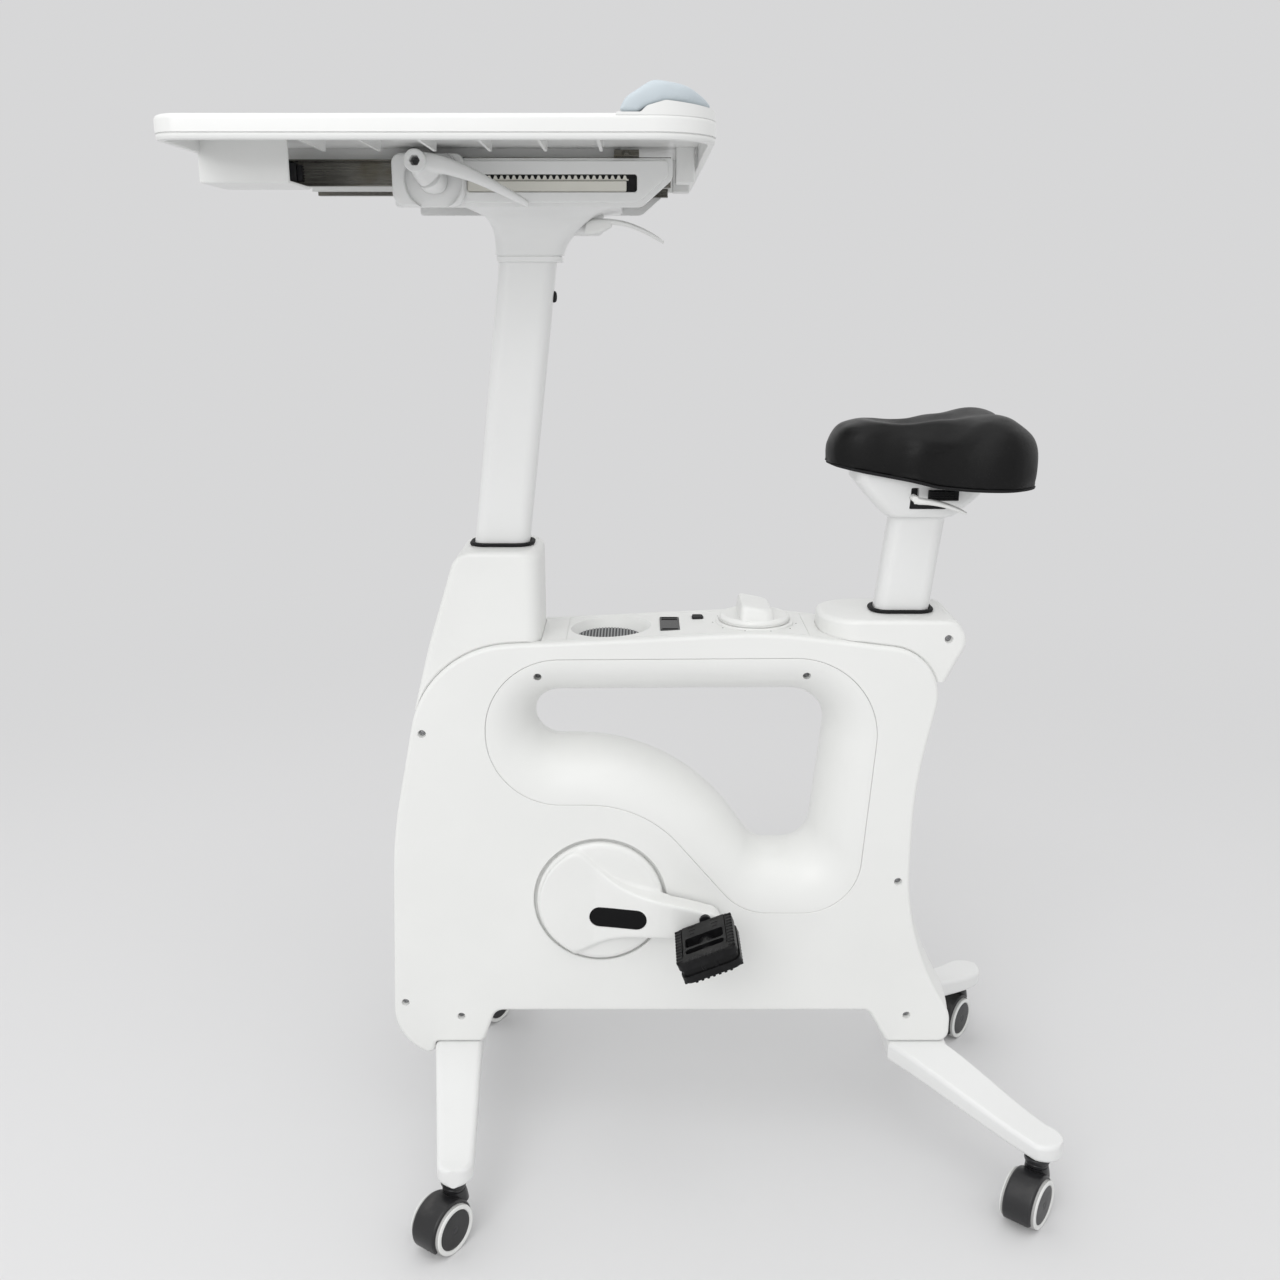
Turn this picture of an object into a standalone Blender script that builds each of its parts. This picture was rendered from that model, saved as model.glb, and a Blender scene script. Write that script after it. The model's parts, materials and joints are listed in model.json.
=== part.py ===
"""Desk exercise bike with a height-adjusted saddle and a sliding, height-adjusted desktop.

Run in Blender 4.5. Sizes are millimetres. X points from the desktop's far edge to the saddle,
Z is up, and the origin is on the floor under the middle of the machine. Each named object is
one physical piece.
"""
import math

import bmesh
import bpy
from mathutils import Matrix, Vector

# Units and fits
MM = 0.001
GAP = 0.3
WALL = 2.6
MIDDLE_X = 37.45

# Housing
HOUSING_HALF = 64.6
RIM_HALF = 52.0
HOOD_HALF = 58.0
EDGE_ROUND = 5.0
HOUSING_TOP = 673.0
HOUSING_FLOOR = 183.0
SHOE_FLOOR = 139.0
PANEL_THICK = 4.0
REAR_CROWN = 7.0

# Columns, which all lean towards the saddle
LEAN = math.radians(6.7)
COLUMN_X = 64.0
COLUMN_Y = 40.0
COLUMN_ROUND = 14.0
COLUMN_WALL = 2.5
SLEEVE_WALL = 2.7
COLLAR_FLANGE = 6.0
COLLAR_THICK = 4.0

# Base frame
BEAM_START = -285.0
BEAM_END = 350.0
BEAM_HALF = 30.0
BEAM_BOTTOM = 186.3
BEAM_TOP = 226.3
BEAM_WALL = 4.0

# Front hood and desk column
FRONT_HOOD_TOP = 766.0
FRONT_HOOD_BACK = -115.5
DESK_AXIS_X = -162.0
DESK_COLUMN_BOTTOM = 436.0

# Rear hood and seat column
REAR_HOOD_TOP = 686.0
REAR_HOOD_START = 212.0
SEAT_AXIS_X = 311.0
SEAT_COLUMN_BOTTOM = 325.0
SEAT_HEAD_BOTTOM = 801.0
SEAT_SOCKET_TOP = 831.0

# Gas springs inside the columns
GAS_CYLINDER_R = 11.0
GAS_ROD_R = 5.0
DESK_CYLINDER_TOP = 640.0
DESK_ROD_BOTTOM = 462.0
SEAT_CYLINDER_TOP = 520.0
SEAT_ROD_BOTTOM = 345.0
CYLINDER_FLOOR = 10.0

# Crank and pedals
CRANK_X = -48.5
CRANK_Z = 335.5
CRANK_LENGTH = 129.0
CRANK_DROP = 14.0
CRANK_TILT = math.radians(3.0)
CRANK_ROOT = -36.0
CRANK_ROOT_HALF = 50.0
CRANK_TIP_R = 19.0
CRANK_DISC_R = 77.0
RECESS_R = 81.0
CRANK_INNER = 60.0
CRANK_DISC_FACE = 76.0
CRANK_ARM_FACE = 96.0
CRANK_ARM_BACK = 70.0
AXLE_R = 9.5
AXLE_HALF = 69.0
PLUG_START = -12.0
PLUG_LENGTH = 69.0
PLUG_WIDTH = 25.0
PLUG_DEPTH = 3.0
SPINDLE_R = 6.0
SPINDLE_SHOULDER_R = 9.0
PEDAL_START = 101.0
PEDAL_LENGTH = 86.0
PEDAL_WIDTH = 75.0
PEDAL_THICK = 31.0
PEDAL_BLIND = 8.0
PEDAL_TILT = math.radians(-22.0)

# Drive and magnetic brake
PULLEY_R = 68.0
PULLEY_START = 48.0
PULLEY_WIDTH = 9.0
PULLEY_HUB_R = 20.0
FLANGE = 1.0
BELT_THICK = 2.0
BEARING_R = 20.0
BEARING_HALF = 34.0
FLYWHEEL_X = 170.0
FLYWHEEL_Z = 272.0
FLYWHEEL_R = 76.0
FLYWHEEL_START = 32.0
FLYWHEEL_WIDTH = 14.0
FLYWHEEL_RIM = 15.0
FLYWHEEL_DISH = 4.0
FLYWHEEL_HUB = 10.0
FLYWHEEL_HUB_R = 15.0
SMALL_PULLEY_R = 17.0
FLYWHEEL_PIN_R = 6.0
BRACKET_PLATE = 10.0
MAGNET_GAP = 6.0
MAGNET_THICK = 6.0
MAGNET_ARC_START = math.radians(150.0)
MAGNET_ARC_SWEEP = math.radians(57.0)
MAGNET_PIVOT = (84.0, 212.0)
MAGNET_PIN_R = 3.0
MAGNET_PIN_DEPTH = 12.0

# Controls on the top panel
CUP_X = -36.5
CUP_R = 46.0
CUP_FLOOR_R = 43.5
CUP_DEPTH = 13.0
DISPLAY_X = 35.5
DISPLAY_LENGTH = 23.0
DISPLAY_WIDTH = 62.0
DISPLAY_THICK = 3.4
BUTTON_X = 70.0
BUTTON_Y = 25.0
BUTTON_LENGTH = 13.0
BUTTON_WIDTH = 18.0
BUTTON_ROUND = 2.7
KNOB_X = 137.0
KNOB_R = 42.0
KNOB_SHAFT_R = 5.0
KNOB_SHAFT = 20.0
BEZEL_R = 46.5
BEZEL_RISE = 1.5
KNOB_SEAT = 0.8
TOP_LINE_BAND = 60.0

# Desktop; heights of it and of all that carries it count from its top
DESK_TOP = 1200.0
DESK_FRONT = -421.0
DESK_BACK = 68.0
DESK_HALF = 323.0
DESK_FRONT_ROUND = 25.0
DESK_BACK_ROUND = 57.0
DESK_PLATE = 3.2
DESK_CEILING = DESK_TOP - DESK_PLATE
SKIRT_BOTTOM = DESK_TOP - 21.5
SKIRT_THICK = 8.0
RIB_BOTTOM = DESK_TOP - 13.0
RIB_END_GAP = 6.0
RIB_THICK = 3.0
RIB_PITCH = 55.0
RIB_COUNT = 6
RIB_START = -315.0
RIB_INNER_Y = 135.0
RAIL_INNER_Y = 60.3
RAIL_OUTER_Y = 64.3
RAIL_FRONT = -370.0
RAIL_BACK = -20.0
RAIL_OVERLAP = 5.0
RAIL_BOTTOM = DESK_TOP - 37.0
FRONT_TRAY_X = (-416.0, -331.0)
FRONT_TRAY_Y = (-209.0, -126.0)
FRONT_TRAY_BOTTOM = DESK_TOP - 48.5
FRONT_TRAY_WALL = 3.0
BACK_BOX_X = (37.0, 57.0)
BACK_BOX_INNER_Y = 56.0
BACK_BOX_BOTTOM = DESK_TOP - 38.5

# Desk head, brackets and slides
HEAD_NECK_BOTTOM = DESK_TOP - 116.0
HEAD_SOCKET_TOP = DESK_TOP - 75.0
HEAD_SLAB_BOTTOM = DESK_TOP - 62.0
HEAD_SLAB_TOP = DESK_TOP - 51.0
HEAD_SLAB_START = -185.0
HEAD_SLAB_END = -20.0
NECK_X = DESK_AXIS_X + (HEAD_NECK_BOTTOM - FRONT_HOOD_TOP) * math.tan(LEAN)
SLAB_HALF = 77.1
BRACKET_INNER = 77.4
BRACKET_THICK = 6.6
END_BLOCK_OUTER = 92.0
END_BLOCK_RECESS_R = 30.0
END_BLOCK_RECESS_Y = 85.0
SLIDE_TOP = DESK_TOP - 13.0
SLIDE_BOTTOM = SLIDE_TOP - 30.0
SLIDE_SHEET = 1.5
SLIDE_BACK_Y = 77.1
SLIDE_LIP_Y = 66.4
SLIDE_FRONT = -255.0
SLIDE_END = 32.0
SLIDE_BAR_FRONT = -369.5
SLIDE_BAR_BACK = -24.0

# Levers
CLAMP_PIVOT = (-213.0, DESK_TOP - 36.0)
CLAMP_HUB = (-226.5, DESK_TOP - 20.0)
CLAMP_TIP = (-113.0, DESK_TOP - 62.0)
CLAMP_PIN_R = 6.0
CLAMP_HUB_R = 11.0
CLAMP_SOCKET_R = 5.0
CLAMP_BOSS_R = 14.0
HEIGHT_PIVOT = (-52.0, DESK_TOP - 79.0)
HEIGHT_TIP = (27.0, DESK_TOP - 95.0)
HEIGHT_PIN_R = 3.5
LUG_HALF = 9.0
SEAT_LEVER_PIVOT = (312.0, 826.0)
SEAT_LEVER_TIP = (371.0, 810.0)
SEAT_LEVER_PIN_R = 4.0
SEAT_LEVER_PIN_START = 34.0
SEAT_LEVER_HUB_START = 41.5
SEAT_LEVER_HUB_END = 56.0

# Saddle
SADDLE_MIDDLE = 345.0
SADDLE_BASE = 841.0
SADDLE_NOSE_SLOPE = 0.17
SADDLE_FLAT_X = 330.0
SEAT_CUT_START = 200.0
SEAT_CUT_END = 460.0
SEAT_CUT_TOP = 900.0
SEAT_CUT_HALF = 60.0

# Legs and casters
LEG_ROOT_TOP = 138.7
LEG_ROOT_BOTTOM = 113.0
LEG_TIP_TOP = 98.0
LEG_TIP_BOTTOM = 75.5
LEG_STRAIGHT = 66.0
FRONT_LEG_ROOT = (-257.7, -199.0)
FRONT_LEG_TIP = ((-232.0, 237.0), (-190.0, 237.0))
REAR_LEG_ROOT = (313.0, 387.0)
REAR_LEG_TIP = ((458.6, 213.0), (485.0, 172.0))
LEG_EDGE = 7.0
BOSS_HALF = 28.0
BOSS_TOP = 186.0
FRONT_BOSS = (-250.0, -206.0)
REAR_BOSS = (316.0, 350.0)
FRONT_STEM = (-213.0, 239.0)
REAR_STEM = (467.0, 198.0)
STEM_R = 5.5
STEM_DEPTH = 16.0
WHEEL_R = 29.0
WHEEL_OUTER = 22.0
WEB_HALF = 1.8
WHEEL_AXLE_R = 4.0
HOOD_R = 32.4
HOOD_SIDE = 20.0
HOOD_CLEAR_R = 29.7
CASTER_TRAIL = 22.0
CASTER_POST_R = 9.0
CASTER_COLLAR_R = 15.0
CASTER_TOP = 75.2
FRONT_CASTER_YAW = math.radians(-124.8)
REAR_CASTER_YAW = math.radians(-129.5)

# Outlines seen from the near side: (x, z, corner radius), anticlockwise
SHELL_CORNERS = [
    (-258.0, 117.0, 9.0),
    (-258.0, SHOE_FLOOR, 5.0),
    (-197.0, SHOE_FLOOR, 9.0),
    (-181.0, HOUSING_FLOOR, 14.0),
    (286.0, HOUSING_FLOOR, 12.0),
    (311.0, SHOE_FLOOR, 9.0),
    (389.0, SHOE_FLOOR, 14.0),
    (389.0, 178.0, 40.0),
    (328.0, 283.0, 355.0),
    (328.0, 479.0, 590.0),
    (361.0, 647.0, 62.0),
    (150.0, HOUSING_TOP, 500.0),
    (-250.0, 654.0, 125.0),
    (-297.6, 418.0, 600.0),
    (-309.5, 145.0, 66.0),
]
OPENING_CORNERS = [
    (-127.0, 527.0, 31.0),
    (46.0, 527.0, 235.0),
    (141.0, 387.0, 34.0),
    (208.0, 387.0, 36.0),
    (229.0, 592.0, 46.0),
    (-127.0, 590.0, 31.0),
]
RING_CORNERS = [
    (-182.0, 460.0, 88.0),
    (4.0, 460.0, 139.0),
    (124.0, 318.0, 70.0),
    (263.0, 318.0, 70.0),
    (287.0, 643.0, 98.0),
    (-182.0, 640.0, 88.0),
]
RING_BACK_REACH = 0.96
FRONT_HOOD_CORNERS = [
    (FRONT_HOOD_BACK, 640.0, 6.0),
    (FRONT_HOOD_BACK, FRONT_HOOD_TOP, 12.0),
    (-211.0, FRONT_HOOD_TOP, 26.0),
    (-246.0, 655.0, 300.0),
    (-270.0, 560.0, 6.0),
    (-235.0, 575.0, 6.0),
]
FRONT_HOOD_CAVITY = [
    (-240.0, 560.0, 2.0),
    (FRONT_HOOD_BACK - WALL, 590.0, 2.0),
    (FRONT_HOOD_BACK - WALL, FRONT_HOOD_TOP - WALL, 9.0),
    (-209.5, FRONT_HOOD_TOP - WALL, 23.0),
    (-243.4, 654.5, 297.0),
    (-262.0, 585.0, 2.0),
]
REAR_HOOD_CORNERS = [
    (REAR_HOOD_START, 640.0, 6.0),
    (318.0, 590.0, 6.0),
    (350.0, 590.0, 6.0),
    (381.0, 662.0, 12.0),
    (358.0, REAR_HOOD_TOP, 20.0),
    (REAR_HOOD_START, REAR_HOOD_TOP, 12.0),
]
REAR_HOOD_CAVITY = [
    (330.0, 572.0, 2.0),
    (346.5, 590.0, 2.0),
    (377.6, 662.0, 9.0),
    (356.5, REAR_HOOD_TOP - WALL, 17.0),
    (REAR_HOOD_START + WALL, REAR_HOOD_TOP - WALL, 9.0),
    (REAR_HOOD_START + WALL, 630.0, 2.0),
]
BRACKET_CORNERS = [
    (-255.0, DESK_TOP - 62.5, 4.0),
    (2.0, DESK_TOP - 62.5, 14.0),
    (34.0, DESK_TOP - 35.0, 10.0),
    (34.0, DESK_TOP - 14.0, 4.0),
    (-255.0, DESK_TOP - 14.0, 4.0),
]
BRACKET_SLOT = [
    (-180.0, DESK_TOP - 47.6, 3.0),
    (-3.0, DESK_TOP - 47.6, 3.0),
    (-3.0, DESK_TOP - 30.0, 3.0),
    (-180.0, DESK_TOP - 30.0, 3.0),
]
END_BLOCK_CORNERS = [
    (-256.0, DESK_TOP - 62.0, 10.0),
    (-181.0, DESK_TOP - 62.0, 4.0),
    (-181.0, DESK_TOP - 10.0, 10.0),
    (-256.0, DESK_TOP - 10.0, 10.0),
]
DESK_RIM_CORNERS = [
    (-21.0, DESK_TOP - 2.0, 0.5),
    (80.0, DESK_TOP - 2.0, 0.5),
    (80.0, DESK_TOP + 5.3, 0.5),
    (22.0, DESK_TOP + 10.0, 9.0),
    (6.0, DESK_TOP + 5.5, 9.0),
    (0.5, DESK_TOP + 0.5, 3.0),
    (-20.0, DESK_TOP + 0.5, 0.2),
]
WRIST_PAD_CORNERS = [
    (-19.0, DESK_TOP + 0.8, 0.6),
    (-1.8, DESK_TOP + 0.8, 3.0),
    (5.8, DESK_TOP + 6.0, 9.0),
    (22.0, DESK_TOP + 10.4, 9.0),
    (63.0, DESK_TOP + 7.0, 0.6),
    (64.0, DESK_TOP + 10.5, 1.5),
    (40.0, DESK_TOP + 23.5, 30.0),
    (13.0, DESK_TOP + 27.0, 9.0),
    (-12.5, DESK_TOP + 12.5, 9.0),
]

# Upright forms: (z, x0, x1, half width, corner radius)
DESK_HEAD_SECTIONS = [
    (HEAD_NECK_BOTTOM, NECK_X - 35.4, NECK_X + 40.6, 25.0, 14.0),
    (HEAD_NECK_BOTTOM + 18.0, NECK_X - 34.4, NECK_X + 44.6, 26.0, 14.0),
    (HEAD_NECK_BOTTOM + 30.0, NECK_X - 35.4, NECK_X + 54.6, 30.0, 13.0),
    (HEAD_NECK_BOTTOM + 38.0, NECK_X - 37.4, NECK_X + 61.6, 36.0, 12.0),
    (HEAD_NECK_BOTTOM + 46.0, NECK_X - 41.4, NECK_X + 70.6, 46.0, 10.0),
    (HEAD_SLAB_BOTTOM - 1.0, NECK_X - 51.4, NECK_X + 80.6, 62.0, 8.0),
    (HEAD_SLAB_BOTTOM, HEAD_SLAB_START, HEAD_SLAB_END, SLAB_HALF, 5.0),
    (HEAD_SLAB_TOP, HEAD_SLAB_START, HEAD_SLAB_END, SLAB_HALF, 5.0),
]
SEAT_BRACKET_SECTIONS = [
    (SEAT_HEAD_BOTTOM, 285.0, 364.0, 27.0, 14.0),
    (SEAT_HEAD_BOTTOM + 7.0, 280.0, 370.0, 30.0, 14.0),
    (SEAT_HEAD_BOTTOM + 23.0, 262.0, 388.0, 36.0, 14.0),
    (SEAT_HEAD_BOTTOM + 33.0, 252.0, 400.0, 39.5, 14.0),
    (SEAT_HEAD_BOTTOM + 65.0, 248.0, 404.0, 40.5, 14.0),
]

# Saddle plan on its near side from nose to tail, and rings: (share of plan, share of height)
SADDLE_PLAN = [
    (206.0, 0.0), (214.0, 28.0), (240.0, 47.0), (275.0, 54.0), (305.0, 62.0), (335.0, 88.0),
    (370.0, 110.0), (410.0, 113.0), (440.0, 90.0), (450.0, 60.0), (444.0, 28.0), (436.0, 0.0),
]
SADDLE_RINGS = [
    (0.88, 0.0), (0.965, 0.1), (1.0, 0.32), (0.99, 0.58), (0.94, 0.8), (0.85, 0.93),
    (0.68, 0.985), (0.45, 1.0), (0.2, 1.0),
]
SADDLE_TOPS = [(206.0, 899.0), (235.0, 910.0), (300.0, 904.0), (360.0, 911.0), (410.0, 918.0), (450.0, 911.0)]
SADDLE_GROOVE = 5.0
SADDLE_GROOVE_HALF = 26.0
SADDLE_DROOP = 9.0
SADDLE_HALF = 113.0
SADDLE_HOLLOW = 21.0
SADDLE_HOLLOW_X = 312.0
SADDLE_HOLLOW_LENGTH = 44.0
SADDLE_HOLLOW_START = 36.0
SADDLE_HOLLOW_END = 78.0

# Lower ends of the front cover's strip and upper end of the rear cover's
FRONT_STRIP_START = (-262.0, 600.0)
FRONT_STRIP_END = (-181.0, HOUSING_FLOOR)
REAR_STRIP_START = (286.0, HOUSING_FLOOR)
REAR_STRIP_END = (352.0, 600.0)

ARC_STEP = math.radians(18.0)
TURNED_SIDES = 24
FINE_SIDES = 36
RING_CORNER_STEPS = 6
RING_BENDS = 5

FINISHES = {
    "white_plastic": ((0.86, 0.86, 0.85), 0.35, 0.0),
    "white_paint": ((0.88, 0.89, 0.89), 0.3, 0.0),
    "black_plastic": ((0.015, 0.015, 0.016), 0.4, 0.0),
    "black_rubber": ((0.02, 0.02, 0.021), 0.7, 0.0),
    "black_leather": ((0.018, 0.018, 0.02), 0.5, 0.0),
    "grey_pad": ((0.62, 0.68, 0.72), 0.6, 0.0),
    "steel": ((0.55, 0.55, 0.56), 0.3, 1.0),
    "iron": ((0.2, 0.2, 0.21), 0.5, 1.0),
    "wheel_grey": ((0.75, 0.75, 0.75), 0.5, 0.0),
}


def start_empty_scene():
    """Remove what the file opened with."""
    for old in list(bpy.data.objects):
        bpy.data.objects.remove(old, do_unlink=True)


def finish(name, colour, roughness, metallic):
    """A plain surface finish with the given colour."""
    material = bpy.data.materials.new(name)
    material.use_nodes = True
    shader = material.node_tree.nodes["Principled BSDF"]
    shader.inputs["Base Color"].default_value = (*colour, 1.0)
    shader.inputs["Roughness"].default_value = roughness
    shader.inputs["Metallic"].default_value = metallic
    return material


def add_object(name, bm, finish_name, pivot=(0.0, 0.0, 0.0), turn=0.0):
    """Put a shape into the scene with its origin at the pivot, turned about y there."""
    bmesh.ops.recalc_face_normals(bm, faces=bm.faces)
    bmesh.ops.translate(bm, vec=-Vector(pivot), verts=bm.verts)
    bmesh.ops.scale(bm, vec=(MM, MM, MM), verts=bm.verts)
    mesh = bpy.data.meshes.new(name)
    bm.to_mesh(mesh)
    bm.free()
    mesh.shade_smooth()
    mesh.set_sharp_from_angle(angle=math.radians(35.0))
    mesh.materials.append(finish(name, *FINISHES[finish_name]))
    piece = bpy.data.objects.new(name, mesh)
    piece.location = (Vector(pivot) - Vector((MIDDLE_X, 0.0, 0.0))) * MM
    piece.rotation_euler = (0.0, turn, 0.0)
    bpy.context.scene.collection.objects.link(piece)
    return piece


def helper(bm, pivot=(0.0, 0.0, 0.0), turn=0.0):
    """A shape that only cuts or joins another piece."""
    guide = add_object("guide", bm, "steel", pivot, turn)
    guide.hide_render = True
    guide.display_type = "WIRE"
    return guide


def combine(piece, guide, operation):
    """Cut, join or intersect a piece with a guide."""
    boolean = piece.modifiers.new(operation.lower(), "BOOLEAN")
    boolean.operation = operation
    boolean.solver = "EXACT"
    boolean.object = guide


def cut(piece, bm, pivot=(0.0, 0.0, 0.0), turn=0.0):
    """Take a shape away from a piece."""
    combine(piece, helper(bm, pivot, turn), "DIFFERENCE")


def join(piece, bm, pivot=(0.0, 0.0, 0.0), turn=0.0):
    """Add a shape to a piece."""
    combine(piece, helper(bm, pivot, turn), "UNION")


def rounded(corners, per_corner=None):
    """Outline of a polygon whose corners (a, b, radius) are rounded by arcs."""
    points = []
    count = len(corners)
    for index, (a, b, radius) in enumerate(corners):
        here = Vector((a, b))
        before = (Vector(corners[index - 1][:2]) - here).normalized()
        after = (Vector(corners[(index + 1) % count][:2]) - here).normalized()
        opening = before.angle(after)
        centre = here + (before + after).normalized() * (radius / math.sin(opening / 2.0))
        first = here + before * (radius / math.tan(opening / 2.0)) - centre
        sweep = math.pi - opening
        steps = per_corner or max(1, math.ceil(sweep / ARC_STEP))
        way = 1.0 if before.x * after.y - before.y * after.x < 0.0 else -1.0
        for step in range(steps + 1):
            angle = way * sweep * step / steps
            swung = Vector((
                first.x * math.cos(angle) - first.y * math.sin(angle),
                first.x * math.sin(angle) + first.y * math.cos(angle),
            ))
            points.append(centre + swung)
    return points


def offset(points, distance):
    """Move a closed anticlockwise outline outwards by a distance."""
    moved = []
    count = len(points)
    for index, here in enumerate(points):
        into = (here - points[index - 1]).normalized()
        out = (points[(index + 1) % count] - here).normalized()
        normal = Vector((into.y + out.y, -into.x - out.x)).normalized()
        widening = max(0.35, normal.dot(Vector((into.y, -into.x))))
        moved.append(here + normal * (distance / widening))
    return moved


def stretch_of(points, start, end):
    """Part of a closed outline, from the point nearest to start on to the one nearest to end."""
    def nearest(target):
        return min(range(len(points)), key=lambda i: (points[i] - Vector(target)).length)
    first = nearest(start)
    count = (nearest(end) - first) % len(points) + 1
    return [points[(first + step) % len(points)] for step in range(count)]


def side_loop(points, y):
    """A ring of (x, z) points placed at one y."""
    return [Vector((point.x, y, point.y)) for point in points]


def level_loop(points, z):
    """A ring of (x, y) points placed at one height."""
    return [Vector((point.x, point.y, z)) for point in points]


def loft(loops, closed=False):
    """Skin through rings of equal count, with flat ends unless it closes on itself."""
    bm = bmesh.new()
    rings = [[bm.verts.new(point) for point in loop] for loop in loops]
    size = len(rings[0])
    pairs = list(zip(rings, rings[1:]))
    if closed:
        pairs.append((rings[-1], rings[0]))
    for lower, upper in pairs:
        for index in range(size):
            following = (index + 1) % size
            bm.faces.new((lower[index], lower[following], upper[following], upper[index]))
    if not closed:
        bm.faces.new(rings[0])
        bm.faces.new(rings[-1])
    return bm


def prism(points, y0, y1):
    """Straight prism of an (x, z) outline across y."""
    return loft([side_loop(points, y0), side_loop(points, y1)])


def block(x0, x1, y0, y1, z0, z1):
    """Box between two corners."""
    corners = [Vector((x0, z0)), Vector((x1, z0)), Vector((x1, z1)), Vector((x0, z1))]
    return prism(corners, y0, y1)


def rect_ring(x0, x1, y0, y1, radius, per_corner=3):
    """Rounded rectangle with the same count of points whatever its size."""
    corners = [(x0, y0, radius), (x1, y0, radius), (x1, y1, radius), (x0, y1, radius)]
    return rounded(corners, per_corner)


def tower(sections, y=0.0):
    """Upright form through rounded rectangles (z, x0, x1, half width, corner radius)."""
    return loft([
        level_loop(rect_ring(x0, x1, y - half, y + half, radius), z)
        for z, x0, x1, half, radius in sections
    ])


def turned(profile, axis="Y", sides=TURNED_SIDES, bored=False):
    """Solid turned about an axis; a bored one's (radius, along) profile runs round its section."""
    rings = []
    for radius, along in profile:
        ring = []
        for side in range(sides):
            angle = math.tau * side / sides
            a = radius * math.cos(angle)
            b = radius * math.sin(angle)
            ring.append(Vector((a, along, b)) if axis == "Y" else Vector((a, b, along)))
        rings.append(ring)
    return loft(rings, closed=bored)


def rod(radius, start, end, axis="Y", sides=TURNED_SIDES):
    """Plain round rod."""
    return turned([(radius, start), (radius, end)], axis, sides)


def placed(bm, x=0.0, y=0.0, z=0.0, yaw=0.0):
    """Turn a shape about the vertical and carry it to its place."""
    bmesh.ops.rotate(bm, cent=(0.0, 0.0, 0.0), matrix=Matrix.Rotation(yaw, 3, "Z"), verts=bm.verts)
    bmesh.ops.translate(bm, vec=(x, y, z), verts=bm.verts)
    return bm


def rim_bends(half, edge, steps=2):
    """Inset and y of each ring of a rounded rim, from the face to the straight side."""
    for step in range(steps + 1):
        angle = math.pi / 2.0 * step / steps
        yield edge * (1.0 - math.sin(angle)), half - edge * (1.0 - math.cos(angle))


def soft_prism(points, half, edge):
    """Prism of an outline across y, with its two rims rounded."""
    bends = list(rim_bends(half, edge))
    loops = [side_loop(offset(points, -inset), -y) for inset, y in bends]
    loops += [side_loop(offset(points, -inset), y) for inset, y in reversed(bends)]
    return loft(loops)


def lean_at(axis, z):
    """Where a leaning axis, given by x and z on it, passes a height."""
    return axis[0] + (z - axis[1]) * math.tan(LEAN)


def leaning_ring(axis, z, grow):
    """The columns' section at one height, grown by a margin."""
    x = lean_at(axis, z)
    half_x = COLUMN_X / 2.0 + grow
    half_y = COLUMN_Y / 2.0 + grow
    return level_loop(rect_ring(x - half_x, x + half_x, -half_y, half_y, COLUMN_ROUND + grow), z)


def leaning_round(axis, z, radius, sides=14):
    """A round section of a leaning axis at one height."""
    x = lean_at(axis, z)
    angles = [math.tau * side / sides for side in range(sides)]
    return [Vector((x + radius * math.cos(angle), radius * math.sin(angle), z)) for angle in angles]


def leaning_tube(name, axis, heights, grows, finish_name):
    """Hollow column, sleeve or collar around a leaning axis."""
    bottom, top = heights
    outer, inner = grows
    loops = [
        leaning_ring(axis, bottom, outer),
        leaning_ring(axis, top, outer),
        leaning_ring(axis, top, inner),
        leaning_ring(axis, bottom, inner),
    ]
    pivot = (lean_at(axis, bottom), 0.0, bottom)
    return add_object(name, loft(loops, closed=True), finish_name, pivot)


def housing_line():
    """Points of the housing's top line, from its front to its rear."""
    line = [point for point in rounded(SHELL_CORNERS) if point.y > HOUSING_TOP - TOP_LINE_BAND]
    return sorted(line, key=lambda point: point.x)


def housing_top_at(x):
    """Height of the housing's top line at one x."""
    line = housing_line()
    for left, right in zip(line, line[1:]):
        if left.x <= x <= right.x:
            return left.y + (right.y - left.y) * (x - left.x) / (right.x - left.x)
    return HOUSING_TOP


def make_base_beam():
    """Box-section beam on the legs, with the hole for the magnet arm's pin."""
    loops = []
    for x, wall in ((BEAM_START, 0.0), (BEAM_END, 0.0), (BEAM_END, BEAM_WALL), (BEAM_START, BEAM_WALL)):
        half = BEAM_HALF - wall
        low = BEAM_BOTTOM + wall
        high = BEAM_TOP - wall
        loops.append([Vector((x, y, z)) for y, z in ((-half, low), (half, low), (half, high), (-half, high))])
    piece = add_object("base_beam", loft(loops, closed=True), "iron")
    hole = rod(MAGNET_PIN_R + GAP, BEAM_HALF - MAGNET_PIN_DEPTH - GAP, BEAM_HALF + 2.0, sides=16)
    cut(piece, placed(hole, MAGNET_PIVOT[0], 0.0, MAGNET_PIVOT[1]))


def make_column_set(name, sleeve, collar, axis, hood_top, bottom, socket_top):
    """One column with the sleeve it slides in and the collar round it."""
    foot = BEAM_TOP + GAP
    leaning_tube(sleeve, axis, (foot, hood_top - WALL - GAP), (GAP + SLEEVE_WALL, GAP), "iron")
    leaning_tube(name, axis, (bottom, socket_top - GAP), (0.0, -COLUMN_WALL), "white_paint")
    seat = hood_top + GAP
    leaning_tube(collar, axis, (seat, seat + COLLAR_THICK), (COLLAR_FLANGE, GAP), "black_rubber")


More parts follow.
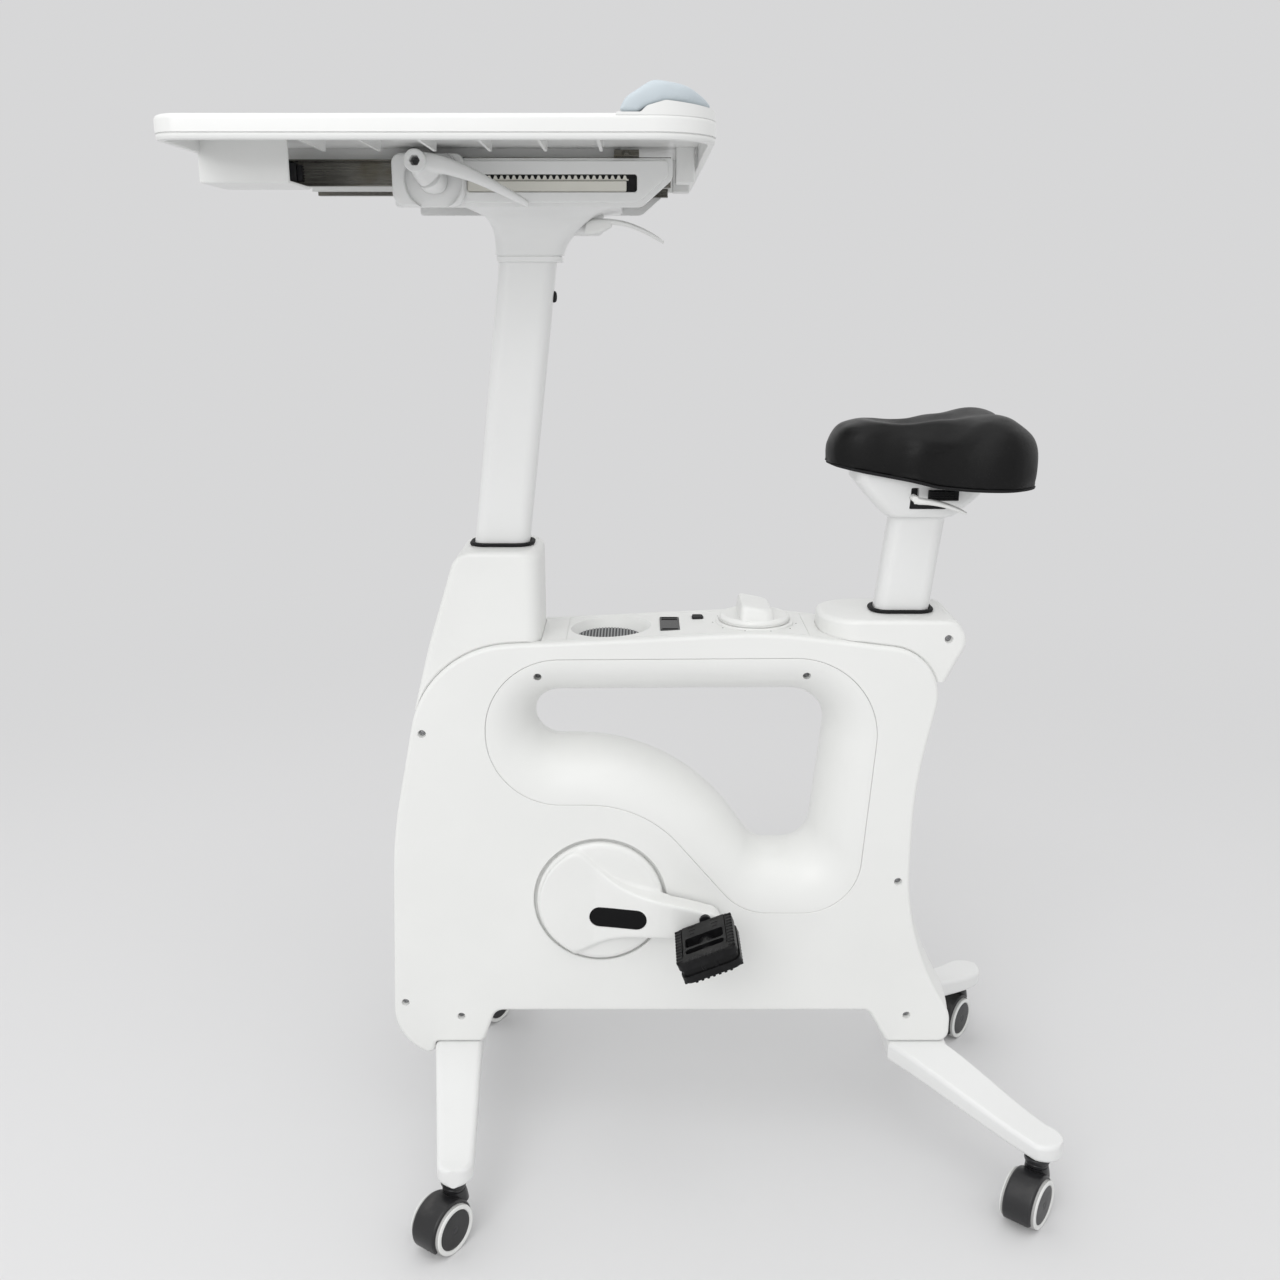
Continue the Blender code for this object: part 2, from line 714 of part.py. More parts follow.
def make_gas_spring(name, axis, cylinder_top, rod_bottom, rod_top):
    """Cylinder on the beam and the rod that pushes the column's head up."""
    foot = BEAM_TOP + GAP
    bore = GAS_ROD_R + GAP
    loops = [
        leaning_round(axis, foot, GAS_CYLINDER_R),
        leaning_round(axis, cylinder_top, GAS_CYLINDER_R),
        leaning_round(axis, cylinder_top, bore),
        leaning_round(axis, foot + CYLINDER_FLOOR, bore),
    ]
    add_object(name + "_gas_cylinder", loft(loops), "iron")
    ends = [leaning_round(axis, rod_bottom, GAS_ROD_R), leaning_round(axis, rod_top, GAS_ROD_R)]
    add_object(name + "_gas_rod", loft(ends), "steel", (lean_at(axis, rod_bottom), 0.0, rod_bottom))


def make_columns():
    """Desk and seat columns with their sleeves, collars and gas springs."""
    desk_axis = (DESK_AXIS_X, FRONT_HOOD_TOP)
    seat_axis = (SEAT_AXIS_X, REAR_HOOD_TOP)
    make_column_set("desk_column", "front_sleeve", "front_collar", desk_axis,
                    FRONT_HOOD_TOP, DESK_COLUMN_BOTTOM, HEAD_SOCKET_TOP)
    make_column_set("seat_column", "rear_sleeve", "rear_collar", seat_axis,
                    REAR_HOOD_TOP, SEAT_COLUMN_BOTTOM, SEAT_SOCKET_TOP)
    make_gas_spring("desk", desk_axis, DESK_CYLINDER_TOP, DESK_ROD_BOTTOM, HEAD_SOCKET_TOP - GAP)
    make_gas_spring("seat", seat_axis, SEAT_CYLINDER_TOP, SEAT_ROD_BOTTOM, SEAT_SOCKET_TOP - GAP)


def make_shell(name, side):
    """Side shell: a shallow dish with a rounded rim, open for the grip ring and the crank disc."""
    outline = rounded(SHELL_CORNERS)
    loops = [side_loop(offset(outline, -inset), side * y) for inset, y in rim_bends(HOUSING_HALF, EDGE_ROUND)]
    inner = offset(outline, -WALL)
    loops.append(side_loop(outline, side * RIM_HALF))
    loops.append(side_loop(inner, side * RIM_HALF))
    loops.append(side_loop(inner, side * (HOUSING_HALF - EDGE_ROUND)))
    loops.append(side_loop(offset(outline, -WALL - EDGE_ROUND), side * (HOUSING_HALF - WALL)))
    piece = add_object(name, loft(loops), "white_plastic")
    through = (side * (RIM_HALF - 4.0), side * (HOUSING_HALF + 4.0))
    cut(piece, prism(offset(rounded(RING_CORNERS, RING_CORNER_STEPS), GAP), *through))
    cut(piece, placed(rod(RECESS_R, *through, sides=40), CRANK_X, 0.0, CRANK_Z))


def make_grip_ring(name, side):
    """Rounded surround that falls from the side face to the carrying opening."""
    outer = rounded(RING_CORNERS, RING_CORNER_STEPS)
    opening = rounded(OPENING_CORNERS, RING_CORNER_STEPS)
    depth = HOUSING_HALF - GAP / 2.0

    def section(reach, drop):
        return side_loop([a.lerp(b, reach) for a, b in zip(outer, opening)], side * (HOUSING_HALF - drop))

    bends = [math.pi / 2.0 * step / RING_BENDS for step in range(RING_BENDS + 1)]
    loops = [section(math.sin(angle), depth * (1.0 - math.cos(angle))) for angle in bends]
    for angle in reversed(bends):
        drop = WALL + (depth - WALL) * (1.0 - math.cos(angle))
        loops.append(section(RING_BACK_REACH * math.sin(angle), drop))
    add_object(name, loft(loops, closed=True), "white_plastic")


def shift_line(points, distance, first=0):
    """Move an open line to its right; a first point makes the shift swell from there and fade."""
    lengths = [0.0]
    for before, after in zip(points, points[1:]):
        lengths.append(lengths[-1] + (after - before).length)
    moved = []
    for index, here in enumerate(points):
        run = (points[min(index + 1, len(points) - 1)] - points[max(index - 1, 0)]).normalized()
        share = 1.0
        if first:
            along = (lengths[index] - lengths[first]) / (lengths[-1] - lengths[first])
            share = math.sin(math.pi * math.sqrt(max(0.0, along)))
        moved.append(here + Vector((run.y, -run.x)) * distance * share)
    return moved


def strip(points, half, crown=0.0, crown_start=0):
    """Curved cover of even thickness along an open line, crowned across its width."""
    spans = 4 if crown else 1
    inner = shift_line(points, -WALL)
    loops = []
    for span in range(spans + 1):
        across = 2.0 * span / spans - 1.0
        outer = shift_line(points, crown * (1.0 - across ** 2), crown_start)
        loops.append(side_loop(outer + inner[::-1], half * across))
    return loft(loops)


def make_cover(name, corners, cavity, axis, lower, boss):
    """End cover: a hood round the column above the shells and a strip between them below."""
    piece = add_object(name, soft_prism(rounded(corners), HOOD_HALF, EDGE_ROUND), "white_plastic")
    cut(piece, prism(rounded(cavity), -HOOD_HALF + WALL, HOOD_HALF - WALL))
    shell_room = offset(rounded(SHELL_CORNERS), GAP)
    cut(piece, prism(shell_room, -HOOD_HALF - 10.0, -RIM_HALF + GAP))
    cut(piece, prism(shell_room, RIM_HALF - GAP, HOOD_HALF + 10.0))
    sleeve_room = GAP + SLEEVE_WALL
    cut(piece, loft([leaning_ring(axis, axis[1] + z, sleeve_room) for z in (-20.0, 5.0)]))
    join(piece, lower)
    cut(piece, block(boss[0] - GAP, boss[1] + GAP, -BOSS_HALF - GAP, BOSS_HALF + GAP,
                     SHOE_FLOOR - 5.0, SHOE_FLOOR + 10.0))


def make_end_covers():
    """Front and rear covers, which close the housing's edge between the shells."""
    outline = rounded(SHELL_CORNERS)
    half = RIM_HALF - GAP
    front_line = stretch_of(outline, FRONT_STRIP_START, FRONT_STRIP_END)
    front_line.append(Vector((-GAP / 2.0, HOUSING_FLOOR)))
    rear_line = stretch_of(outline, REAR_STRIP_START, REAR_STRIP_END)
    rear_line.insert(0, Vector((GAP / 2.0, HOUSING_FLOOR)))
    corner = max(i for i, point in enumerate(rear_line) if point.y < SHOE_FLOOR + 6.0)
    make_cover("front_cover", FRONT_HOOD_CORNERS, FRONT_HOOD_CAVITY, (DESK_AXIS_X, FRONT_HOOD_TOP),
               strip(front_line, half), FRONT_BOSS)
    make_cover("rear_cover", REAR_HOOD_CORNERS, REAR_HOOD_CAVITY, (SEAT_AXIS_X, REAR_HOOD_TOP),
               strip(rear_line, half, REAR_CROWN, corner), REAR_BOSS)


def round_under_top(x, radius, bottom, depth):
    """Upright rod whose top follows the housing's top line at a depth below it."""
    lower = [Vector((x + point.x, point.y, bottom)) for point in ring_points(radius, FINE_SIDES)]
    upper = [Vector((point.x, point.y, housing_top_at(point.x) - depth)) for point in lower]
    return loft([lower, upper])


def ring_points(radius, sides):
    """Points of a circle."""
    angles = [math.tau * side / sides for side in range(sides)]
    return [Vector((radius * math.cos(angle), radius * math.sin(angle))) for angle in angles]


def make_top_panel():
    """Panel between the hoods with the cup recess, display pocket, button hole and knob seat."""
    start = FRONT_HOOD_BACK + GAP
    end = REAR_HOOD_START - GAP
    inner = [point.x for point in housing_line() if start < point.x < end]
    line = [Vector((x, housing_top_at(x))) for x in [start] + inner + [end]]
    under = [point - Vector((0.0, PANEL_THICK)) for point in line]
    half = RIM_HALF - GAP
    piece = add_object("top_panel", prism(line + under[::-1], -half, half), "white_plastic")
    cup_top = housing_top_at(CUP_X)
    floor = cup_top - CUP_DEPTH
    join(piece, round_under_top(CUP_X, CUP_R + PANEL_THICK, floor - PANEL_THICK, 1.5))
    bowl = [(CUP_FLOOR_R, floor), (CUP_R - 0.5, cup_top - 3.0), (CUP_R + 2.0, cup_top + 5.0)]
    cut(piece, placed(turned(bowl, "Z", FINE_SIDES), CUP_X))
    pocket_x = DISPLAY_LENGTH / 2.0 + GAP
    pocket_y = DISPLAY_WIDTH / 2.0 + GAP
    pocket_z = housing_top_at(DISPLAY_X) + 1.0 - DISPLAY_THICK - GAP
    cut(piece, block(DISPLAY_X - pocket_x, DISPLAY_X + pocket_x, -pocket_y, pocket_y,
                     pocket_z, pocket_z + 20.0))
    hole = button_box(GAP, housing_top_at(BUTTON_X) - 10.0, housing_top_at(BUTTON_X) + 10.0)
    cut(piece, hole)
    seat = housing_top_at(KNOB_X)
    join(piece, placed(rod(BEZEL_R, seat - PANEL_THICK + 1.0, seat + BEZEL_RISE, "Z", FINE_SIDES), KNOB_X))
    cut(piece, placed(rod(KNOB_R + 1.0, seat + KNOB_SEAT, seat + 10.0, "Z", FINE_SIDES), KNOB_X))
    cut(piece, placed(rod(KNOB_SHAFT_R + GAP, seat - 10.0, seat + 5.0, "Z", 24), KNOB_X))


def button_box(grow, z0, z1):
    """Rounded box round the reset button's outline."""
    half_y = BUTTON_WIDTH / 2.0 + grow
    x0 = BUTTON_X - BUTTON_LENGTH / 2.0 - grow
    x1 = BUTTON_X + BUTTON_LENGTH / 2.0 + grow
    return tower([(z, x0, x1, half_y, BUTTON_ROUND + grow) for z in (z0, z1)], BUTTON_Y)


def make_controls():
    """Display, reset button held under the panel by its flange, and resistance knob."""
    top = housing_top_at(DISPLAY_X) + 1.0
    display = block(DISPLAY_X - DISPLAY_LENGTH / 2.0, DISPLAY_X + DISPLAY_LENGTH / 2.0,
                    -DISPLAY_WIDTH / 2.0, DISPLAY_WIDTH / 2.0, top - DISPLAY_THICK, top)
    add_object("display_window", display, "black_plastic")
    under = housing_top_at(BUTTON_X) - PANEL_THICK - 2.0 * GAP
    pivot = (BUTTON_X, BUTTON_Y, under)
    button = add_object("reset_button", button_box(0.0, under - 2.0, under + PANEL_THICK + 2.6),
                        "black_plastic", pivot)
    join(button, button_box(2.0, under - 4.0, under), pivot)
    make_knob()


def make_knob():
    """Dial with a raised finger grip and a shaft through the panel."""
    seat = housing_top_at(KNOB_X) + KNOB_SEAT + GAP
    pivot = (KNOB_X, 0.0, seat)
    profile = [
        (KNOB_SHAFT_R, seat - KNOB_SHAFT),
        (KNOB_SHAFT_R, seat),
        (KNOB_R - 1.0, seat),
        (KNOB_R, seat + 2.0),
        (KNOB_R - 1.0, seat + 6.0),
        (KNOB_R - 4.0, seat + 8.5),
        (10.0, seat + 8.5),
    ]
    dial = placed(turned(profile, "Z", FINE_SIDES), KNOB_X)
    piece = add_object("resistance_knob", dial, "white_plastic", pivot)
    grip = [
        (seat + 6.0, KNOB_X - 20.0, KNOB_X + 20.0, KNOB_R - 4.0, 11.0),
        (seat + 20.0, KNOB_X - 18.8, KNOB_X + 18.8, KNOB_R - 6.0, 11.0),
        (seat + 27.0, KNOB_X - 17.5, KNOB_X + 17.5, KNOB_R - 8.0, 11.0),
        (seat + 30.0, KNOB_X - 14.5, KNOB_X + 14.5, KNOB_R - 13.0, 10.0),
    ]
    join(piece, tower(grip), pivot)


def arm_half(reach):
    """Half height of the crank arm at a distance from the axle."""
    share = (reach - CRANK_ROOT) / (CRANK_LENGTH - CRANK_ROOT)
    return CRANK_TIP_R + (CRANK_ROOT_HALF - CRANK_TIP_R) * (1.0 - share) ** 2.2


def arm_face(reach):
    """Outer face of the crank arm at a distance from the axle."""
    share = (reach - CRANK_ROOT) / (CRANK_LENGTH - CRANK_ROOT)
    rise = 0.5 - 0.5 * math.cos(math.pi * min(1.0, share * 1.25))
    root = CRANK_DISC_FACE - 2.5
    return root + (CRANK_ARM_FACE - root) * rise


def crank_arm(side):
    """Tapering arm from the disc to its round tip, set below the axle."""
    stations = [(reach, arm_half(reach), arm_face(reach))
                for reach in (CRANK_ROOT, -20.0, 0.0, 20.0, 40.0, 62.0, 85.0, 108.0, CRANK_LENGTH)]
    for degrees in (30.0, 55.0, 75.0):
        angle = math.radians(degrees)
        stations.append((CRANK_LENGTH + CRANK_TIP_R * math.sin(angle), CRANK_TIP_R * math.cos(angle),
                         CRANK_ARM_FACE - 4.0 * math.sin(angle)))
    loops = []
    for reach, half, face in stations:
        back = CRANK_INNER + 3.0 if reach < 55.0 else CRANK_ARM_BACK
        ring = rect_ring(back, face, -half, half, 3.5, 2)
        loops.append([Vector((CRANK_X + reach, side * p.x, CRANK_Z - CRANK_DROP + p.y)) for p in ring])
    return loft(loops)


def plug_shape(side, grow, depth, height):
    """Oblong set on the sloping face of the arm, from a depth in it to a height over it."""
    radius = PLUG_WIDTH / 2.0 + grow
    start = PLUG_START - grow
    end = PLUG_START + PLUG_LENGTH + grow
    ring = rect_ring(start, end, -radius, radius, radius - 0.1, 4)
    first = arm_face(PLUG_START)
    slope = (arm_face(PLUG_START + PLUG_LENGTH) - first) / PLUG_LENGTH
    loops = []
    for level in (-depth, height):
        loops.append([
            Vector((CRANK_X + p.x, side * (first + slope * (p.x - PLUG_START) + level),
                    CRANK_Z - CRANK_DROP + p.y))
            for p in ring
        ])
    return loft(loops)


def make_crank(side_name, side, turn):
    """Crank with its disc, arm, pedal spindle and the oblong plug over its bolt."""
    pivot = (CRANK_X, 0.0, CRANK_Z)
    profile = [
        (CRANK_DISC_R - 2.0, CRANK_INNER),
        (CRANK_DISC_R, CRANK_INNER + 2.0),
        (CRANK_DISC_R, CRANK_DISC_FACE - 9.0),
        (CRANK_DISC_R - 4.0, CRANK_DISC_FACE - 5.0),
        (CRANK_DISC_R - 20.0, CRANK_DISC_FACE - 1.5),
        (CRANK_DISC_R - 55.0, CRANK_DISC_FACE),
    ]
    disc = turned([(radius, side * y) for radius, y in profile], sides=FINE_SIDES)
    piece = add_object("crank_" + side_name, placed(disc, *pivot), "white_plastic", pivot, turn)
    join(piece, crank_arm(side), pivot, turn)
    spindle = [
        (SPINDLE_SHOULDER_R, CRANK_ARM_FACE - 8.0),
        (SPINDLE_SHOULDER_R, PEDAL_START - GAP),
        (SPINDLE_R, PEDAL_START - GAP),
        (SPINDLE_R, PEDAL_START + PEDAL_LENGTH - PEDAL_BLIND),
    ]
    pin = turned([(radius, side * y) for radius, y in spindle], sides=20)
    join(piece, placed(pin, CRANK_X + CRANK_LENGTH, 0.0, CRANK_Z - CRANK_DROP), pivot, turn)
    bore = rod(AXLE_R + GAP, side * (CRANK_INNER - 5.0), side * (AXLE_HALF + GAP), sides=24)
    cut(piece, placed(bore, *pivot), pivot, turn)
    cut(piece, plug_shape(side, GAP, PLUG_DEPTH + GAP, 12.0), pivot, turn)
    plug = plug_shape(side, 0.0, PLUG_DEPTH, 0.0)
    add_object("crank_plug_" + side_name, plug, "black_plastic", pivot, turn)


def make_pedal(side_name, side, turn):
    """Pedal block with two openings, turning on its spindle."""
    x = CRANK_X + CRANK_LENGTH * math.cos(turn) - CRANK_DROP * math.sin(turn)
    z = CRANK_Z - CRANK_LENGTH * math.sin(turn) - CRANK_DROP * math.cos(turn)
    pivot = (x, 0.0, z)
    middle_y = side * (PEDAL_START + PEDAL_LENGTH / 2.0)
    half_x = PEDAL_WIDTH / 2.0
    half_y = PEDAL_LENGTH / 2.0
    half_z = PEDAL_THICK / 2.0
    sections = []
    for level, inset in ((-half_z, 3.0), (-half_z + 3.0, 0.0), (half_z - 3.0, 0.0), (half_z, 3.0)):
        sections.append((z + level, x - half_x + inset, x + half_x - inset, half_y - inset, 9.0))
    piece = add_object("pedal_" + side_name, tower(sections, middle_y), "black_plastic", pivot, PEDAL_TILT)
    for x0, x1 in ((x - half_x + 7.0, x - 10.0), (x + 10.0, x + half_x - 7.0)):
        window = [(z + level, x0, x1, half_y - 11.0, 5.0) for level in (-30.0, 30.0)]
        cut(piece, tower(window, middle_y), pivot, PEDAL_TILT)
    hole = rod(SPINDLE_R + GAP, side * (PEDAL_START - 5.0),
               side * (PEDAL_START + PEDAL_LENGTH - PEDAL_BLIND + GAP), sides=20)
    cut(piece, placed(hole, x, 0.0, z), pivot, PEDAL_TILT)


def make_drive():
    """Crank axle in its bearing, and the belt drive to the flywheel."""
    bore = AXLE_R + GAP
    pivot = (CRANK_X, 0.0, CRANK_Z)
    axle = rod(AXLE_R, -AXLE_HALF, AXLE_HALF, sides=24)
    add_object("crank_axle", placed(axle, *pivot), "steel", pivot)
    half = BEARING_HALF
    tube = [(bore, -half), (BEARING_R, -half), (BEARING_R, half), (bore, half)]
    bearing = add_object("crank_bearing", placed(turned(tube, sides=20, bored=True), *pivot), "iron", pivot)
    join(bearing, block(CRANK_X - 16.0, CRANK_X + 16.0, -12.0, 12.0,
                        BEAM_TOP + GAP, CRANK_Z - bore - 3.0), pivot)
    start = PULLEY_START
    end = PULLEY_START + PULLEY_WIDTH
    groove = (start + FLANGE, end - FLANGE)
    rim = PULLEY_R + BELT_THICK
    profile = [
        (bore, start - 4.0), (PULLEY_HUB_R, start - 4.0), (PULLEY_HUB_R, start), (rim, start),
        (rim, groove[0]), (PULLEY_R, groove[0]), (PULLEY_R, groove[1]), (rim, groove[1]),
        (rim, end), (bore, end),
    ]
    pulley = turned(profile, bored=True)
    add_object("drive_pulley", placed(pulley, *pivot), "black_plastic", pivot)
    make_belt(groove[0] + GAP, groove[1] - GAP)
    make_flywheel(groove, end)


def make_belt(y0, y1):
    """Belt round both pulleys."""
    big = Vector((CRANK_X, CRANK_Z))
    small = Vector((FLYWHEEL_X, FLYWHEEL_Z))
    span = small - big
    heading = math.atan2(span.y, span.x)
    lean = math.acos((PULLEY_R - SMALL_PULLEY_R) / span.length)
    arcs = [
        (big, PULLEY_R, heading + lean, math.tau - 2.0 * lean, 24),
        (small, SMALL_PULLEY_R, heading - lean, 2.0 * lean, 8),
    ]
    loops = []
    for y, thick in ((y0, 0.0), (y0, BELT_THICK), (y1, BELT_THICK), (y1, 0.0)):
        line = []
        for centre, radius, first, sweep, steps in arcs:
            for step in range(steps + 1):
                angle = first + sweep * step / steps
                line.append(centre + Vector((math.cos(angle), math.sin(angle))) * (radius + GAP + thick))
        loops.append(side_loop(line, y))
    add_object("drive_belt", loft(loops, closed=True), "black_rubber")


def make_flywheel(groove, end):
    """Flywheel with its pulley, and the bracket whose pin carries it."""
    pivot = (FLYWHEEL_X, 0.0, FLYWHEEL_Z)
    bore = FLYWHEEL_PIN_R + GAP
    inner = FLYWHEEL_START
    outer = FLYWHEEL_START + FLYWHEEL_WIDTH
    hub = inner - FLYWHEEL_HUB
    flange = SMALL_PULLEY_R + BELT_THICK
    rim = FLYWHEEL_R - FLYWHEEL_RIM
    profile = [
        (bore, hub), (FLYWHEEL_HUB_R, hub), (FLYWHEEL_HUB_R, inner + FLYWHEEL_DISH),
        (rim, inner + FLYWHEEL_DISH), (rim, inner), (FLYWHEEL_R, inner), (FLYWHEEL_R, outer),
        (rim, outer), (rim, outer - FLYWHEEL_DISH), (flange, outer - FLYWHEEL_DISH),
        (flange, groove[0]), (SMALL_PULLEY_R, groove[0]), (SMALL_PULLEY_R, groove[1]),
        (flange, groove[1]), (flange, end), (bore, end),
    ]
    add_object("flywheel", placed(turned(profile, bored=True), *pivot), "steel", pivot)
    plate = block(FLYWHEEL_X - 18.0, FLYWHEEL_X + 18.0, hub - GAP - BRACKET_PLATE, hub - GAP,
                  BEAM_TOP + GAP, FLYWHEEL_Z + 16.0)
    bracket = add_object("flywheel_bracket", plate, "iron")
    join(bracket, placed(rod(FLYWHEEL_PIN_R, hub - 6.0, end, sides=20), *pivot))


def make_magnet_arm():
    """Arm that swings its magnets nearer to the flywheel's rim."""
    centre = Vector((FLYWHEEL_X, FLYWHEEL_Z))
    near = FLYWHEEL_R + MAGNET_GAP
    angles = [MAGNET_ARC_START + MAGNET_ARC_SWEEP * step / 10.0 for step in range(11)]
    rays = [Vector((math.cos(angle), math.sin(angle))) for angle in angles]
    inner = [centre + ray * near for ray in rays]
    outer = [centre + ray * (near + MAGNET_THICK) for ray in rays]
    x, z = MAGNET_PIVOT
    foot = [Vector((x + 7.0, z - 7.0)), Vector((x - 7.0, z - 7.0))]
    y0 = BEAM_HALF + 1.0
    pivot = (x, 0.0, z)
    arm = prism(inner + foot + outer[::-1], y0, FLYWHEEL_START + FLYWHEEL_WIDTH)
    piece = add_object("magnet_arm", arm, "iron", pivot)
    pin = rod(MAGNET_PIN_R, BEAM_HALF - MAGNET_PIN_DEPTH, y0 + 3.0, sides=16)
    join(piece, placed(pin, *pivot), pivot)


def make_desk_head():
    """Flared yoke on the desk column, with the lug that holds the height lever."""
    axis = (DESK_AXIS_X, FRONT_HOOD_TOP)
    pivot = (lean_at(axis, HEAD_NECK_BOTTOM), 0.0, HEAD_NECK_BOTTOM)
    piece = add_object("desk_head", tower(DESK_HEAD_SECTIONS), "white_paint", pivot)
    x, z = HEIGHT_PIVOT
    for side in (-1.0, 1.0):
        cut(piece, block(x - 12.0, x + 20.0, side * (LUG_HALF - 2.0), side * (LUG_HALF + 8.0),
                         z - 20.0, z + 10.0), pivot)
    join(piece, block(x - 26.0, x + 12.0, -LUG_HALF, LUG_HALF, z - 9.0, z + 18.0), pivot)
    socket = [leaning_ring(axis, height, GAP) for height in (HEAD_NECK_BOTTOM - 5.0, HEAD_SOCKET_TOP)]
    cut(piece, loft(socket), pivot)
    hole = rod(HEIGHT_PIN_R + GAP, -LUG_HALF - 3.0, LUG_HALF + 3.0, sides=16)
    cut(piece, placed(hole, x, 0.0, z), pivot)


def make_bracket(side_name, side):
    """Slotted side bracket on the head, with the block of the clamp at its far end."""
    plate = prism(rounded(BRACKET_CORNERS), side * BRACKET_INNER, side * (BRACKET_INNER + BRACKET_THICK))
    piece = add_object("bracket_" + side_name, plate, "white_paint")
    join(piece, prism(rounded(END_BLOCK_CORNERS), side * (BRACKET_INNER + 1.0), side * END_BLOCK_OUTER))
    past = (side * (BRACKET_INNER - 3.0), side * (END_BLOCK_OUTER + 3.0))
    cut(piece, prism(rounded(BRACKET_SLOT), *past))
    x, z = CLAMP_PIVOT
    recess = rod(END_BLOCK_RECESS_R, side * END_BLOCK_RECESS_Y, past[1])
    cut(piece, placed(recess, x, 0.0, z))
    cut(piece, placed(rod(CLAMP_PIN_R + GAP, *past, sides=24), x, 0.0, z))


def make_slide(side_name, side):
    """Telescopic slide: outer channel on the bracket and inner channel on the desktop."""
    sheet = SLIDE_SHEET
    back = SLIDE_BACK_Y
    lip = SLIDE_LIP_Y
    low = SLIDE_BOTTOM
    high = SLIDE_TOP
    outer = [
        (back, low), (back, high), (lip, high), (lip, high - sheet),
        (back - sheet, high - sheet), (back - sheet, low + sheet), (lip, low + sheet), (lip, low),
    ]
    add_object("slide_outer_" + side_name, channel(outer, side, SLIDE_FRONT, SLIDE_END), "steel")
    back = RAIL_OUTER_Y + GAP
    lip = SLIDE_BACK_Y - sheet - GAP
    low = SLIDE_BOTTOM + sheet + GAP
    high = SLIDE_TOP - sheet - GAP
    inner = [
        (back, low), (lip, low), (lip, low + sheet), (back + sheet, low + sheet),
        (back + sheet, high - sheet), (lip, high - sheet), (lip, high), (back, high),
    ]
    add_object("slide_inner_" + side_name, channel(inner, side, SLIDE_BAR_FRONT, SLIDE_BAR_BACK), "steel")


def channel(section, side, x0, x1):
    """Bar along x with a (y, z) section."""
    return loft([[Vector((x, side * y, z)) for y, z in section] for x in (x0, x1)])


def lever_arm(stations):
    """Flat-sided arm through (x, z, half height, y0, y1) stations."""
    loops = []
    for x, z, half, y0, y1 in stations:
        radius = 0.45 * min(half * 2.0, abs(y1 - y0))
        ring = rect_ring(y0, y1, z - half, z + half, radius, 2)
        loops.append([Vector((x, point.x, point.y)) for point in ring])
    return loft(loops)


def make_clamp_lever():
    """Cam lever on the near bracket that locks the desktop's slide."""
    x, z = CLAMP_PIVOT
    pivot = (x, 0.0, z)
    face = -END_BLOCK_RECESS_Y - GAP
    start = -BRACKET_INNER - 1.0
    body = [(CLAMP_PIN_R, start), (CLAMP_PIN_R, face), (CLAMP_BOSS_R, face), (CLAMP_BOSS_R, -104.0)]
    piece = add_object("clamp_lever", placed(turned(body, sides=20), *pivot), "white_paint", pivot)
    hub_x, hub_z = CLAMP_HUB
    hub = [
        (CLAMP_HUB_R, -96.0), (CLAMP_HUB_R, -121.0), (CLAMP_HUB_R - 2.0, -123.0),
        (CLAMP_SOCKET_R, -123.0), (CLAMP_SOCKET_R, -110.0),
    ]
    join(piece, placed(turned(hub, sides=20), hub_x, 0.0, hub_z), pivot)
    tip_x, tip_z = CLAMP_TIP
    arm = [
        (hub_x, hub_z, 8.0, -98.0, -112.0),
        (hub_x + 28.0, hub_z - 9.0, 9.0, -97.0, -113.0),
        (hub_x + 66.0, hub_z - 24.0, 6.0, -98.0, -114.0),
        (tip_x - 6.0, tip_z + 2.5, 3.5, -99.0, -115.0),
        (tip_x, tip_z, 2.5, -101.0, -113.0),
    ]
    join(piece, lever_arm(arm), pivot)


def make_height_lever():
    """Paddle lever under the head that releases the desk column."""
    x, z = HEIGHT_PIVOT
    pivot = (x, 0.0, z)
    tip_x, tip_z = HEIGHT_TIP
    inner = LUG_HALF + GAP
    outer = inner + 6.0
    paddle = [
        (x + 13.0, z - 1.5, 5.5, -outer, outer),
        (x + 30.0, z - 6.0, 4.5, -outer - 2.0, outer + 2.0),
        (tip_x - 14.0, tip_z + 3.0, 3.5, -outer - 4.0, outer + 4.0),
        (tip_x - 2.0, tip_z + 0.5, 3.0, -outer - 3.0, outer + 3.0),
        (tip_x, tip_z, 2.0, -outer, outer),
    ]
    piece = add_object("height_lever", lever_arm(paddle), "white_plastic", pivot)
    for side in (-1.0, 1.0):
        cheek = [
            (x - 8.0, z, 6.0, side * inner, side * outer),
            (x + 4.0, z - 0.5, 8.0, side * inner, side * outer),
            (x + 20.0, z - 3.0, 5.5, side * inner, side * outer),
        ]
        join(piece, lever_arm(cheek), pivot)
    join(piece, placed(rod(HEIGHT_PIN_R, -inner - 3.0, inner + 3.0, sides=16), *pivot), pivot)


def make_seat_lever():
    """Lever at the seat's bracket that releases the seat column."""
    x, z = SEAT_LEVER_PIVOT
    pivot = (x, 0.0, z)
    start = -SEAT_LEVER_HUB_START
    hub = [(SEAT_LEVER_PIN_R, -SEAT_LEVER_PIN_START), (SEAT_LEVER_PIN_R, start), (8.0, start),
           (8.0, -SEAT_LEVER_HUB_END)]
    piece = add_object("seat_lever", placed(turned(hub, sides=24), *pivot), "white_plastic", pivot)
    tip_x, tip_z = SEAT_LEVER_TIP
    arm = [
        (x + 2.0, z, 6.0, -44.0, -54.0),
        (x + 22.0, z - 4.0, 5.0, -44.0, -56.0),
        (tip_x - 12.0, tip_z + 3.5, 4.5, -44.0, -60.0),
        (tip_x - 2.0, tip_z + 0.5, 3.5, -45.0, -60.0),
        (tip_x, tip_z, 2.0, -47.0, -58.0),
    ]
    join(piece, lever_arm(arm), pivot)


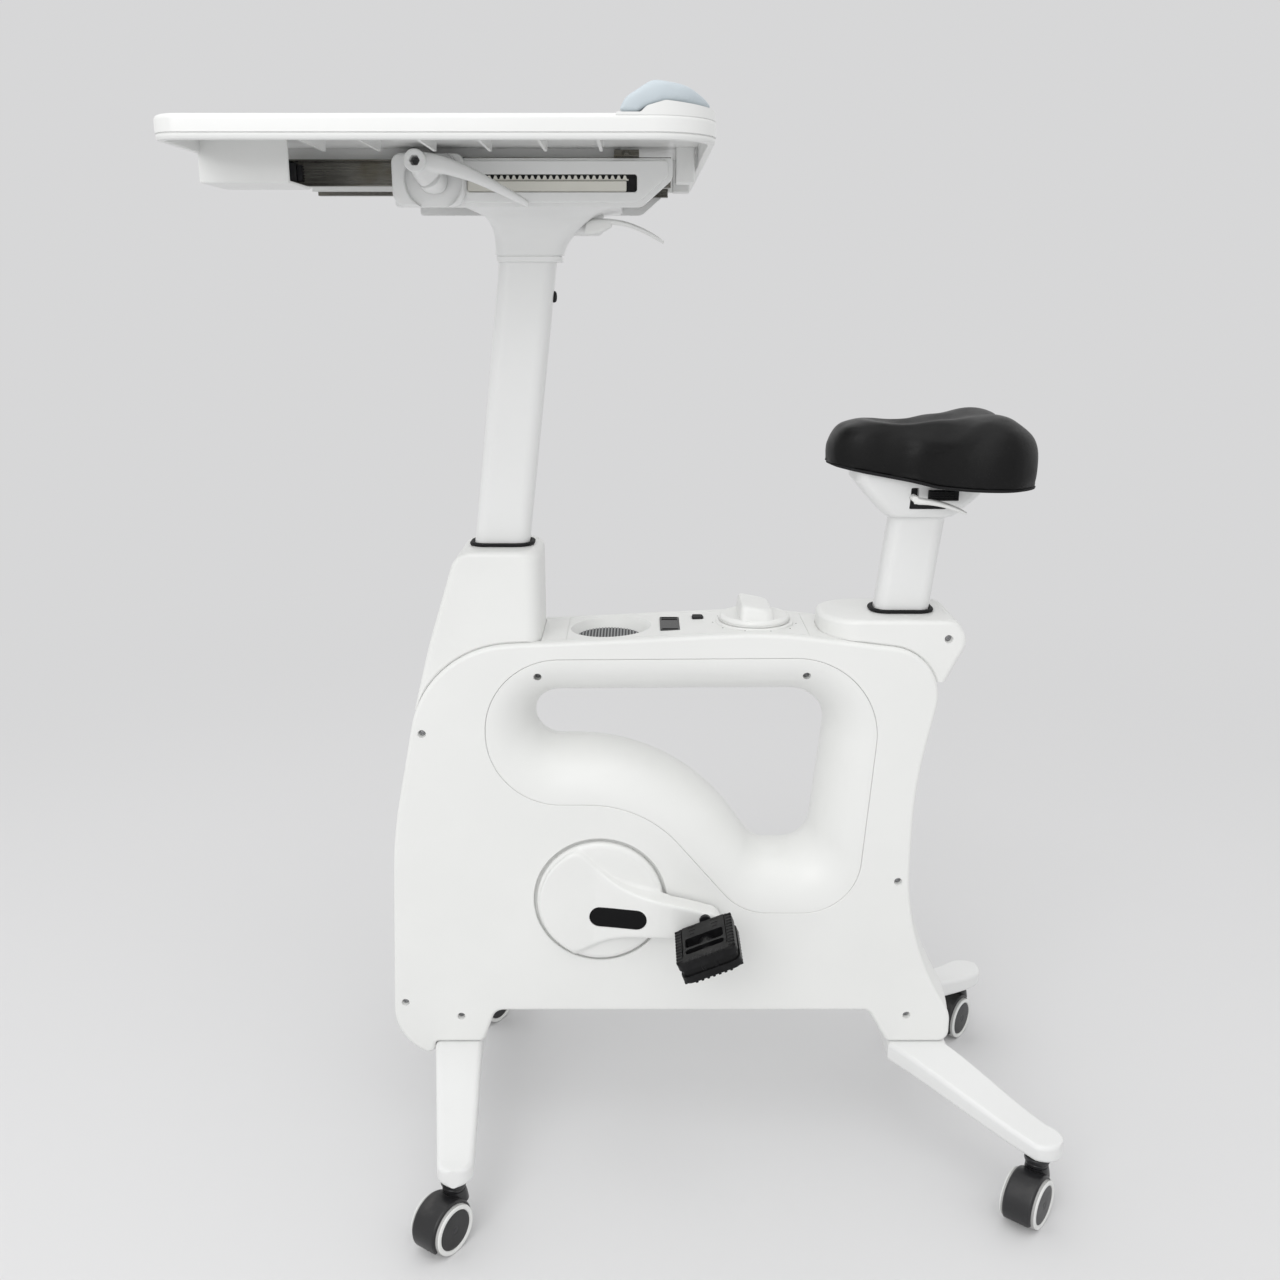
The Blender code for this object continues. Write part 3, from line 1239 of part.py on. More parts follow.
def desk_outline(inset):
    """Plan of the desktop, drawn in by an inset."""
    front = DESK_FRONT + inset
    back = DESK_BACK - inset
    half = DESK_HALF - inset
    corners = [
        (front, -half, DESK_FRONT_ROUND - inset),
        (back, -half, DESK_BACK_ROUND - inset),
        (back, half, DESK_BACK_ROUND - inset),
        (front, half, DESK_FRONT_ROUND - inset),
    ]
    return rounded(corners, 8)


def desk_half_at(x, inset):
    """Half width of the desktop's plan at one x."""
    reach = DESK_FRONT + DESK_FRONT_ROUND - x
    if reach <= 0.0:
        return DESK_HALF - inset
    radius = DESK_FRONT_ROUND - inset
    return DESK_HALF - DESK_FRONT_ROUND + math.sqrt(max(0.0, radius ** 2 - reach ** 2))


def make_desktop():
    """Hollow desktop with a skirt, ribs, rails for the slides and a raised rim at the user's edge."""
    rings = [
        (SKIRT_THICK, DESK_CEILING), (SKIRT_THICK, SKIRT_BOTTOM + 1.0), (SKIRT_THICK - 1.0, SKIRT_BOTTOM),
        (2.5, SKIRT_BOTTOM), (0.0, SKIRT_BOTTOM + 3.0), (0.0, DESK_TOP - 5.0), (1.4, DESK_TOP - 1.6),
        (5.0, DESK_TOP),
    ]
    body = loft([level_loop(desk_outline(inset), z) for inset, z in rings])
    piece = add_object("desktop", body, "white_plastic")
    into = DESK_CEILING + 1.0
    for index in range(RIB_COUNT):
        x = RIB_START + RIB_PITCH * index
        end = desk_half_at(x - RIB_THICK, SKIRT_THICK) - RIB_END_GAP
        for side in (-1.0, 1.0):
            join(piece, block(x, x + RIB_THICK, side * RIB_INNER_Y, side * end, RIB_BOTTOM, into))
    for side in (-1.0, 1.0):
        join(piece, block(RAIL_FRONT - RAIL_OVERLAP, RAIL_BACK, side * RAIL_INNER_Y, side * RAIL_OUTER_Y,
                          RAIL_BOTTOM, into))
        join(piece, block(*BACK_BOX_X, side * BACK_BOX_INNER_Y, side * BRACKET_INNER, BACK_BOX_BOTTOM, into))
    start, end = FRONT_TRAY_X
    outer, inner = FRONT_TRAY_Y
    tray = helper(block(start, end, outer, inner, FRONT_TRAY_BOTTOM, into))
    room = helper(block(start + FRONT_TRAY_WALL, end + 10.0, outer + FRONT_TRAY_WALL, inner + 10.0,
                        FRONT_TRAY_BOTTOM + FRONT_TRAY_WALL, into + 5.0))
    combine(tray, room, "DIFFERENCE")
    combine(piece, tray, "UNION")
    rim = helper(prism(rounded(DESK_RIM_CORNERS), -DESK_HALF - 9.0, DESK_HALF + 9.0))
    limit = helper(loft([level_loop(desk_outline(0.6), z) for z in (DESK_TOP - 40.0, DESK_TOP + 60.0)]))
    combine(rim, limit, "INTERSECT")
    combine(piece, rim, "UNION")


def make_wrist_pad():
    """Pad that lies over the raised rim."""
    pad = add_object("wrist_pad", prism(rounded(WRIST_PAD_CORNERS), -DESK_HALF, DESK_HALF), "grey_pad")
    rings = [(4.0, DESK_TOP - 5.0), (4.0, DESK_TOP + 14.0), (6.0, DESK_TOP + 30.0)]
    combine(pad, helper(loft([level_loop(desk_outline(inset), z) for inset, z in rings])), "INTERSECT")


def saddle_underside(x):
    """Height of the saddle's underside."""
    return SADDLE_BASE + max(0.0, SADDLE_FLAT_X - x) * SADDLE_NOSE_SLOPE


def make_seat_bracket():
    """Flared bracket on the seat column that carries the saddle."""
    axis = (SEAT_AXIS_X, REAR_HOOD_TOP)
    pivot = (lean_at(axis, SEAT_HEAD_BOTTOM), 0.0, SEAT_HEAD_BOTTOM)
    piece = add_object("seat_bracket", tower(SEAT_BRACKET_SECTIONS), "white_paint", pivot)
    line = [Vector((x, saddle_underside(x) - GAP)) for x in (SEAT_CUT_START, SADDLE_FLAT_X, SEAT_CUT_END)]
    above = [Vector((SEAT_CUT_END, SEAT_CUT_TOP)), Vector((SEAT_CUT_START, SEAT_CUT_TOP))]
    cut(piece, prism(line + above, -SEAT_CUT_HALF, SEAT_CUT_HALF), pivot)
    socket = [leaning_ring(axis, z, GAP) for z in (SEAT_HEAD_BOTTOM - 5.0, SEAT_SOCKET_TOP)]
    cut(piece, loft(socket), pivot)
    x, z = SEAT_LEVER_PIVOT
    hole = rod(SEAT_LEVER_PIN_R + GAP, -SEAT_LEVER_PIN_START + GAP, -SEAT_LEVER_HUB_END, sides=16)
    cut(piece, placed(hole, x, 0.0, z), pivot)


def curve_point(points, index, share):
    """Point on the smooth curve between two points of an open list."""
    last = len(points) - 1
    a = Vector(points[max(index - 1, 0)])
    b = Vector(points[index])
    c = Vector(points[min(index + 1, last)])
    d = Vector(points[min(index + 2, last)])
    return 0.5 * (2.0 * b + (c - a) * share + (2.0 * a - 5.0 * b + 4.0 * c - d) * share ** 2
                  + (3.0 * b - a - 3.0 * c + d) * share ** 3)


def saddle_top(x, y):
    """Height of the saddle's crown, lower at its groove, its sides and the hollows for the thighs."""
    height = SADDLE_TOPS[0][1] if x < SADDLE_TOPS[0][0] else SADDLE_TOPS[-1][1]
    for (x0, z0), (x1, z1) in zip(SADDLE_TOPS, SADDLE_TOPS[1:]):
        if x0 <= x <= x1:
            ease = 0.5 - 0.5 * math.cos(math.pi * (x - x0) / (x1 - x0))
            height = z0 + (z1 - z0) * ease
    groove = SADDLE_GROOVE * math.exp(-(y / SADDLE_GROOVE_HALF) ** 2)
    droop = SADDLE_DROOP * (y / SADDLE_HALF) ** 4
    out = (abs(y) - SADDLE_HOLLOW_START) / (SADDLE_HOLLOW_END - SADDLE_HOLLOW_START)
    out = min(1.0, max(0.0, out))
    along = math.exp(-((x - SADDLE_HOLLOW_X) / SADDLE_HOLLOW_LENGTH) ** 2)
    return height - groove - droop - SADDLE_HOLLOW * along * out * out * (3.0 - 2.0 * out)


def make_saddle():
    """Padded saddle with drawn-in sides, a crown and a middle groove."""
    half = []
    for index in range(len(SADDLE_PLAN) - 1):
        for share in (0.0, 0.5):
            half.append(curve_point(SADDLE_PLAN, index, share))
    half.append(Vector(SADDLE_PLAN[-1]))
    mirrored = [Vector((point.x, -point.y)) for point in half[1:-1]]
    plan = mirrored + half[::-1]
    middle = Vector((SADDLE_MIDDLE, 0.0))
    loops = []
    for share, rise in SADDLE_RINGS:
        ring = []
        for point in plan:
            spot = middle.lerp(point, share)
            low = saddle_underside(spot.x)
            ring.append(Vector((spot.x, spot.y, low + (saddle_top(spot.x, spot.y) - low) * rise)))
        loops.append(ring)
    add_object("saddle", loft(loops), "black_leather", (SADDLE_MIDDLE, 0.0, SADDLE_BASE))


def leg_stations(rails, tip_angles=(0.0, 25.0, 48.0, 66.0, 80.0)):
    """Left point, right point and height share of a leg's sections, from its root to its round tip."""
    (left_root, right_root), tips = rails
    left_tip, right_tip = [Vector(tip) for tip in tips]
    stations = []
    for y in (GAP / 2.0, LEG_STRAIGHT):
        stations.append((Vector((left_root, y)), Vector((right_root, y)), 0.0))
    left_start = stations[1][0]
    right_start = stations[1][1]
    for share in (0.35, 0.7):
        stations.append((left_start.lerp(left_tip, share), right_start.lerp(right_tip, share), share))
    across = (right_tip - left_tip) / 2.0
    centre = left_tip + across
    forward = Vector((-across.y, across.x))
    for degrees in tip_angles:
        angle = math.radians(degrees)
        middle = centre + forward * math.sin(angle)
        reach = across * math.cos(angle)
        stations.append((middle - reach, middle + reach, 1.0))
    return stations


def make_leg(name, side, rails, boss, stem):
    """Leg with the boss that carries the beam and the socket of its caster."""
    loops = []
    for left, right, share in leg_stations(rails):
        top = LEG_ROOT_TOP + (LEG_TIP_TOP - LEG_ROOT_TOP) * share
        bottom = LEG_ROOT_BOTTOM + (LEG_TIP_BOTTOM - LEG_ROOT_BOTTOM) * share
        width = (right - left).length
        run = (right - left) / width
        radius = min(LEG_EDGE, width * 0.4)
        ring = rect_ring(0.0, width, bottom, top, radius, 2)
        loops.append([
            Vector((left.x + run.x * point.x, side * (left.y + run.y * point.x), point.y)) for point in ring
        ])
    piece = add_object(name, loft(loops), "white_paint")
    lower = LEG_ROOT_BOTTOM + 8.0
    join(piece, block(boss[0], boss[1], side * GAP / 2.0, side * BOSS_HALF, lower, BOSS_TOP))
    socket = rod(STEM_R + GAP, LEG_TIP_BOTTOM - 10.0, LEG_TIP_BOTTOM + STEM_DEPTH + GAP, "Z", 20)
    cut(piece, placed(socket, stem[0], side * stem[1], 0.0))


def make_legs():
    """Four legs: two across the front and two spread at the rear."""
    front = (FRONT_LEG_ROOT, FRONT_LEG_TIP)
    rear = (REAR_LEG_ROOT, REAR_LEG_TIP)
    for side_name, side in (("near", -1.0), ("far", 1.0)):
        make_leg("leg_front_" + side_name, side, front, FRONT_BOSS, FRONT_STEM)
        make_leg("leg_rear_" + side_name, side, rear, REAR_BOSS, REAR_STEM)


def make_caster(name, stem, yaw):
    """Twin-wheel caster: a hooded fork turning in the leg and its pair of wheels."""
    x, y = stem
    pivot = (x, y, CASTER_TOP)
    axle_z = WHEEL_R
    hood = [
        Vector((CASTER_TRAIL + HOOD_R * math.cos(angle), axle_z + HOOD_R * math.sin(angle)))
        for angle in [math.radians(-8.0 + 196.0 * step / 16.0) for step in range(17)]
    ]
    hood = placed(prism(hood, -HOOD_SIDE, HOOD_SIDE), x, y, 0.0, yaw)
    fork = add_object(name + "_fork", hood, "black_plastic", pivot)
    post = [
        (CASTER_POST_R, axle_z + 8.0), (CASTER_POST_R, CASTER_TOP - 8.0), (CASTER_COLLAR_R, CASTER_TOP - 5.0),
        (CASTER_COLLAR_R, CASTER_TOP), (STEM_R, CASTER_TOP), (STEM_R, LEG_TIP_BOTTOM + STEM_DEPTH),
    ]
    join(fork, placed(turned(post, "Z", 16), x, y), pivot)
    for side in (-1.0, 1.0):
        room = rod(HOOD_CLEAR_R, side * WEB_HALF, side * (WHEEL_OUTER + 5.0))
        cut(fork, placed(placed(room, CASTER_TRAIL, 0.0, axle_z), x, y, 0.0, yaw), pivot)
    bore = rod(WHEEL_AXLE_R + GAP, -4.0, 4.0, sides=16)
    cut(fork, placed(placed(bore, CASTER_TRAIL, 0.0, axle_z), x, y, 0.0, yaw), pivot)
    inner = WEB_HALF + GAP
    wheel = []
    for side in (-1.0, 1.0):
        half = [
            (WHEEL_R - 4.0, WHEEL_OUTER), (WHEEL_R, WHEEL_OUTER - 3.0), (WHEEL_R, inner + 2.0),
            (WHEEL_R - 2.0, inner), (WHEEL_AXLE_R, inner),
        ]
        wheel += [(radius, side * along) for radius, along in (half if side < 0.0 else half[::-1])]
    axle_x = x + CASTER_TRAIL * math.cos(yaw)
    axle_y = y + CASTER_TRAIL * math.sin(yaw)
    pair = placed(turned(wheel), axle_x, axle_y, axle_z, yaw)
    add_object(name + "_wheels", pair, "wheel_grey", (axle_x, axle_y, axle_z))


def main():
    """Build every piece."""
    start_empty_scene()
    make_base_beam()
    make_columns()
    for side_name, side in (("near", -1.0), ("far", 1.0)):
        make_shell("shell_" + side_name, side)
        make_grip_ring("handle_ring_" + side_name, side)
        make_bracket(side_name, side)
        make_slide(side_name, side)
        turn = CRANK_TILT if side < 0.0 else CRANK_TILT + math.pi
        make_crank(side_name, side, turn)
        make_pedal(side_name, side, turn)
        make_caster("caster_front_" + side_name, (FRONT_STEM[0], side * FRONT_STEM[1]), FRONT_CASTER_YAW)
        make_caster("caster_rear_" + side_name, (REAR_STEM[0], side * REAR_STEM[1]), REAR_CASTER_YAW)
    make_end_covers()
    make_top_panel()
    make_controls()
    make_drive()
    make_magnet_arm()
    make_desk_head()
    make_clamp_lever()
    make_height_lever()
    make_desktop()
    make_wrist_pad()
    make_seat_bracket()
    make_seat_lever()
    make_saddle()
    make_legs()


main()
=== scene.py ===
"""Looks of the desk exercise bike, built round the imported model. Runs in Blender 4.5."""
import json
import math

import bmesh
import bpy
from mathutils import Matrix, Vector


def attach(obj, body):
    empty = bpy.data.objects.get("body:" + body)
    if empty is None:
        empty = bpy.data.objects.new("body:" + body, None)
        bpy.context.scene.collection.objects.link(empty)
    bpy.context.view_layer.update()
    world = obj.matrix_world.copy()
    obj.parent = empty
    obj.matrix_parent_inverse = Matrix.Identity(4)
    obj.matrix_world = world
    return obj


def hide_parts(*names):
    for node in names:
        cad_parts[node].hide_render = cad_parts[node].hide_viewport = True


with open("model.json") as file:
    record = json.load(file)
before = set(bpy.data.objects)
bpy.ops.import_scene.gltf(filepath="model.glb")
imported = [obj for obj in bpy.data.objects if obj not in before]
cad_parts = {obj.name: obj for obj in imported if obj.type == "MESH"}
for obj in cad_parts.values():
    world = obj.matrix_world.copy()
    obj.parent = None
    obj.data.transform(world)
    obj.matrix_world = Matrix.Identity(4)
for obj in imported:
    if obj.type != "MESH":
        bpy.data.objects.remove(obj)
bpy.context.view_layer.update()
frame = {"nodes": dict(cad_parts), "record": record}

bl_info = {
    "name": "Desk exercise bike",
    "version": (1, 0, 0),
    "blender": (4, 5, 0),
    "location": "3D View > Sidebar > Desk bike",
    "description": "Builds the pieces and finishes of a desk exercise bike",
    "category": "Object",
}

# Lengths are millimetres. X runs from the desktop's far edge to the saddle.
MM = 0.001
MIDDLE_X = 37.45
GAP = 0.3
WALL = 2.6
SIDES = (("near", -1.0), ("far", 1.0))
FINE_ARC = math.radians(5.0)
ROUND_SIDES = 96
SQUARENESS = 0.75
FOUR_CORNERS = [(a, b) for a in (-1.0, 1.0) for b in (-1.0, 1.0)]

# Housing
HOUSING_HALF = 64.6
RIM_HALF = 52.0
HOOD_HALF = 58.0
SHOE_FLOOR = 139.0
HOUSING_FLOOR = 183.0
HOUSING_TOP = 673.0
PANEL_THICK = 4.0
FRONT_HOOD_TOP = 766.0
FRONT_HOOD_BACK = -115.5
REAR_HOOD_TOP = 686.0
REAR_HOOD_START = 212.0
REAR_CROWN = 7.0
NOSE_ROUND = 46.0
HOOD_EDGE = 5.5
WELL_DEPTH = 6.4
FRONT_BOSS = (-250.0, -206.0)
REAR_BOSS = (316.0, 350.0)
BOSS_HALF = 28.0

# Columns
LEAN = math.radians(6.7)
COLUMN_X = 64.0
COLUMN_Y = 40.0
COLUMN_ROUND = 14.0
COLUMN_WALL = 2.5
SLEEVE_ROOM = 3.0
DESK_AXIS = (-162.0, FRONT_HOOD_TOP)
SEAT_AXIS = (311.0, REAR_HOOD_TOP)
HEAD_NECK_BOTTOM = 1084.0
SEAT_HEAD_BOTTOM = 801.0

# Crank and pedals
CRANK = (-48.5, 0.0, 335.5)
CRANK_LENGTH = 129.0
CRANK_DROP = 14.0
CRANK_TILT = math.radians(3.0)
CRANK_TIP_R = 19.0
PLUG_X = (-12.0, 57.0)
PLUG_R = 12.5
PLUG_RISE = 0.08
RECESS_R = 81.0
PEDAL_START = 101.0
PEDAL_LENGTH = 86.0
PEDAL_WIDTH = 75.0
PEDAL_THICK = 31.0
PEDAL_TILT = math.radians(-22.0)
TREAD_PITCH = 7.0

# Controls
PANEL_STEPS = 56
PANEL_SEAMS = (-86.0, 197.0)
CUP_X = -36.5
CUP_R = 50.0
CUP_DEPTH = 13.0
MAT_RIBS = 20
MAT_START = -36.1
MAT_PITCH = 3.8
DISPLAY_X = 35.5
BUTTON_X = 70.0
BUTTON_Y = 25.0
KNOB_X = 137.0
KNOB_R = 42.0
MARK_COUNT = 8
MARK_FIRST = -212.0
MARK_SWEEP = 245.0
MARK_CIRCLE = 50.0

# Desktop, its brackets and levers
DESK_TOP = 1200.0
DESK_FRONT = -421.0
DESK_BACK = 68.0
DESK_HALF = 323.0
DESK_FRONT_ROUND = 25.0
DESK_BACK_ROUND = 57.0
DESK_CEILING = 1196.8
SKIRT_BOTTOM = 1178.5
RAIL = (-375.0, -20.0, 60.3, 64.3, 1163.0)
RIB_COUNT = 6
RIB_START = -315.0
RIB_PITCH = 55.0
TRAY = (-416.0, -331.0, -209.0, -126.0, 1151.5)
TOOTH_COUNT = 26
TOOTH_PITCH = 6.4
BRACKET_INNER = 77.4
CLAMP_PIVOT = (-213.0, 1164.0)
CLAMP_HUB = (-226.5, 1180.0)
HEIGHT_PIVOT = (-52.0, 1121.0)
SEAT_LEVER_PIVOT = (312.0, 826.0)

# Legs and casters; the pairs are for the underside and the top
LEG_ROOT = (113.0, 138.7)
LEG_DROP = (37.5, 40.7)
FRONT_STEM = (-213.0, 239.0)
REAR_STEM = (467.0, 198.0)
WHEEL_R = 29.0
HOOD_R = 32.4
CASTER_TRAIL = 22.0
CASTER_TOP = 75.2
CASTER_HALF = 17.6
FRONT_YAW = math.radians(-124.8)
REAR_YAW = math.radians(-129.5)

# Camera
CAMERA_PLACE = (-MIDDLE_X * MM, -1.48865, 1.0545)
CAMERA_PITCH = math.radians(74.7)

# Outlines seen from the near side: (x, z, corner radius)
SHELL_CORNERS = [
    (-258.0, 117.0, 9.0), (-258.0, SHOE_FLOOR, 5.0), (-197.0, SHOE_FLOOR, 9.0),
    (-181.0, HOUSING_FLOOR, 14.0), (286.0, HOUSING_FLOOR, 12.0), (311.0, SHOE_FLOOR, 9.0),
    (389.0, SHOE_FLOOR, 14.0), (389.0, 178.0, 40.0),
    (328.0, 283.0, 355.0), (328.0, 479.0, 590.0), (361.0, 647.0, 62.0), (150.0, HOUSING_TOP, 500.0),
    (-250.0, 654.0, 125.0), (-297.6, 418.0, 600.0), (-309.5, 145.0, 66.0),
]
OPENING_CORNERS = [
    (-127.0, 527.0, 31.0), (46.0, 527.0, 235.0), (141.0, 387.0, 34.0),
    (208.0, 387.0, 36.0), (229.0, 592.0, 46.0), (-127.0, 590.0, 31.0),
]
RING_CORNERS = [
    (-182.0, 460.0, 88.0), (4.0, 460.0, 139.0), (124.0, 318.0, 70.0),
    (263.0, 318.0, 70.0), (287.0, 643.0, 98.0), (-182.0, 640.0, 88.0),
]
FRONT_HOOD_CORNERS = [
    (FRONT_HOOD_BACK, 575.0, 2.0), (FRONT_HOOD_BACK, FRONT_HOOD_TOP, 12.0), (-211.0, FRONT_HOOD_TOP, 26.0),
    (-246.0, 655.0, 300.0), (-266.5, 575.0, 2.0),
]
REAR_HOOD_CORNERS = [
    (REAR_HOOD_START, 610.0, 2.0), (342.0, 600.0, 2.0), (353.0, 600.0, 2.0), (383.0, 661.0, 22.0),
    (368.0, REAR_HOOD_TOP, 15.0), (REAR_HOOD_START, REAR_HOOD_TOP, 6.0),
]
BRACKET_CORNERS = [
    (-255.0, 1137.5, 4.0), (2.0, 1137.5, 14.0), (34.0, 1165.0, 10.0), (34.0, 1186.0, 4.0),
    (-255.0, 1186.0, 4.0),
]
BRACKET_FACE = [
    (-252.0, 1142.0, 4.0), (-2.0, 1142.0, 11.0), (29.5, 1168.0, 9.0), (29.5, 1183.5, 4.0),
    (-252.0, 1183.5, 4.0),
]
BRACKET_SLOT = [(-180.0, 1152.4, 3.0), (-3.0, 1152.4, 3.0), (-3.0, 1170.0, 3.0), (-180.0, 1170.0, 3.0)]
END_BLOCK_CORNERS = [
    (-256.0, 1138.0, 14.0), (-181.0, 1138.0, 14.0), (-181.0, 1190.0, 10.0), (-256.0, 1190.0, 10.0),
]
DESK_RIM_CORNERS = [
    (-21.0, 1198.0, 0.5), (80.0, 1198.0, 0.5), (80.0, 1205.3, 0.5), (22.0, 1210.0, 9.0), (6.0, 1205.5, 9.0),
    (0.5, 1200.5, 3.0), (-20.0, 1200.5, 0.2),
]
WRIST_PAD_CORNERS = [
    (-19.0, 1200.8, 0.6), (-1.8, 1200.8, 3.0), (5.8, 1206.0, 9.0), (22.0, 1210.4, 9.0),
    (63.0, 1207.0, 0.6), (64.0, 1210.5, 1.5), (40.0, 1223.5, 30.0), (11.0, 1227.4, 3.0), (-12.5, 1213.0, 9.0),
]
SEAT_SLOT = [
    (309.0, 811.5, 1.5), (351.0, 811.5, 1.5), (351.0, 816.0, 1.5), (318.0, 817.0, 1.0),
    (318.0, 837.0, 1.5), (309.0, 837.0, 1.5),
]
SHELL_SCREWS = [(-257.0, 550.0), (314.0, 360.0), (-293.0, 195.0), (-224.0, 175.6), (334.0, 177.0)]
RING_SCREWS = [(-119.5, 619.0), (194.8, 619.7)]
HOOD_SCREW = (358.0, 664.0)

# Sections of upright forms: (z, x0, x1, half width, corner radius)
HEAD_SECTIONS = [
    (1091.6, -159.8, -84.2, 24.8, 14.0), (1096.0, -159.6, -83.4, 25.0, 14.0),
    (1106.0, -159.4, -79.0, 26.6, 14.0), (1114.0, -160.0, -72.0, 30.0, 13.0),
    (1122.0, -162.0, -63.0, 36.0, 12.0), (1130.0, -166.5, -52.0, 46.0, 10.0),
    (1135.0, -173.0, -40.0, 60.0, 8.0), (1138.0, -183.0, -24.0, 75.0, 6.0),
    (1140.0, -185.0, -20.0, 77.0, 5.0),
]
MOUNT_SECTIONS = [
    (SEAT_HEAD_BOTTOM, 286.6, 362.4, 25.8, 13.0), (801.6, 285.4, 363.6, 27.0, 14.0),
    (806.0, 280.0, 369.6, 29.6, 14.0), (824.0, 263.0, 387.6, 35.6, 14.0), (843.0, 247.5, 402.0, 39.6, 14.0),
    (866.0, 246.0, 404.0, 40.5, 14.0),
]
SADDLE_PLAN = [
    (206.0, 0.0), (214.0, 28.0), (240.0, 47.0), (275.0, 54.0), (305.0, 62.0), (335.0, 88.0),
    (370.0, 110.0), (410.0, 113.0), (440.0, 90.0), (450.0, 60.0), (444.0, 28.0), (436.0, 0.0),
]
SADDLE_RINGS = [
    (0.9, 0.0), (0.972, 0.04), (0.995, 0.16), (1.0, 0.36), (0.996, 0.6), (0.972, 0.79), (0.92, 0.915),
    (0.82, 0.972), (0.66, 0.995), (0.45, 1.0), (0.25, 1.0), (0.08, 1.0),
]
SADDLE_TOPS = [(206.0, 900.0), (232.0, 913.0), (300.0, 909.0), (345.0, 914.0), (395.0, 920.0), (450.0, 908.0)]
SADDLE_MIDDLE = 345.0
CREASE_X = 322.0
SADDLE_BASE = 841.0

# Grip of the knob above its seat: (rise, x0, x1, half width, corner radius)
GRIP_ROWS = [
    (5.0, -19.6, 21.0, 38.6, 12.0), (12.0, -19.2, 20.4, 37.6, 12.0), (19.0, -18.6, 19.6, 36.4, 12.0),
    (23.6, -18.0, 18.6, 34.6, 12.0), (25.8, -16.8, 17.2, 32.6, 11.0), (27.0, -14.0, 14.6, 29.4, 9.0),
]


# Shapes

def rounded(corners, per_corner=None):
    """Outline of a polygon whose corners (a, b, radius) are rounded by arcs."""
    points = []
    count = len(corners)
    for index, (a, b, radius) in enumerate(corners):
        here = Vector((a, b))
        before = (Vector(corners[index - 1][:2]) - here).normalized()
        after = (Vector(corners[(index + 1) % count][:2]) - here).normalized()
        opening = before.angle(after)
        centre = here + (before + after).normalized() * (radius / math.sin(opening / 2.0))
        first = here + before * (radius / math.tan(opening / 2.0)) - centre
        sweep = math.pi - opening
        steps = per_corner or max(2, math.ceil(sweep / FINE_ARC), math.ceil(sweep * radius / 14.0))
        way = 1.0 if before.x * after.y - before.y * after.x < 0.0 else -1.0
        for step in range(steps + 1):
            angle = way * sweep * step / steps
            turn = Matrix.Rotation(angle, 2)
            points.append(centre + turn @ first)
    return points


def offset(points, distance):
    """Move a closed anticlockwise outline outwards by a distance."""
    moved = []
    count = len(points)
    for index, here in enumerate(points):
        into = (here - points[index - 1]).normalized()
        out = (points[(index + 1) % count] - here).normalized()
        normal = Vector((into.y + out.y, -into.x - out.x)).normalized()
        widening = max(0.35, normal.dot(Vector((into.y, -into.x))))
        moved.append(here + normal * (distance / widening))
    return moved


def stretch_of(points, start, end):
    """Part of a closed outline, from the point nearest to start on to the one nearest to end."""
    def nearest(target):
        return min(range(len(points)), key=lambda i: (points[i] - Vector(target)).length)
    first = nearest(start)
    count = (nearest(end) - first) % len(points) + 1
    return [points[(first + step) % len(points)] for step in range(count)]


def side_loop(points, y):
    """A ring of (x, z) points placed at one y."""
    return [Vector((point.x, y, point.y)) for point in points]


def level_loop(points, z):
    """A ring of (x, y) points placed at one height."""
    return [Vector((point.x, point.y, z)) for point in points]


def loft(loops, closed=False):
    """Skin through rings of equal count, with flat ends unless it closes on itself."""
    bm = bmesh.new()
    rings = [[bm.verts.new(point) for point in loop] for loop in loops]
    size = len(rings[0])
    pairs = list(zip(rings, rings[1:]))
    if closed:
        pairs.append((rings[-1], rings[0]))
    for lower, upper in pairs:
        for index in range(size):
            following = (index + 1) % size
            bm.faces.new((lower[index], lower[following], upper[following], upper[index]))
    if not closed:
        bm.faces.new(rings[0])
        bm.faces.new(rings[-1])
    bmesh.ops.remove_doubles(bm, verts=bm.verts, dist=0.004)
    return bm


def prism(points, y0, y1):
    """Straight prism of an (x, z) outline across y."""
    return loft([side_loop(points, y0), side_loop(points, y1)])


def flared(outline, levels, side=1.0):
    """Prism of an outline across y through (y, growth) levels."""
    return loft([side_loop(offset(outline, grow), side * y) for y, grow in levels])


def block(x0, x1, y0, y1, z0, z1):
    """Box between two corners."""
    corners = [Vector((x0, z0)), Vector((x1, z0)), Vector((x1, z1)), Vector((x0, z1))]
    return prism(corners, y0, y1)


def soft_block(x0, x1, y0, y1, z0, z1, edge):
    """Box across y whose long edges and two ends are rounded."""
    outline = rounded([(x0, z0, edge), (x1, z0, edge), (x1, z1, edge), (x0, z1, edge)], 4)
    low, high = sorted((y0, y1))
    half = (high - low) / 2.0
    return loft(pillow_loops(outline, half, min(edge * 0.9, half * 0.9), 3, (low + high) / 2.0))


def pillow_loops(outline, half, edge, steps, middle=0.0):
    """Rings of a plate across y about its middle, with both rims rounded."""
    bends = list(rim_bends(half, edge, steps))
    loops = [side_loop(offset(outline, -inset), middle - y) for inset, y in bends]
    return loops + [side_loop(offset(outline, -inset), middle + y) for inset, y in reversed(bends)]


def rect_ring(x0, x1, y0, y1, first_round, last_round=None, per_corner=8):
    """Rounded rectangle; the corners at x0 and at x1 may differ."""
    last = first_round if last_round is None else last_round
    corners = [(x0, y0, first_round), (x1, y0, last), (x1, y1, last), (x0, y1, first_round)]
    return rounded(corners, per_corner)


def tower(sections, y=0.0, per_corner=8):
    """Upright form through rounded rectangles (z, x0, x1, half width, corner radius)."""
    return loft([
        level_loop(rect_ring(x0, x1, y - half, y + half, radius, None, per_corner), z)
        for z, x0, x1, half, radius in sections
    ])


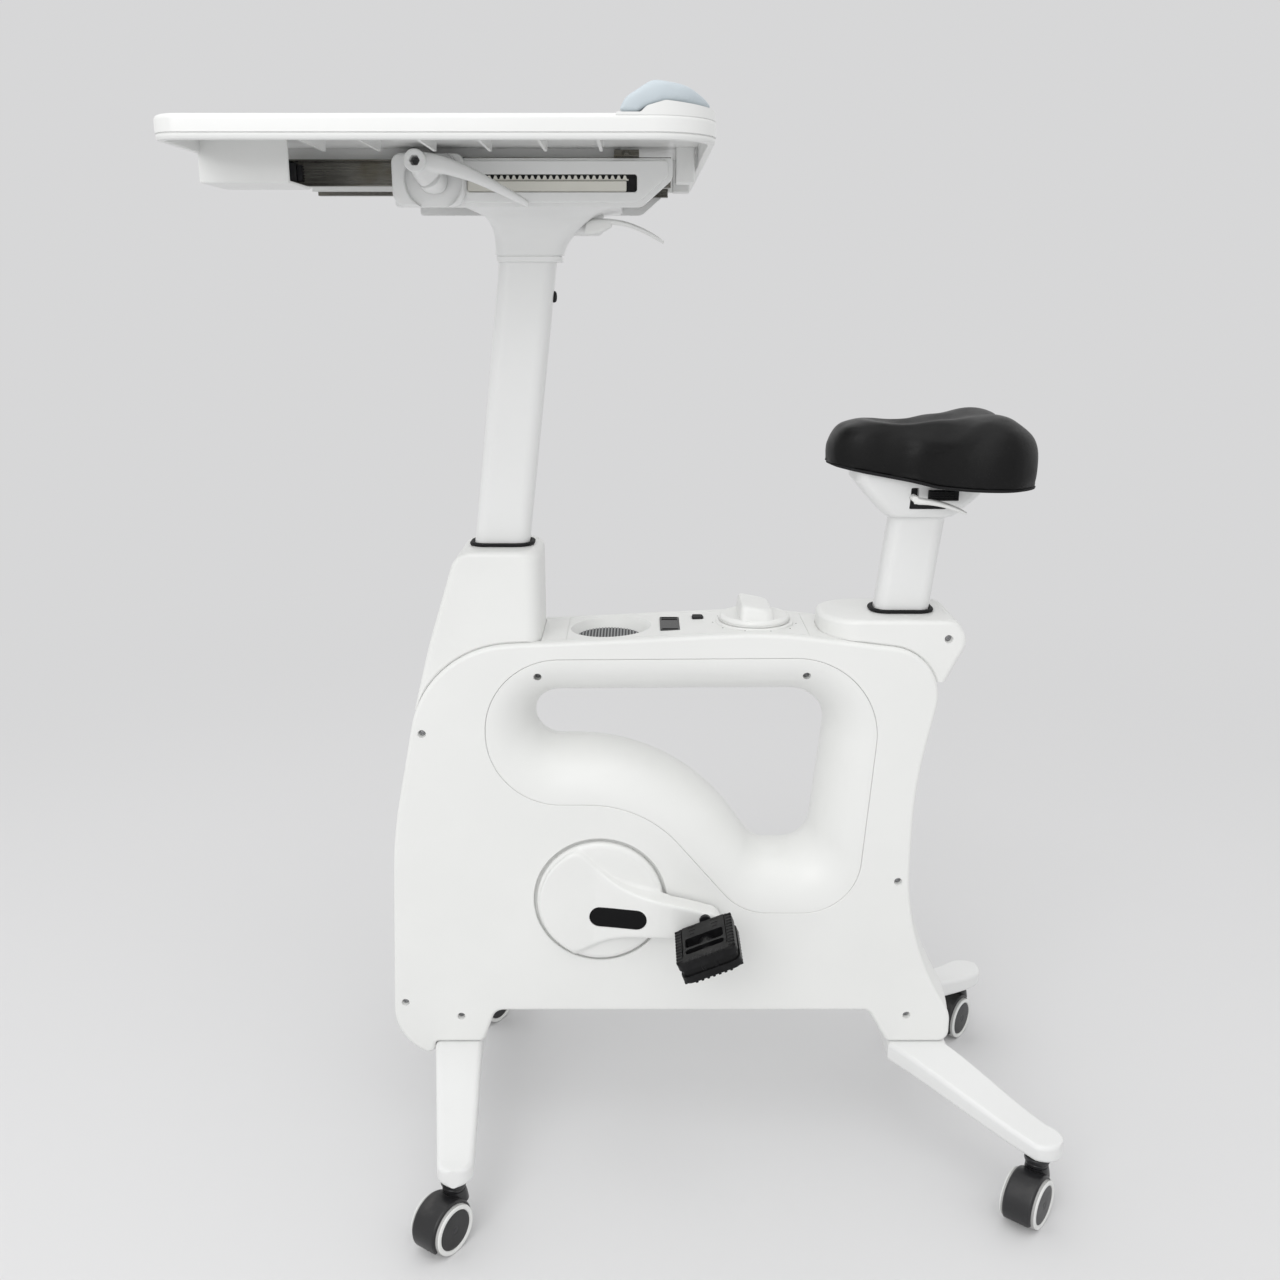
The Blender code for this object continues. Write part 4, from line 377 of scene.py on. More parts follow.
def centred_tower(x, rows, y=0.0, per_corner=8):
    """Upright form centred on one x through (z, half length, half width, corner radius) rows."""
    return tower([(z, x - reach, x + reach, half, radius) for z, reach, half, radius in rows], y, per_corner)


def turned(profile, axis="Y", sides=ROUND_SIDES, bored=False, side=1.0):
    """Solid turned about an axis; a bored one's (radius, along) profile runs round its section."""
    rings = []
    for radius, along in profile:
        ring = []
        for step in range(sides):
            angle = math.tau * step / sides
            a = radius * math.cos(angle)
            b = radius * math.sin(angle)
            ring.append(Vector((a, side * along, b)) if axis == "Y" else Vector((a, b, side * along)))
        rings.append(ring)
    return loft(rings, closed=bored)


def rod(radius, start, end, axis="Y", sides=ROUND_SIDES, side=1.0):
    """Plain round rod."""
    return turned([(radius, start), (radius, end)], axis, sides, side=side)


def placed(bm, x=0.0, y=0.0, z=0.0, yaw=0.0):
    """Turn a shape about the vertical and carry it to its place."""
    bmesh.ops.rotate(bm, cent=(0.0, 0.0, 0.0), matrix=Matrix.Rotation(yaw, 3, "Z"), verts=bm.verts)
    bmesh.ops.translate(bm, vec=(x, y, z), verts=bm.verts)
    return bm


def spun(bm, pivot, turn):
    """Turn a shape about the y axis through a pivot."""
    bmesh.ops.rotate(bm, cent=pivot, matrix=Matrix.Rotation(turn, 3, "Y"), verts=bm.verts)
    return bm


def rim_bends(half, edge, steps=5):
    """Inset and y of each ring of a rounded rim, from the face to the straight side."""
    for step in range(steps + 1):
        angle = math.pi / 2.0 * step / steps
        yield edge * (1.0 - math.sin(angle)), half - edge * (1.0 - math.cos(angle))


def soft_plate(points, y_inner, y_outer, edge):
    """Plate across y whose outer rim is rounded and whose inner rim is slightly eased."""
    way = 1.0 if y_outer > y_inner else -1.0
    thick = abs(y_outer - y_inner)
    loops = [side_loop(offset(points, -inset), y_inner + way * y) for inset, y in rim_bends(thick, edge, 4)]
    ease = min(0.5, thick * 0.3)
    loops.append(side_loop(points, y_inner + way * ease))
    loops.append(side_loop(offset(points, -ease), y_inner))
    return loft(loops)


def gathered(parts):
    """Several shapes in one."""
    whole = bmesh.new()
    for part in parts:
        mesh = bpy.data.meshes.new("part")
        part.to_mesh(mesh)
        part.free()
        whole.from_mesh(mesh)
        bpy.data.meshes.remove(mesh)
    return whole


def stand_in(bm):
    """A temporary object that holds a shape."""
    bmesh.ops.recalc_face_normals(bm, faces=bm.faces)
    mesh = bpy.data.meshes.new("work")
    bm.to_mesh(mesh)
    bm.free()
    obj = bpy.data.objects.new("work", mesh)
    bpy.context.scene.collection.objects.link(obj)
    return obj


def taken_back(objects):
    """The first object's shape with its modifiers applied; all the temporary objects go."""
    graph = bpy.context.evaluated_depsgraph_get()
    result = objects[0].evaluated_get(graph)
    mesh = result.to_mesh()
    bm = bmesh.new()
    bm.from_mesh(mesh)
    result.to_mesh_clear()
    if not bm.faces:
        raise RuntimeError("a shape vanished in a cut")
    for obj in objects:
        old = obj.data
        bpy.data.objects.remove(obj)
        bpy.data.meshes.remove(old)
    return bm


def combined(base, other, operation="DIFFERENCE"):
    """Cut, join or intersect two closed shapes."""
    first = stand_in(base)
    second = stand_in(other)
    boolean = first.modifiers.new("shape", "BOOLEAN")
    boolean.operation = operation
    boolean.solver = "EXACT"
    boolean.object = second
    return taken_back([first, second])


def cut(base, *cutters):
    """Take shapes out of a base, one after another."""
    for cutter in cutters:
        base = combined(base, cutter)
    return base


def joined(base, *others):
    """Add shapes to a base, one after another."""
    for other in others:
        base = combined(base, other, "UNION")
    return base


def blended(bm, voxel, rounds):
    """Closed shape rebuilt in even faces, with its joints and edges softened."""
    obj = stand_in(bm)
    remesh = obj.modifiers.new("even", "REMESH")
    remesh.mode = "VOXEL"
    remesh.voxel_size = voxel
    smooth = obj.modifiers.new("soften", "SMOOTH")
    smooth.factor = 0.5
    smooth.iterations = rounds
    return taken_back([obj])


def eased(values, share):
    """Row between rows of numbers on a smooth curve; the share runs from 0 to the last row."""
    index = min(int(share), len(values) - 2)
    t = share - index
    rows = [values[min(max(index + step, 0), len(values) - 1)] for step in (-1, 0, 1, 2)]
    result = []
    for a, b, c, d in zip(*rows):
        result.append(0.5 * (2.0 * b + (c - a) * t + (2.0 * a - 5.0 * b + 4.0 * c - d) * t ** 2
                             + (3.0 * b - a - 3.0 * c + d) * t ** 3))
    return result


def finer(values, steps):
    """A list of rows with smooth rows put between them."""
    count = (len(values) - 1) * steps
    return [eased(values, index / steps) for index in range(count + 1)]


def swept(stations, per_ring=20):
    """Arm through (x, y, z, half height, half thickness) stations, with round sections across its path."""
    loops = []
    for index, (x, y, z, tall, thick) in enumerate(stations):
        before = Vector(stations[max(index - 1, 0)][:3])
        after = Vector(stations[min(index + 1, len(stations) - 1)][:3])
        ahead = (after - before).normalized()
        across = Vector((1.0, 0.0, 0.0)) if abs(ahead.y) > 0.7 else Vector((0.0, 1.0, 0.0))
        up = ahead.cross(across).normalized()
        across = up.cross(ahead).normalized()
        centre = Vector((x, y, z))
        ring = []
        for step in range(per_ring):
            angle = math.tau * step / per_ring
            c, s = math.cos(angle), math.sin(angle)
            c = math.copysign(abs(c) ** SQUARENESS, c)
            s = math.copysign(abs(s) ** SQUARENESS, s)
            ring.append(centre + across * thick * c + up * tall * s)
        loops.append(ring)
    return loft(loops)


def span_at(outline, z):
    """Lowest and highest x of an outline at one height."""
    found = []
    for a, b in zip(outline, outline[1:] + outline[:1]):
        if abs(a.y - b.y) > 1e-6 and (a.y - z) * (b.y - z) <= 0.0:
            found.append(a.x + (b.x - a.x) * (z - a.y) / (b.y - a.y))
    return min(found), max(found)


def lean_at(axis, z):
    """Where a leaning axis, given by x and z on it, passes a height."""
    return axis[0] + (z - axis[1]) * math.tan(LEAN)


def leaning_ring(axis, z, grow):
    """The columns' section at one height, grown by a margin."""
    x = lean_at(axis, z)
    half_x = COLUMN_X / 2.0 + grow
    half_y = COLUMN_Y / 2.0 + grow
    return level_loop(rect_ring(x - half_x, x + half_x, -half_y, half_y, COLUMN_ROUND + grow, None, 10), z)


def housing_top_at(x):
    """Height of the housing's top line at one x."""
    outline = rounded(SHELL_CORNERS)
    found = [HOUSING_FLOOR]
    for a, b in zip(outline, outline[1:] + outline[:1]):
        if abs(a.x - b.x) > 1e-6 and (a.x - x) * (b.x - x) <= 0.0:
            found.append(a.y + (b.y - a.y) * (x - a.x) / (b.x - a.x))
    return max(found)


def shift_line(points, distance, first=0):
    """Move an open line to its right; a first point makes the shift swell from there and fade."""
    lengths = [0.0]
    for before, after in zip(points, points[1:]):
        lengths.append(lengths[-1] + (after - before).length)
    moved = []
    for index, here in enumerate(points):
        run = (points[min(index + 1, len(points) - 1)] - points[max(index - 1, 0)]).normalized()
        share = 1.0
        if first:
            along = (lengths[index] - lengths[first]) / (lengths[-1] - lengths[first])
            share = math.sin(math.pi * math.sqrt(max(0.0, along)))
        moved.append(here + Vector((run.y, -run.x)) * distance * share)
    return moved


def emit(name, bm, look, body, stands_for=(), sharp=32.0, even=True):
    """Put a shape into the scene as a finished piece of a body."""
    bmesh.ops.recalc_face_normals(bm, faces=bm.faces)
    bmesh.ops.translate(bm, vec=(-MIDDLE_X, 0.0, 0.0), verts=bm.verts)
    bmesh.ops.scale(bm, vec=(MM, MM, MM), verts=bm.verts)
    mesh = bpy.data.meshes.new(name)
    bm.to_mesh(mesh)
    bm.free()
    mesh.shade_smooth()
    mesh.set_sharp_from_angle(angle=math.radians(sharp))
    mesh.materials.append(surface(look))
    obj = bpy.data.objects.new(name, mesh)
    bpy.context.scene.collection.objects.link(obj)
    if even:
        weighted = obj.modifiers.new("flat faces", "WEIGHTED_NORMAL")
        weighted.keep_sharp = True
        weighted.weight = 80
    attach(obj, body)
    if stands_for:
        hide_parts(*stands_for)
    return obj


# Finishes

def put(tree, kind, values=None, **settings):
    """Add a node, set its options, and give its sockets values or links."""
    made = tree.nodes.new(kind)
    for key, value in settings.items():
        setattr(made, key, value)
    for socket, value in (values or {}).items():
        target = made.inputs[socket]
        if isinstance(value, bpy.types.NodeSocket):
            tree.links.new(value, target)
        else:
            target.default_value = value
    return made


def effect(name, inputs, outputs):
    """A shader node group with named inputs and outputs."""
    tree = bpy.data.node_groups.new(name, "ShaderNodeTree")
    for label, value in inputs:
        kind = "NodeSocketColor" if isinstance(value, tuple) else "NodeSocketFloat"
        tree.interface.new_socket(name=label, in_out="INPUT", socket_type=kind).default_value = value
    for label, kind in outputs:
        tree.interface.new_socket(name=label, in_out="OUTPUT", socket_type=kind)
    return tree, tree.nodes.new("NodeGroupInput").outputs, tree.nodes.new("NodeGroupOutput").inputs


def mixed(tree, share, first, second):
    """Colour between two colours."""
    made = put(tree, "ShaderNodeMix", {0: share, 6: first, 7: second}, data_type="RGBA")
    return made.outputs[2]


def ranged(tree, value, low, high, to_low=0.0, to_high=1.0):
    """A value eased from one range into another."""
    made = put(tree, "ShaderNodeMapRange", {0: value, 1: low, 2: high, 3: to_low, 4: to_high},
               interpolation_type="SMOOTHSTEP")
    return made.outputs[0]


def reckoned(tree, operation, first, second):
    """Result of one sum of two values."""
    return put(tree, "ShaderNodeMath", {0: first, 1: second}, operation=operation).outputs[0]


def object_place(tree):
    """Where a point lies on its object."""
    return tree.nodes.new("ShaderNodeTexCoord").outputs["Object"]


def noise(tree, place, scale, detail):
    """Value of a noise texture."""
    return put(tree, "ShaderNodeTexNoise", {"Vector": place, "Scale": scale, "Detail": detail}).outputs[0]


def make_moulded_effect():
    """Tone, roughness and fine grain of a moulded or painted surface."""
    tree, given, out = effect("moulded surface", [
        ("Colour", (0.8, 0.8, 0.8, 1.0)), ("Tone", (0.7, 0.7, 0.7, 1.0)), ("Roughness", 0.4),
        ("Spread", 0.1), ("Grain Scale", 900.0), ("Grain Sharpness", 0.5),
    ], [("Colour", "NodeSocketColor"), ("Roughness", "NodeSocketFloat"), ("Height", "NodeSocketFloat")])
    place = object_place(tree)
    cloud = noise(tree, place, 7.0, 4.0)
    fleck = noise(tree, place, 60.0, 3.0)
    grain = put(tree, "ShaderNodeTexNoise", {"Vector": place, "Scale": given["Grain Scale"], "Detail": 2.0,
                                             "Roughness": given["Grain Sharpness"]}).outputs[0]
    blotch = ranged(tree, cloud, 0.35, 0.7)
    tree.links.new(mixed(tree, blotch, given["Colour"], given["Tone"]), out["Colour"])
    spread = reckoned(tree, "MULTIPLY", reckoned(tree, "SUBTRACT", fleck, 0.5), given["Spread"])
    tree.links.new(reckoned(tree, "ADD", given["Roughness"], spread), out["Roughness"])
    tree.links.new(grain, out["Height"])
    return tree


def make_dust_effect():
    """Dust that settles on faces that look up, in soft patches."""
    tree, given, out = effect("settled dust", [
        ("Colour", (0.8, 0.8, 0.8, 1.0)), ("Dust", (0.5, 0.48, 0.45, 1.0)), ("Amount", 0.2),
        ("Roughness", 0.4),
    ], [("Colour", "NodeSocketColor"), ("Roughness", "NodeSocketFloat")])
    normal = tree.nodes.new("ShaderNodeNewGeometry").outputs["Normal"]
    upward = put(tree, "ShaderNodeSeparateXYZ", {0: normal}).outputs[2]
    patch = noise(tree, object_place(tree), 35.0, 6.0)
    mask = reckoned(tree, "MULTIPLY", ranged(tree, upward, 0.4, 1.0), ranged(tree, patch, 0.42, 0.75))
    mask = reckoned(tree, "MULTIPLY", mask, given["Amount"])
    tree.links.new(mixed(tree, mask, given["Colour"], given["Dust"]), out["Colour"])
    rough = reckoned(tree, "ADD", given["Roughness"], reckoned(tree, "MULTIPLY", mask, 0.5))
    tree.links.new(rough, out["Roughness"])
    return tree


def make_wear_effect():
    """Rubbed colour along edges, broken up by a coarse noise."""
    tree, given, out = effect("worn edges", [
        ("Colour", (0.02, 0.02, 0.02, 1.0)), ("Worn", (0.1, 0.1, 0.1, 1.0)), ("Amount", 0.5),
    ], [("Colour", "NodeSocketColor"), ("Mask", "NodeSocketFloat")])
    point = tree.nodes.new("ShaderNodeNewGeometry").outputs["Pointiness"]
    rub = noise(tree, object_place(tree), 90.0, 5.0)
    mask = reckoned(tree, "MULTIPLY", ranged(tree, point, 0.52, 0.6), ranged(tree, rub, 0.4, 0.65))
    mask = reckoned(tree, "MULTIPLY", mask, given["Amount"])
    tree.links.new(mixed(tree, mask, given["Colour"], given["Worn"]), out["Colour"])
    tree.links.new(mask, out["Mask"])
    return tree


def make_leather_effect():
    """Pebbled grain with fine creases between the pebbles."""
    tree, given, out = effect("leather grain", [
        ("Colour", (0.02, 0.02, 0.02, 1.0)), ("Crease", (0.005, 0.005, 0.005, 1.0)), ("Scale", 700.0),
        ("Roughness", 0.45),
    ], [("Colour", "NodeSocketColor"), ("Roughness", "NodeSocketFloat"), ("Height", "NodeSocketFloat")])
    place = object_place(tree)
    stray = put(tree, "ShaderNodeTexNoise", {"Vector": place, "Scale": 160.0, "Detail": 2.0})
    bent = put(tree, "ShaderNodeVectorMath", {0: stray.outputs["Color"], 1: (0.0012, 0.0012, 0.0012)},
               operation="MULTIPLY").outputs[0]
    moved = put(tree, "ShaderNodeVectorMath", {0: place, 1: bent}, operation="ADD").outputs[0]
    cell = put(tree, "ShaderNodeTexVoronoi", {"Vector": moved, "Scale": given["Scale"]},
               feature="DISTANCE_TO_EDGE").outputs[0]
    pebble = ranged(tree, cell, 0.0, 0.25)
    soft = noise(tree, place, 25.0, 3.0)
    tree.links.new(mixed(tree, pebble, given["Crease"], given["Colour"]), out["Colour"])
    rough = reckoned(tree, "ADD", given["Roughness"], ranged(tree, soft, 0.3, 0.7, -0.06, 0.06))
    tree.links.new(rough, out["Roughness"])
    tree.links.new(pebble, out["Height"])
    return tree


def make_brushed_effect():
    """Fine lines along the length of a rolled steel strip."""
    tree, given, out = effect("brushed steel", [
        ("Colour", (0.5, 0.5, 0.5, 1.0)), ("Stain", (0.3, 0.28, 0.24, 1.0)), ("Roughness", 0.3),
    ], [("Colour", "NodeSocketColor"), ("Roughness", "NodeSocketFloat"), ("Height", "NodeSocketFloat")])
    place = object_place(tree)
    drawn = put(tree, "ShaderNodeMapping", {"Vector": place, "Scale": (14.0, 700.0, 700.0)}).outputs[0]
    line = noise(tree, drawn, 1.0, 3.0)
    stain = ranged(tree, noise(tree, place, 22.0, 4.0), 0.45, 0.75)
    tree.links.new(mixed(tree, stain, given["Colour"], given["Stain"]), out["Colour"])
    rough = reckoned(tree, "ADD", given["Roughness"], ranged(tree, line, 0.3, 0.7, -0.08, 0.12))
    tree.links.new(rough, out["Roughness"])
    tree.links.new(line, out["Height"])
    return tree


EFFECT_MAKERS = {
    "moulded surface": make_moulded_effect,
    "settled dust": make_dust_effect,
    "worn edges": make_wear_effect,
    "leather grain": make_leather_effect,
    "brushed steel": make_brushed_effect,
}


def placed_effect(tree, name, values):
    """An effect put into a material with its own values."""
    group = bpy.data.node_groups.get(name) or EFFECT_MAKERS[name]()
    return put(tree, "ShaderNodeGroup", values, node_tree=group).outputs


def shade(colour, factor=1.0):
    """A colour with an alpha, lighter or darker by a factor."""
    return tuple(min(1.0, part * factor) for part in colour[:3]) + (1.0,)


def begin(name):
    """A new material with its node tree and shader."""
    material = bpy.data.materials.new(name)
    material.use_nodes = True
    tree = material.node_tree
    return material, tree, tree.nodes["Principled BSDF"].inputs


def bumped(tree, shader, height, strength, distance):
    """Feed a height through a bump into the shader's normal."""
    made = put(tree, "ShaderNodeBump", {"Height": height, "Strength": strength, "Distance": distance})
    tree.links.new(made.outputs[0], shader["Normal"])


def coloured(tree, source, shader):
    """Feed an effect's colour and roughness into the shader."""
    tree.links.new(source["Colour"], shader["Base Color"])
    tree.links.new(source["Roughness"], shader["Roughness"])


def moulded(name, colour, tone, roughness, spread, grain, depth, dust, wear=0.0, coat=0.0, specular=0.5):
    """Moulded plastic, paint or rubber."""
    material, tree, shader = begin(name)
    base = placed_effect(tree, "moulded surface", {
        "Colour": shade(colour), "Tone": shade(colour, tone), "Roughness": roughness, "Spread": spread,
        "Grain Scale": grain})
    hue = base["Colour"]
    if wear:
        hue = placed_effect(tree, "worn edges", {
            "Colour": hue, "Worn": shade(colour, 6.0), "Amount": wear})["Colour"]
    grime = (0.62, 0.6, 0.57) if colour[0] > 0.3 else (0.2, 0.19, 0.18)
    coloured(tree, placed_effect(tree, "settled dust", {
        "Colour": hue, "Dust": shade(grime), "Amount": dust, "Roughness": base["Roughness"]}), shader)
    shader["Coat Weight"].default_value = coat
    shader["Coat Roughness"].default_value = 0.12
    shader["Specular IOR Level"].default_value = specular
    bumped(tree, shader, base["Height"], 0.35, depth)
    return material


def metal(name, colour, stain, roughness):
    """Drawn or plated steel."""
    material, tree, shader = begin(name)
    base = placed_effect(tree, "brushed steel", {
        "Colour": shade(colour), "Stain": shade(stain), "Roughness": roughness})
    coloured(tree, base, shader)
    shader["Metallic"].default_value = 1.0
    bumped(tree, shader, base["Height"], 0.25, 0.0002)
    return material


def leather(name, colour):
    """Grained artificial leather."""
    material, tree, shader = begin(name)
    base = placed_effect(tree, "leather grain", {
        "Colour": shade(colour), "Crease": shade(colour, 0.5), "Scale": 650.0, "Roughness": 0.42})
    coloured(tree, placed_effect(tree, "settled dust", {
        "Colour": base["Colour"], "Dust": shade((0.03, 0.03, 0.03)), "Amount": 0.12,
        "Roughness": base["Roughness"]}), shader)
    shader["Specular IOR Level"].default_value = 0.22
    bumped(tree, shader, base["Height"], 0.3, 0.0002)
    return material


def surface(look):
    """The material of a look, made when it is first asked for."""
    found = bpy.data.materials.get(look)
    if found:
        return found
    tints = bpy.context.scene.bike_tints
    white = tuple(tints.housing)
    black = tuple(tints.black)
    # Colour, tone, roughness, spread, grain, depth, dust, wear, coat, specular
    plastics = {
        "housing_white": (white, 0.975, 0.38, 0.1, 1500.0, 0.00012, 0.06, 0.0, 0.08, 0.5),
        "desk_white": (tuple(tints.desktop), 0.98, 0.3, 0.08, 1300.0, 0.0001, 0.04, 0.0, 0.15, 0.5),
        "paint_white": (tuple(tints.paint), 0.985, 0.3, 0.06, 1200.0, 0.00004, 0.02, 0.0, 0.2, 0.5),
        "trim_black": (black, 1.5, 0.38, 0.15, 1200.0, 0.0002, 0.05, 0.0, 0.0, 0.2),
        "pedal_black": (shade(black, 0.5), 1.5, 0.42, 0.16, 900.0, 0.0002, 0.05, 0.25, 0.0, 0.18),
        "caster_black": (shade(black, 1.1), 1.5, 0.36, 0.18, 900.0, 0.0003, 0.2, 0.3, 0.0, 0.5),
        "gloss_black": (shade(black, 0.5), 1.2, 0.2, 0.04, 300.0, 0.00003, 0.02, 0.0, 0.0, 0.12),
        "rubber_black": (shade(black, 0.9), 1.4, 0.62, 0.15, 900.0, 0.0003, 0.08, 0.0, 0.0, 0.2),
        "mat_dark": ((0.05, 0.052, 0.054), 1.3, 0.6, 0.1, 900.0, 0.0002, 0.1),
        # The ribs' grey is a lighter copy of the dark mat colour above: painted highlight where the rib tops
        # catch light.
        "mat_rib_painted_highlight": ((0.33, 0.34, 0.345), 0.9, 0.5, 0.1, 900.0, 0.0002, 0.1),
        "bar_grey": ((0.74, 0.73, 0.67), 0.95, 0.42, 0.1, 1100.0, 0.0001, 0.03),
        "wheel_grey": (tuple(tints.tread), 0.8, 0.5, 0.15, 700.0, 0.0003, 0.2),
        "wheel_white": (shade(white, 0.97), 0.93, 0.35, 0.1, 900.0, 0.0001, 0.1),
        "pad_grey": (tuple(tints.pad), 0.96, 0.5, 0.12, 1000.0, 0.0002, 0.05),
    }
    # Colour, stain, roughness
    metals = {
        "steel_bright": ((0.17, 0.165, 0.15), (0.11, 0.1, 0.075), 0.24),
        "steel_dark": ((0.16, 0.16, 0.165), (0.1, 0.1, 0.1), 0.42),
        "screw_zinc": ((0.34, 0.34, 0.35), (0.2, 0.2, 0.2), 0.38),
    }
    if look in plastics:
        return moulded(look, *plastics[look])
    if look == "saddle_black":
        return leather(look, tuple(tints.saddle))
    return metal(look, *metals[look])


SLOT_LOOKS = {
    "white_plastic": "housing_white", "desktop_plastic": "desk_white", "white_paint": "paint_white",
    "black_plastic": "trim_black", "black_rubber": "rubber_black", "saddle_leather": "saddle_black",
    "pad_foam": "pad_grey", "bright_steel": "steel_bright", "dark_steel": "steel_dark",
    "wheel_tread": "wheel_grey",
}


def dress_frame():
    """Give each carried-over node the finish of its material slot."""
    slots = {row["node"]: row["material_slot"] for row in frame["record"]["subparts"]}
    for name, obj in frame["nodes"].items():
        obj.data.materials.clear()
        obj.data.materials.append(surface(SLOT_LOOKS[slots[name]]))


# Housing

def screw_head(x, y, z, side):
    """Pan head with a cross recess, looking out of a well."""
    head = turned([(3.3, 0.0), (3.3, 1.0), (2.7, 1.7), (1.4, 2.1)], sides=28, side=side)
    for turn in (0.4, 0.4 + math.pi / 2.0):
        bar = block(-2.2, 2.2, side * 1.2, side * 4.0, -0.45, 0.45)
        head = cut(head, spun(bar, (0.0, 0.0, 0.0), turn))
    return placed(head, x, y, z)


def well(x, face, z, side):
    """Cup behind a screw hole; its profile closes on itself."""
    floor = face - WELL_DEPTH
    profile = [(6.2, face - 2.0), (4.55, face - 2.0), (3.5, floor), (0.6, floor), (0.6, floor - 1.0),
               (6.2, floor - 1.0)]
    return placed(turned(profile, sides=40, bored=True, side=side), x, 0.0, z)


def countersink(x, face, z, side):
    """Cutter for a screw hole that narrows inwards."""
    profile = [(6.0, face + 1.0), (5.0, face), (4.6, face - 1.2), (4.5, face - 9.0)]
    return placed(turned(profile, sides=40, side=side), x, 0.0, z)


def ring_face(z):
    """Distance of the grip ring's surface from the middle plane at one height of its upper band."""
    reach = min(1.0, max(0.0, (640.0 - z) / 50.0))
    return HOUSING_HALF - (HOUSING_HALF - GAP / 2.0) * (1.0 - math.cos(math.asin(reach)))


def make_shell(side_name, side):
    """Side shell with a rounded rim, its openings and screw holes."""
    housing = bpy.context.scene.bike_housing
    edge = housing.edge_round / MM
    ease = housing.seam_ease / MM
    outline = rounded(SHELL_CORNERS)
    inner = offset(outline, -WALL)
    rings = [(offset(outline, -inset), y) for inset, y in rim_bends(HOUSING_HALF, edge, 6)]
    rings += [(outline, RIM_HALF + ease), (offset(outline, -ease), RIM_HALF), (inner, RIM_HALF),
              (inner, HOUSING_HALF - edge), (offset(outline, -WALL - edge), HOUSING_HALF - WALL)]
    levels = [(RIM_HALF - 4.0, GAP), (HOUSING_HALF - ease, GAP), (HOUSING_HALF, GAP + ease),
              (HOUSING_HALF + 3.0, GAP + ease + 3.0)]
    recess = [(RECESS_R, RIM_HALF - 4.0), (RECESS_R, HOUSING_HALF - ease), (RECESS_R + ease, HOUSING_HALF),
              (RECESS_R + ease + 3.0, HOUSING_HALF + 3.0)]
    body = cut(loft([side_loop(ring, side * y) for ring, y in rings]),
               flared(rounded(RING_CORNERS, 24), levels, side), placed(turned(recess, side=side), *CRANK),
               *[countersink(x, HOUSING_HALF, z, side) for x, z in SHELL_SCREWS])
    emit("side_shell_" + side_name, body, "housing_white", "root", ["shell_" + side_name])


def make_screws(side_name, side):
    """Wells and heads of the screws in one side of the housing."""
    spots = [(x, HOUSING_HALF, z) for x, z in SHELL_SCREWS]
    spots += [(x, ring_face(z) - 3.2, z) for x, z in RING_SCREWS]
    spots.append((HOOD_SCREW[0], HOOD_HALF, HOOD_SCREW[1]))
    wells = gathered([well(x, face, z, side) for x, face, z in spots])
    emit("screw_wells_" + side_name, wells, "housing_white", "root")
    heads = gathered([screw_head(x, side * (face - WELL_DEPTH), z, side) for x, face, z in spots])
    emit("screw_heads_" + side_name, heads, "screw_zinc", "root")


def make_crank_well(side_name, side):
    """Dish behind the crank's disc, which closes the recess of the shell."""
    profile = [(83.0, 61.9), (81.1, 61.9), (81.1, 59.4), (80.4, 58.7), (12.0, 58.7), (12.0, 57.4),
               (83.0, 57.4)]
    dish = placed(turned(profile, bored=True, side=side), *CRANK)
    emit("crank_recess_" + side_name, dish, "housing_white", "root")


def make_grip_ring(side_name, side):
    """Surround that rolls from the side face into the carrying opening."""
    outer = rounded(RING_CORNERS, 24)
    opening = rounded(OPENING_CORNERS, 24)
    depth = HOUSING_HALF - GAP / 2.0

    def section(reach, drop):
        return side_loop([a.lerp(b, reach) for a, b in zip(outer, opening)], side * (HOUSING_HALF - drop))

    bends = 18
    angles = [math.pi / 2.0 * step / bends for step in range(bends + 1)]
    loops = [section(0.0, 0.9), section(0.002, 0.4), section(0.009, 0.06)]
    loops += [section(math.sin(angle), depth * (1.0 - math.cos(angle))) for angle in angles[1:]]
    for angle in reversed(angles):
        loops.append(section(0.96 * math.sin(angle), WALL + (depth - WALL) * (1.0 - math.cos(angle))))
    holes = [placed(rod(4.7, ring_face(z) + 9.0, ring_face(z) - 12.0, sides=40, side=side), x, 0.0, z)
             for x, z in RING_SCREWS]
    ring = cut(loft(loops, closed=True), *holes)
    emit("grip_surround_" + side_name, ring, "housing_white", "root",
         ["handle_ring_" + side_name])


def hood_levels(outline, top, shrink, rounds, floor):
    """Level rings of a hood: its outline gives its length, its top edge is rounded."""
    heights = {round(point.y, 2) for point in outline if point.y > floor}
    heights |= {top - HOOD_EDGE * (1.0 - math.sin(math.pi * step / 12.0)) for step in range(7)}
    heights = sorted(height for height in heights if height < top - 0.02) + [top - 0.02]
    loops = []
    for height in [floor] + heights:
        x0, x1 = span_at(outline, height)
        rise = max(0.0, height - (top - HOOD_EDGE))
        inset = HOOD_EDGE - math.sqrt(max(0.0, HOOD_EDGE ** 2 - rise * rise)) + shrink
        ring = rect_ring(x0 + shrink, x1 - shrink, -HOOD_HALF + inset, HOOD_HALF - inset,
                         max(1.0, rounds[0] - shrink), max(1.0, rounds[1] - shrink), 7)
        loops.append(level_loop(ring, height - shrink))
    return loft(loops)


def top_strip(xs):
    """Strip between the shells that follows the housing's top line."""
    line = [Vector((x, housing_top_at(x))) for x in xs]
    under = [point - Vector((0.0, PANEL_THICK)) for point in line[::-1]]
    return prism(line + under, GAP - RIM_HALF, RIM_HALF - GAP)


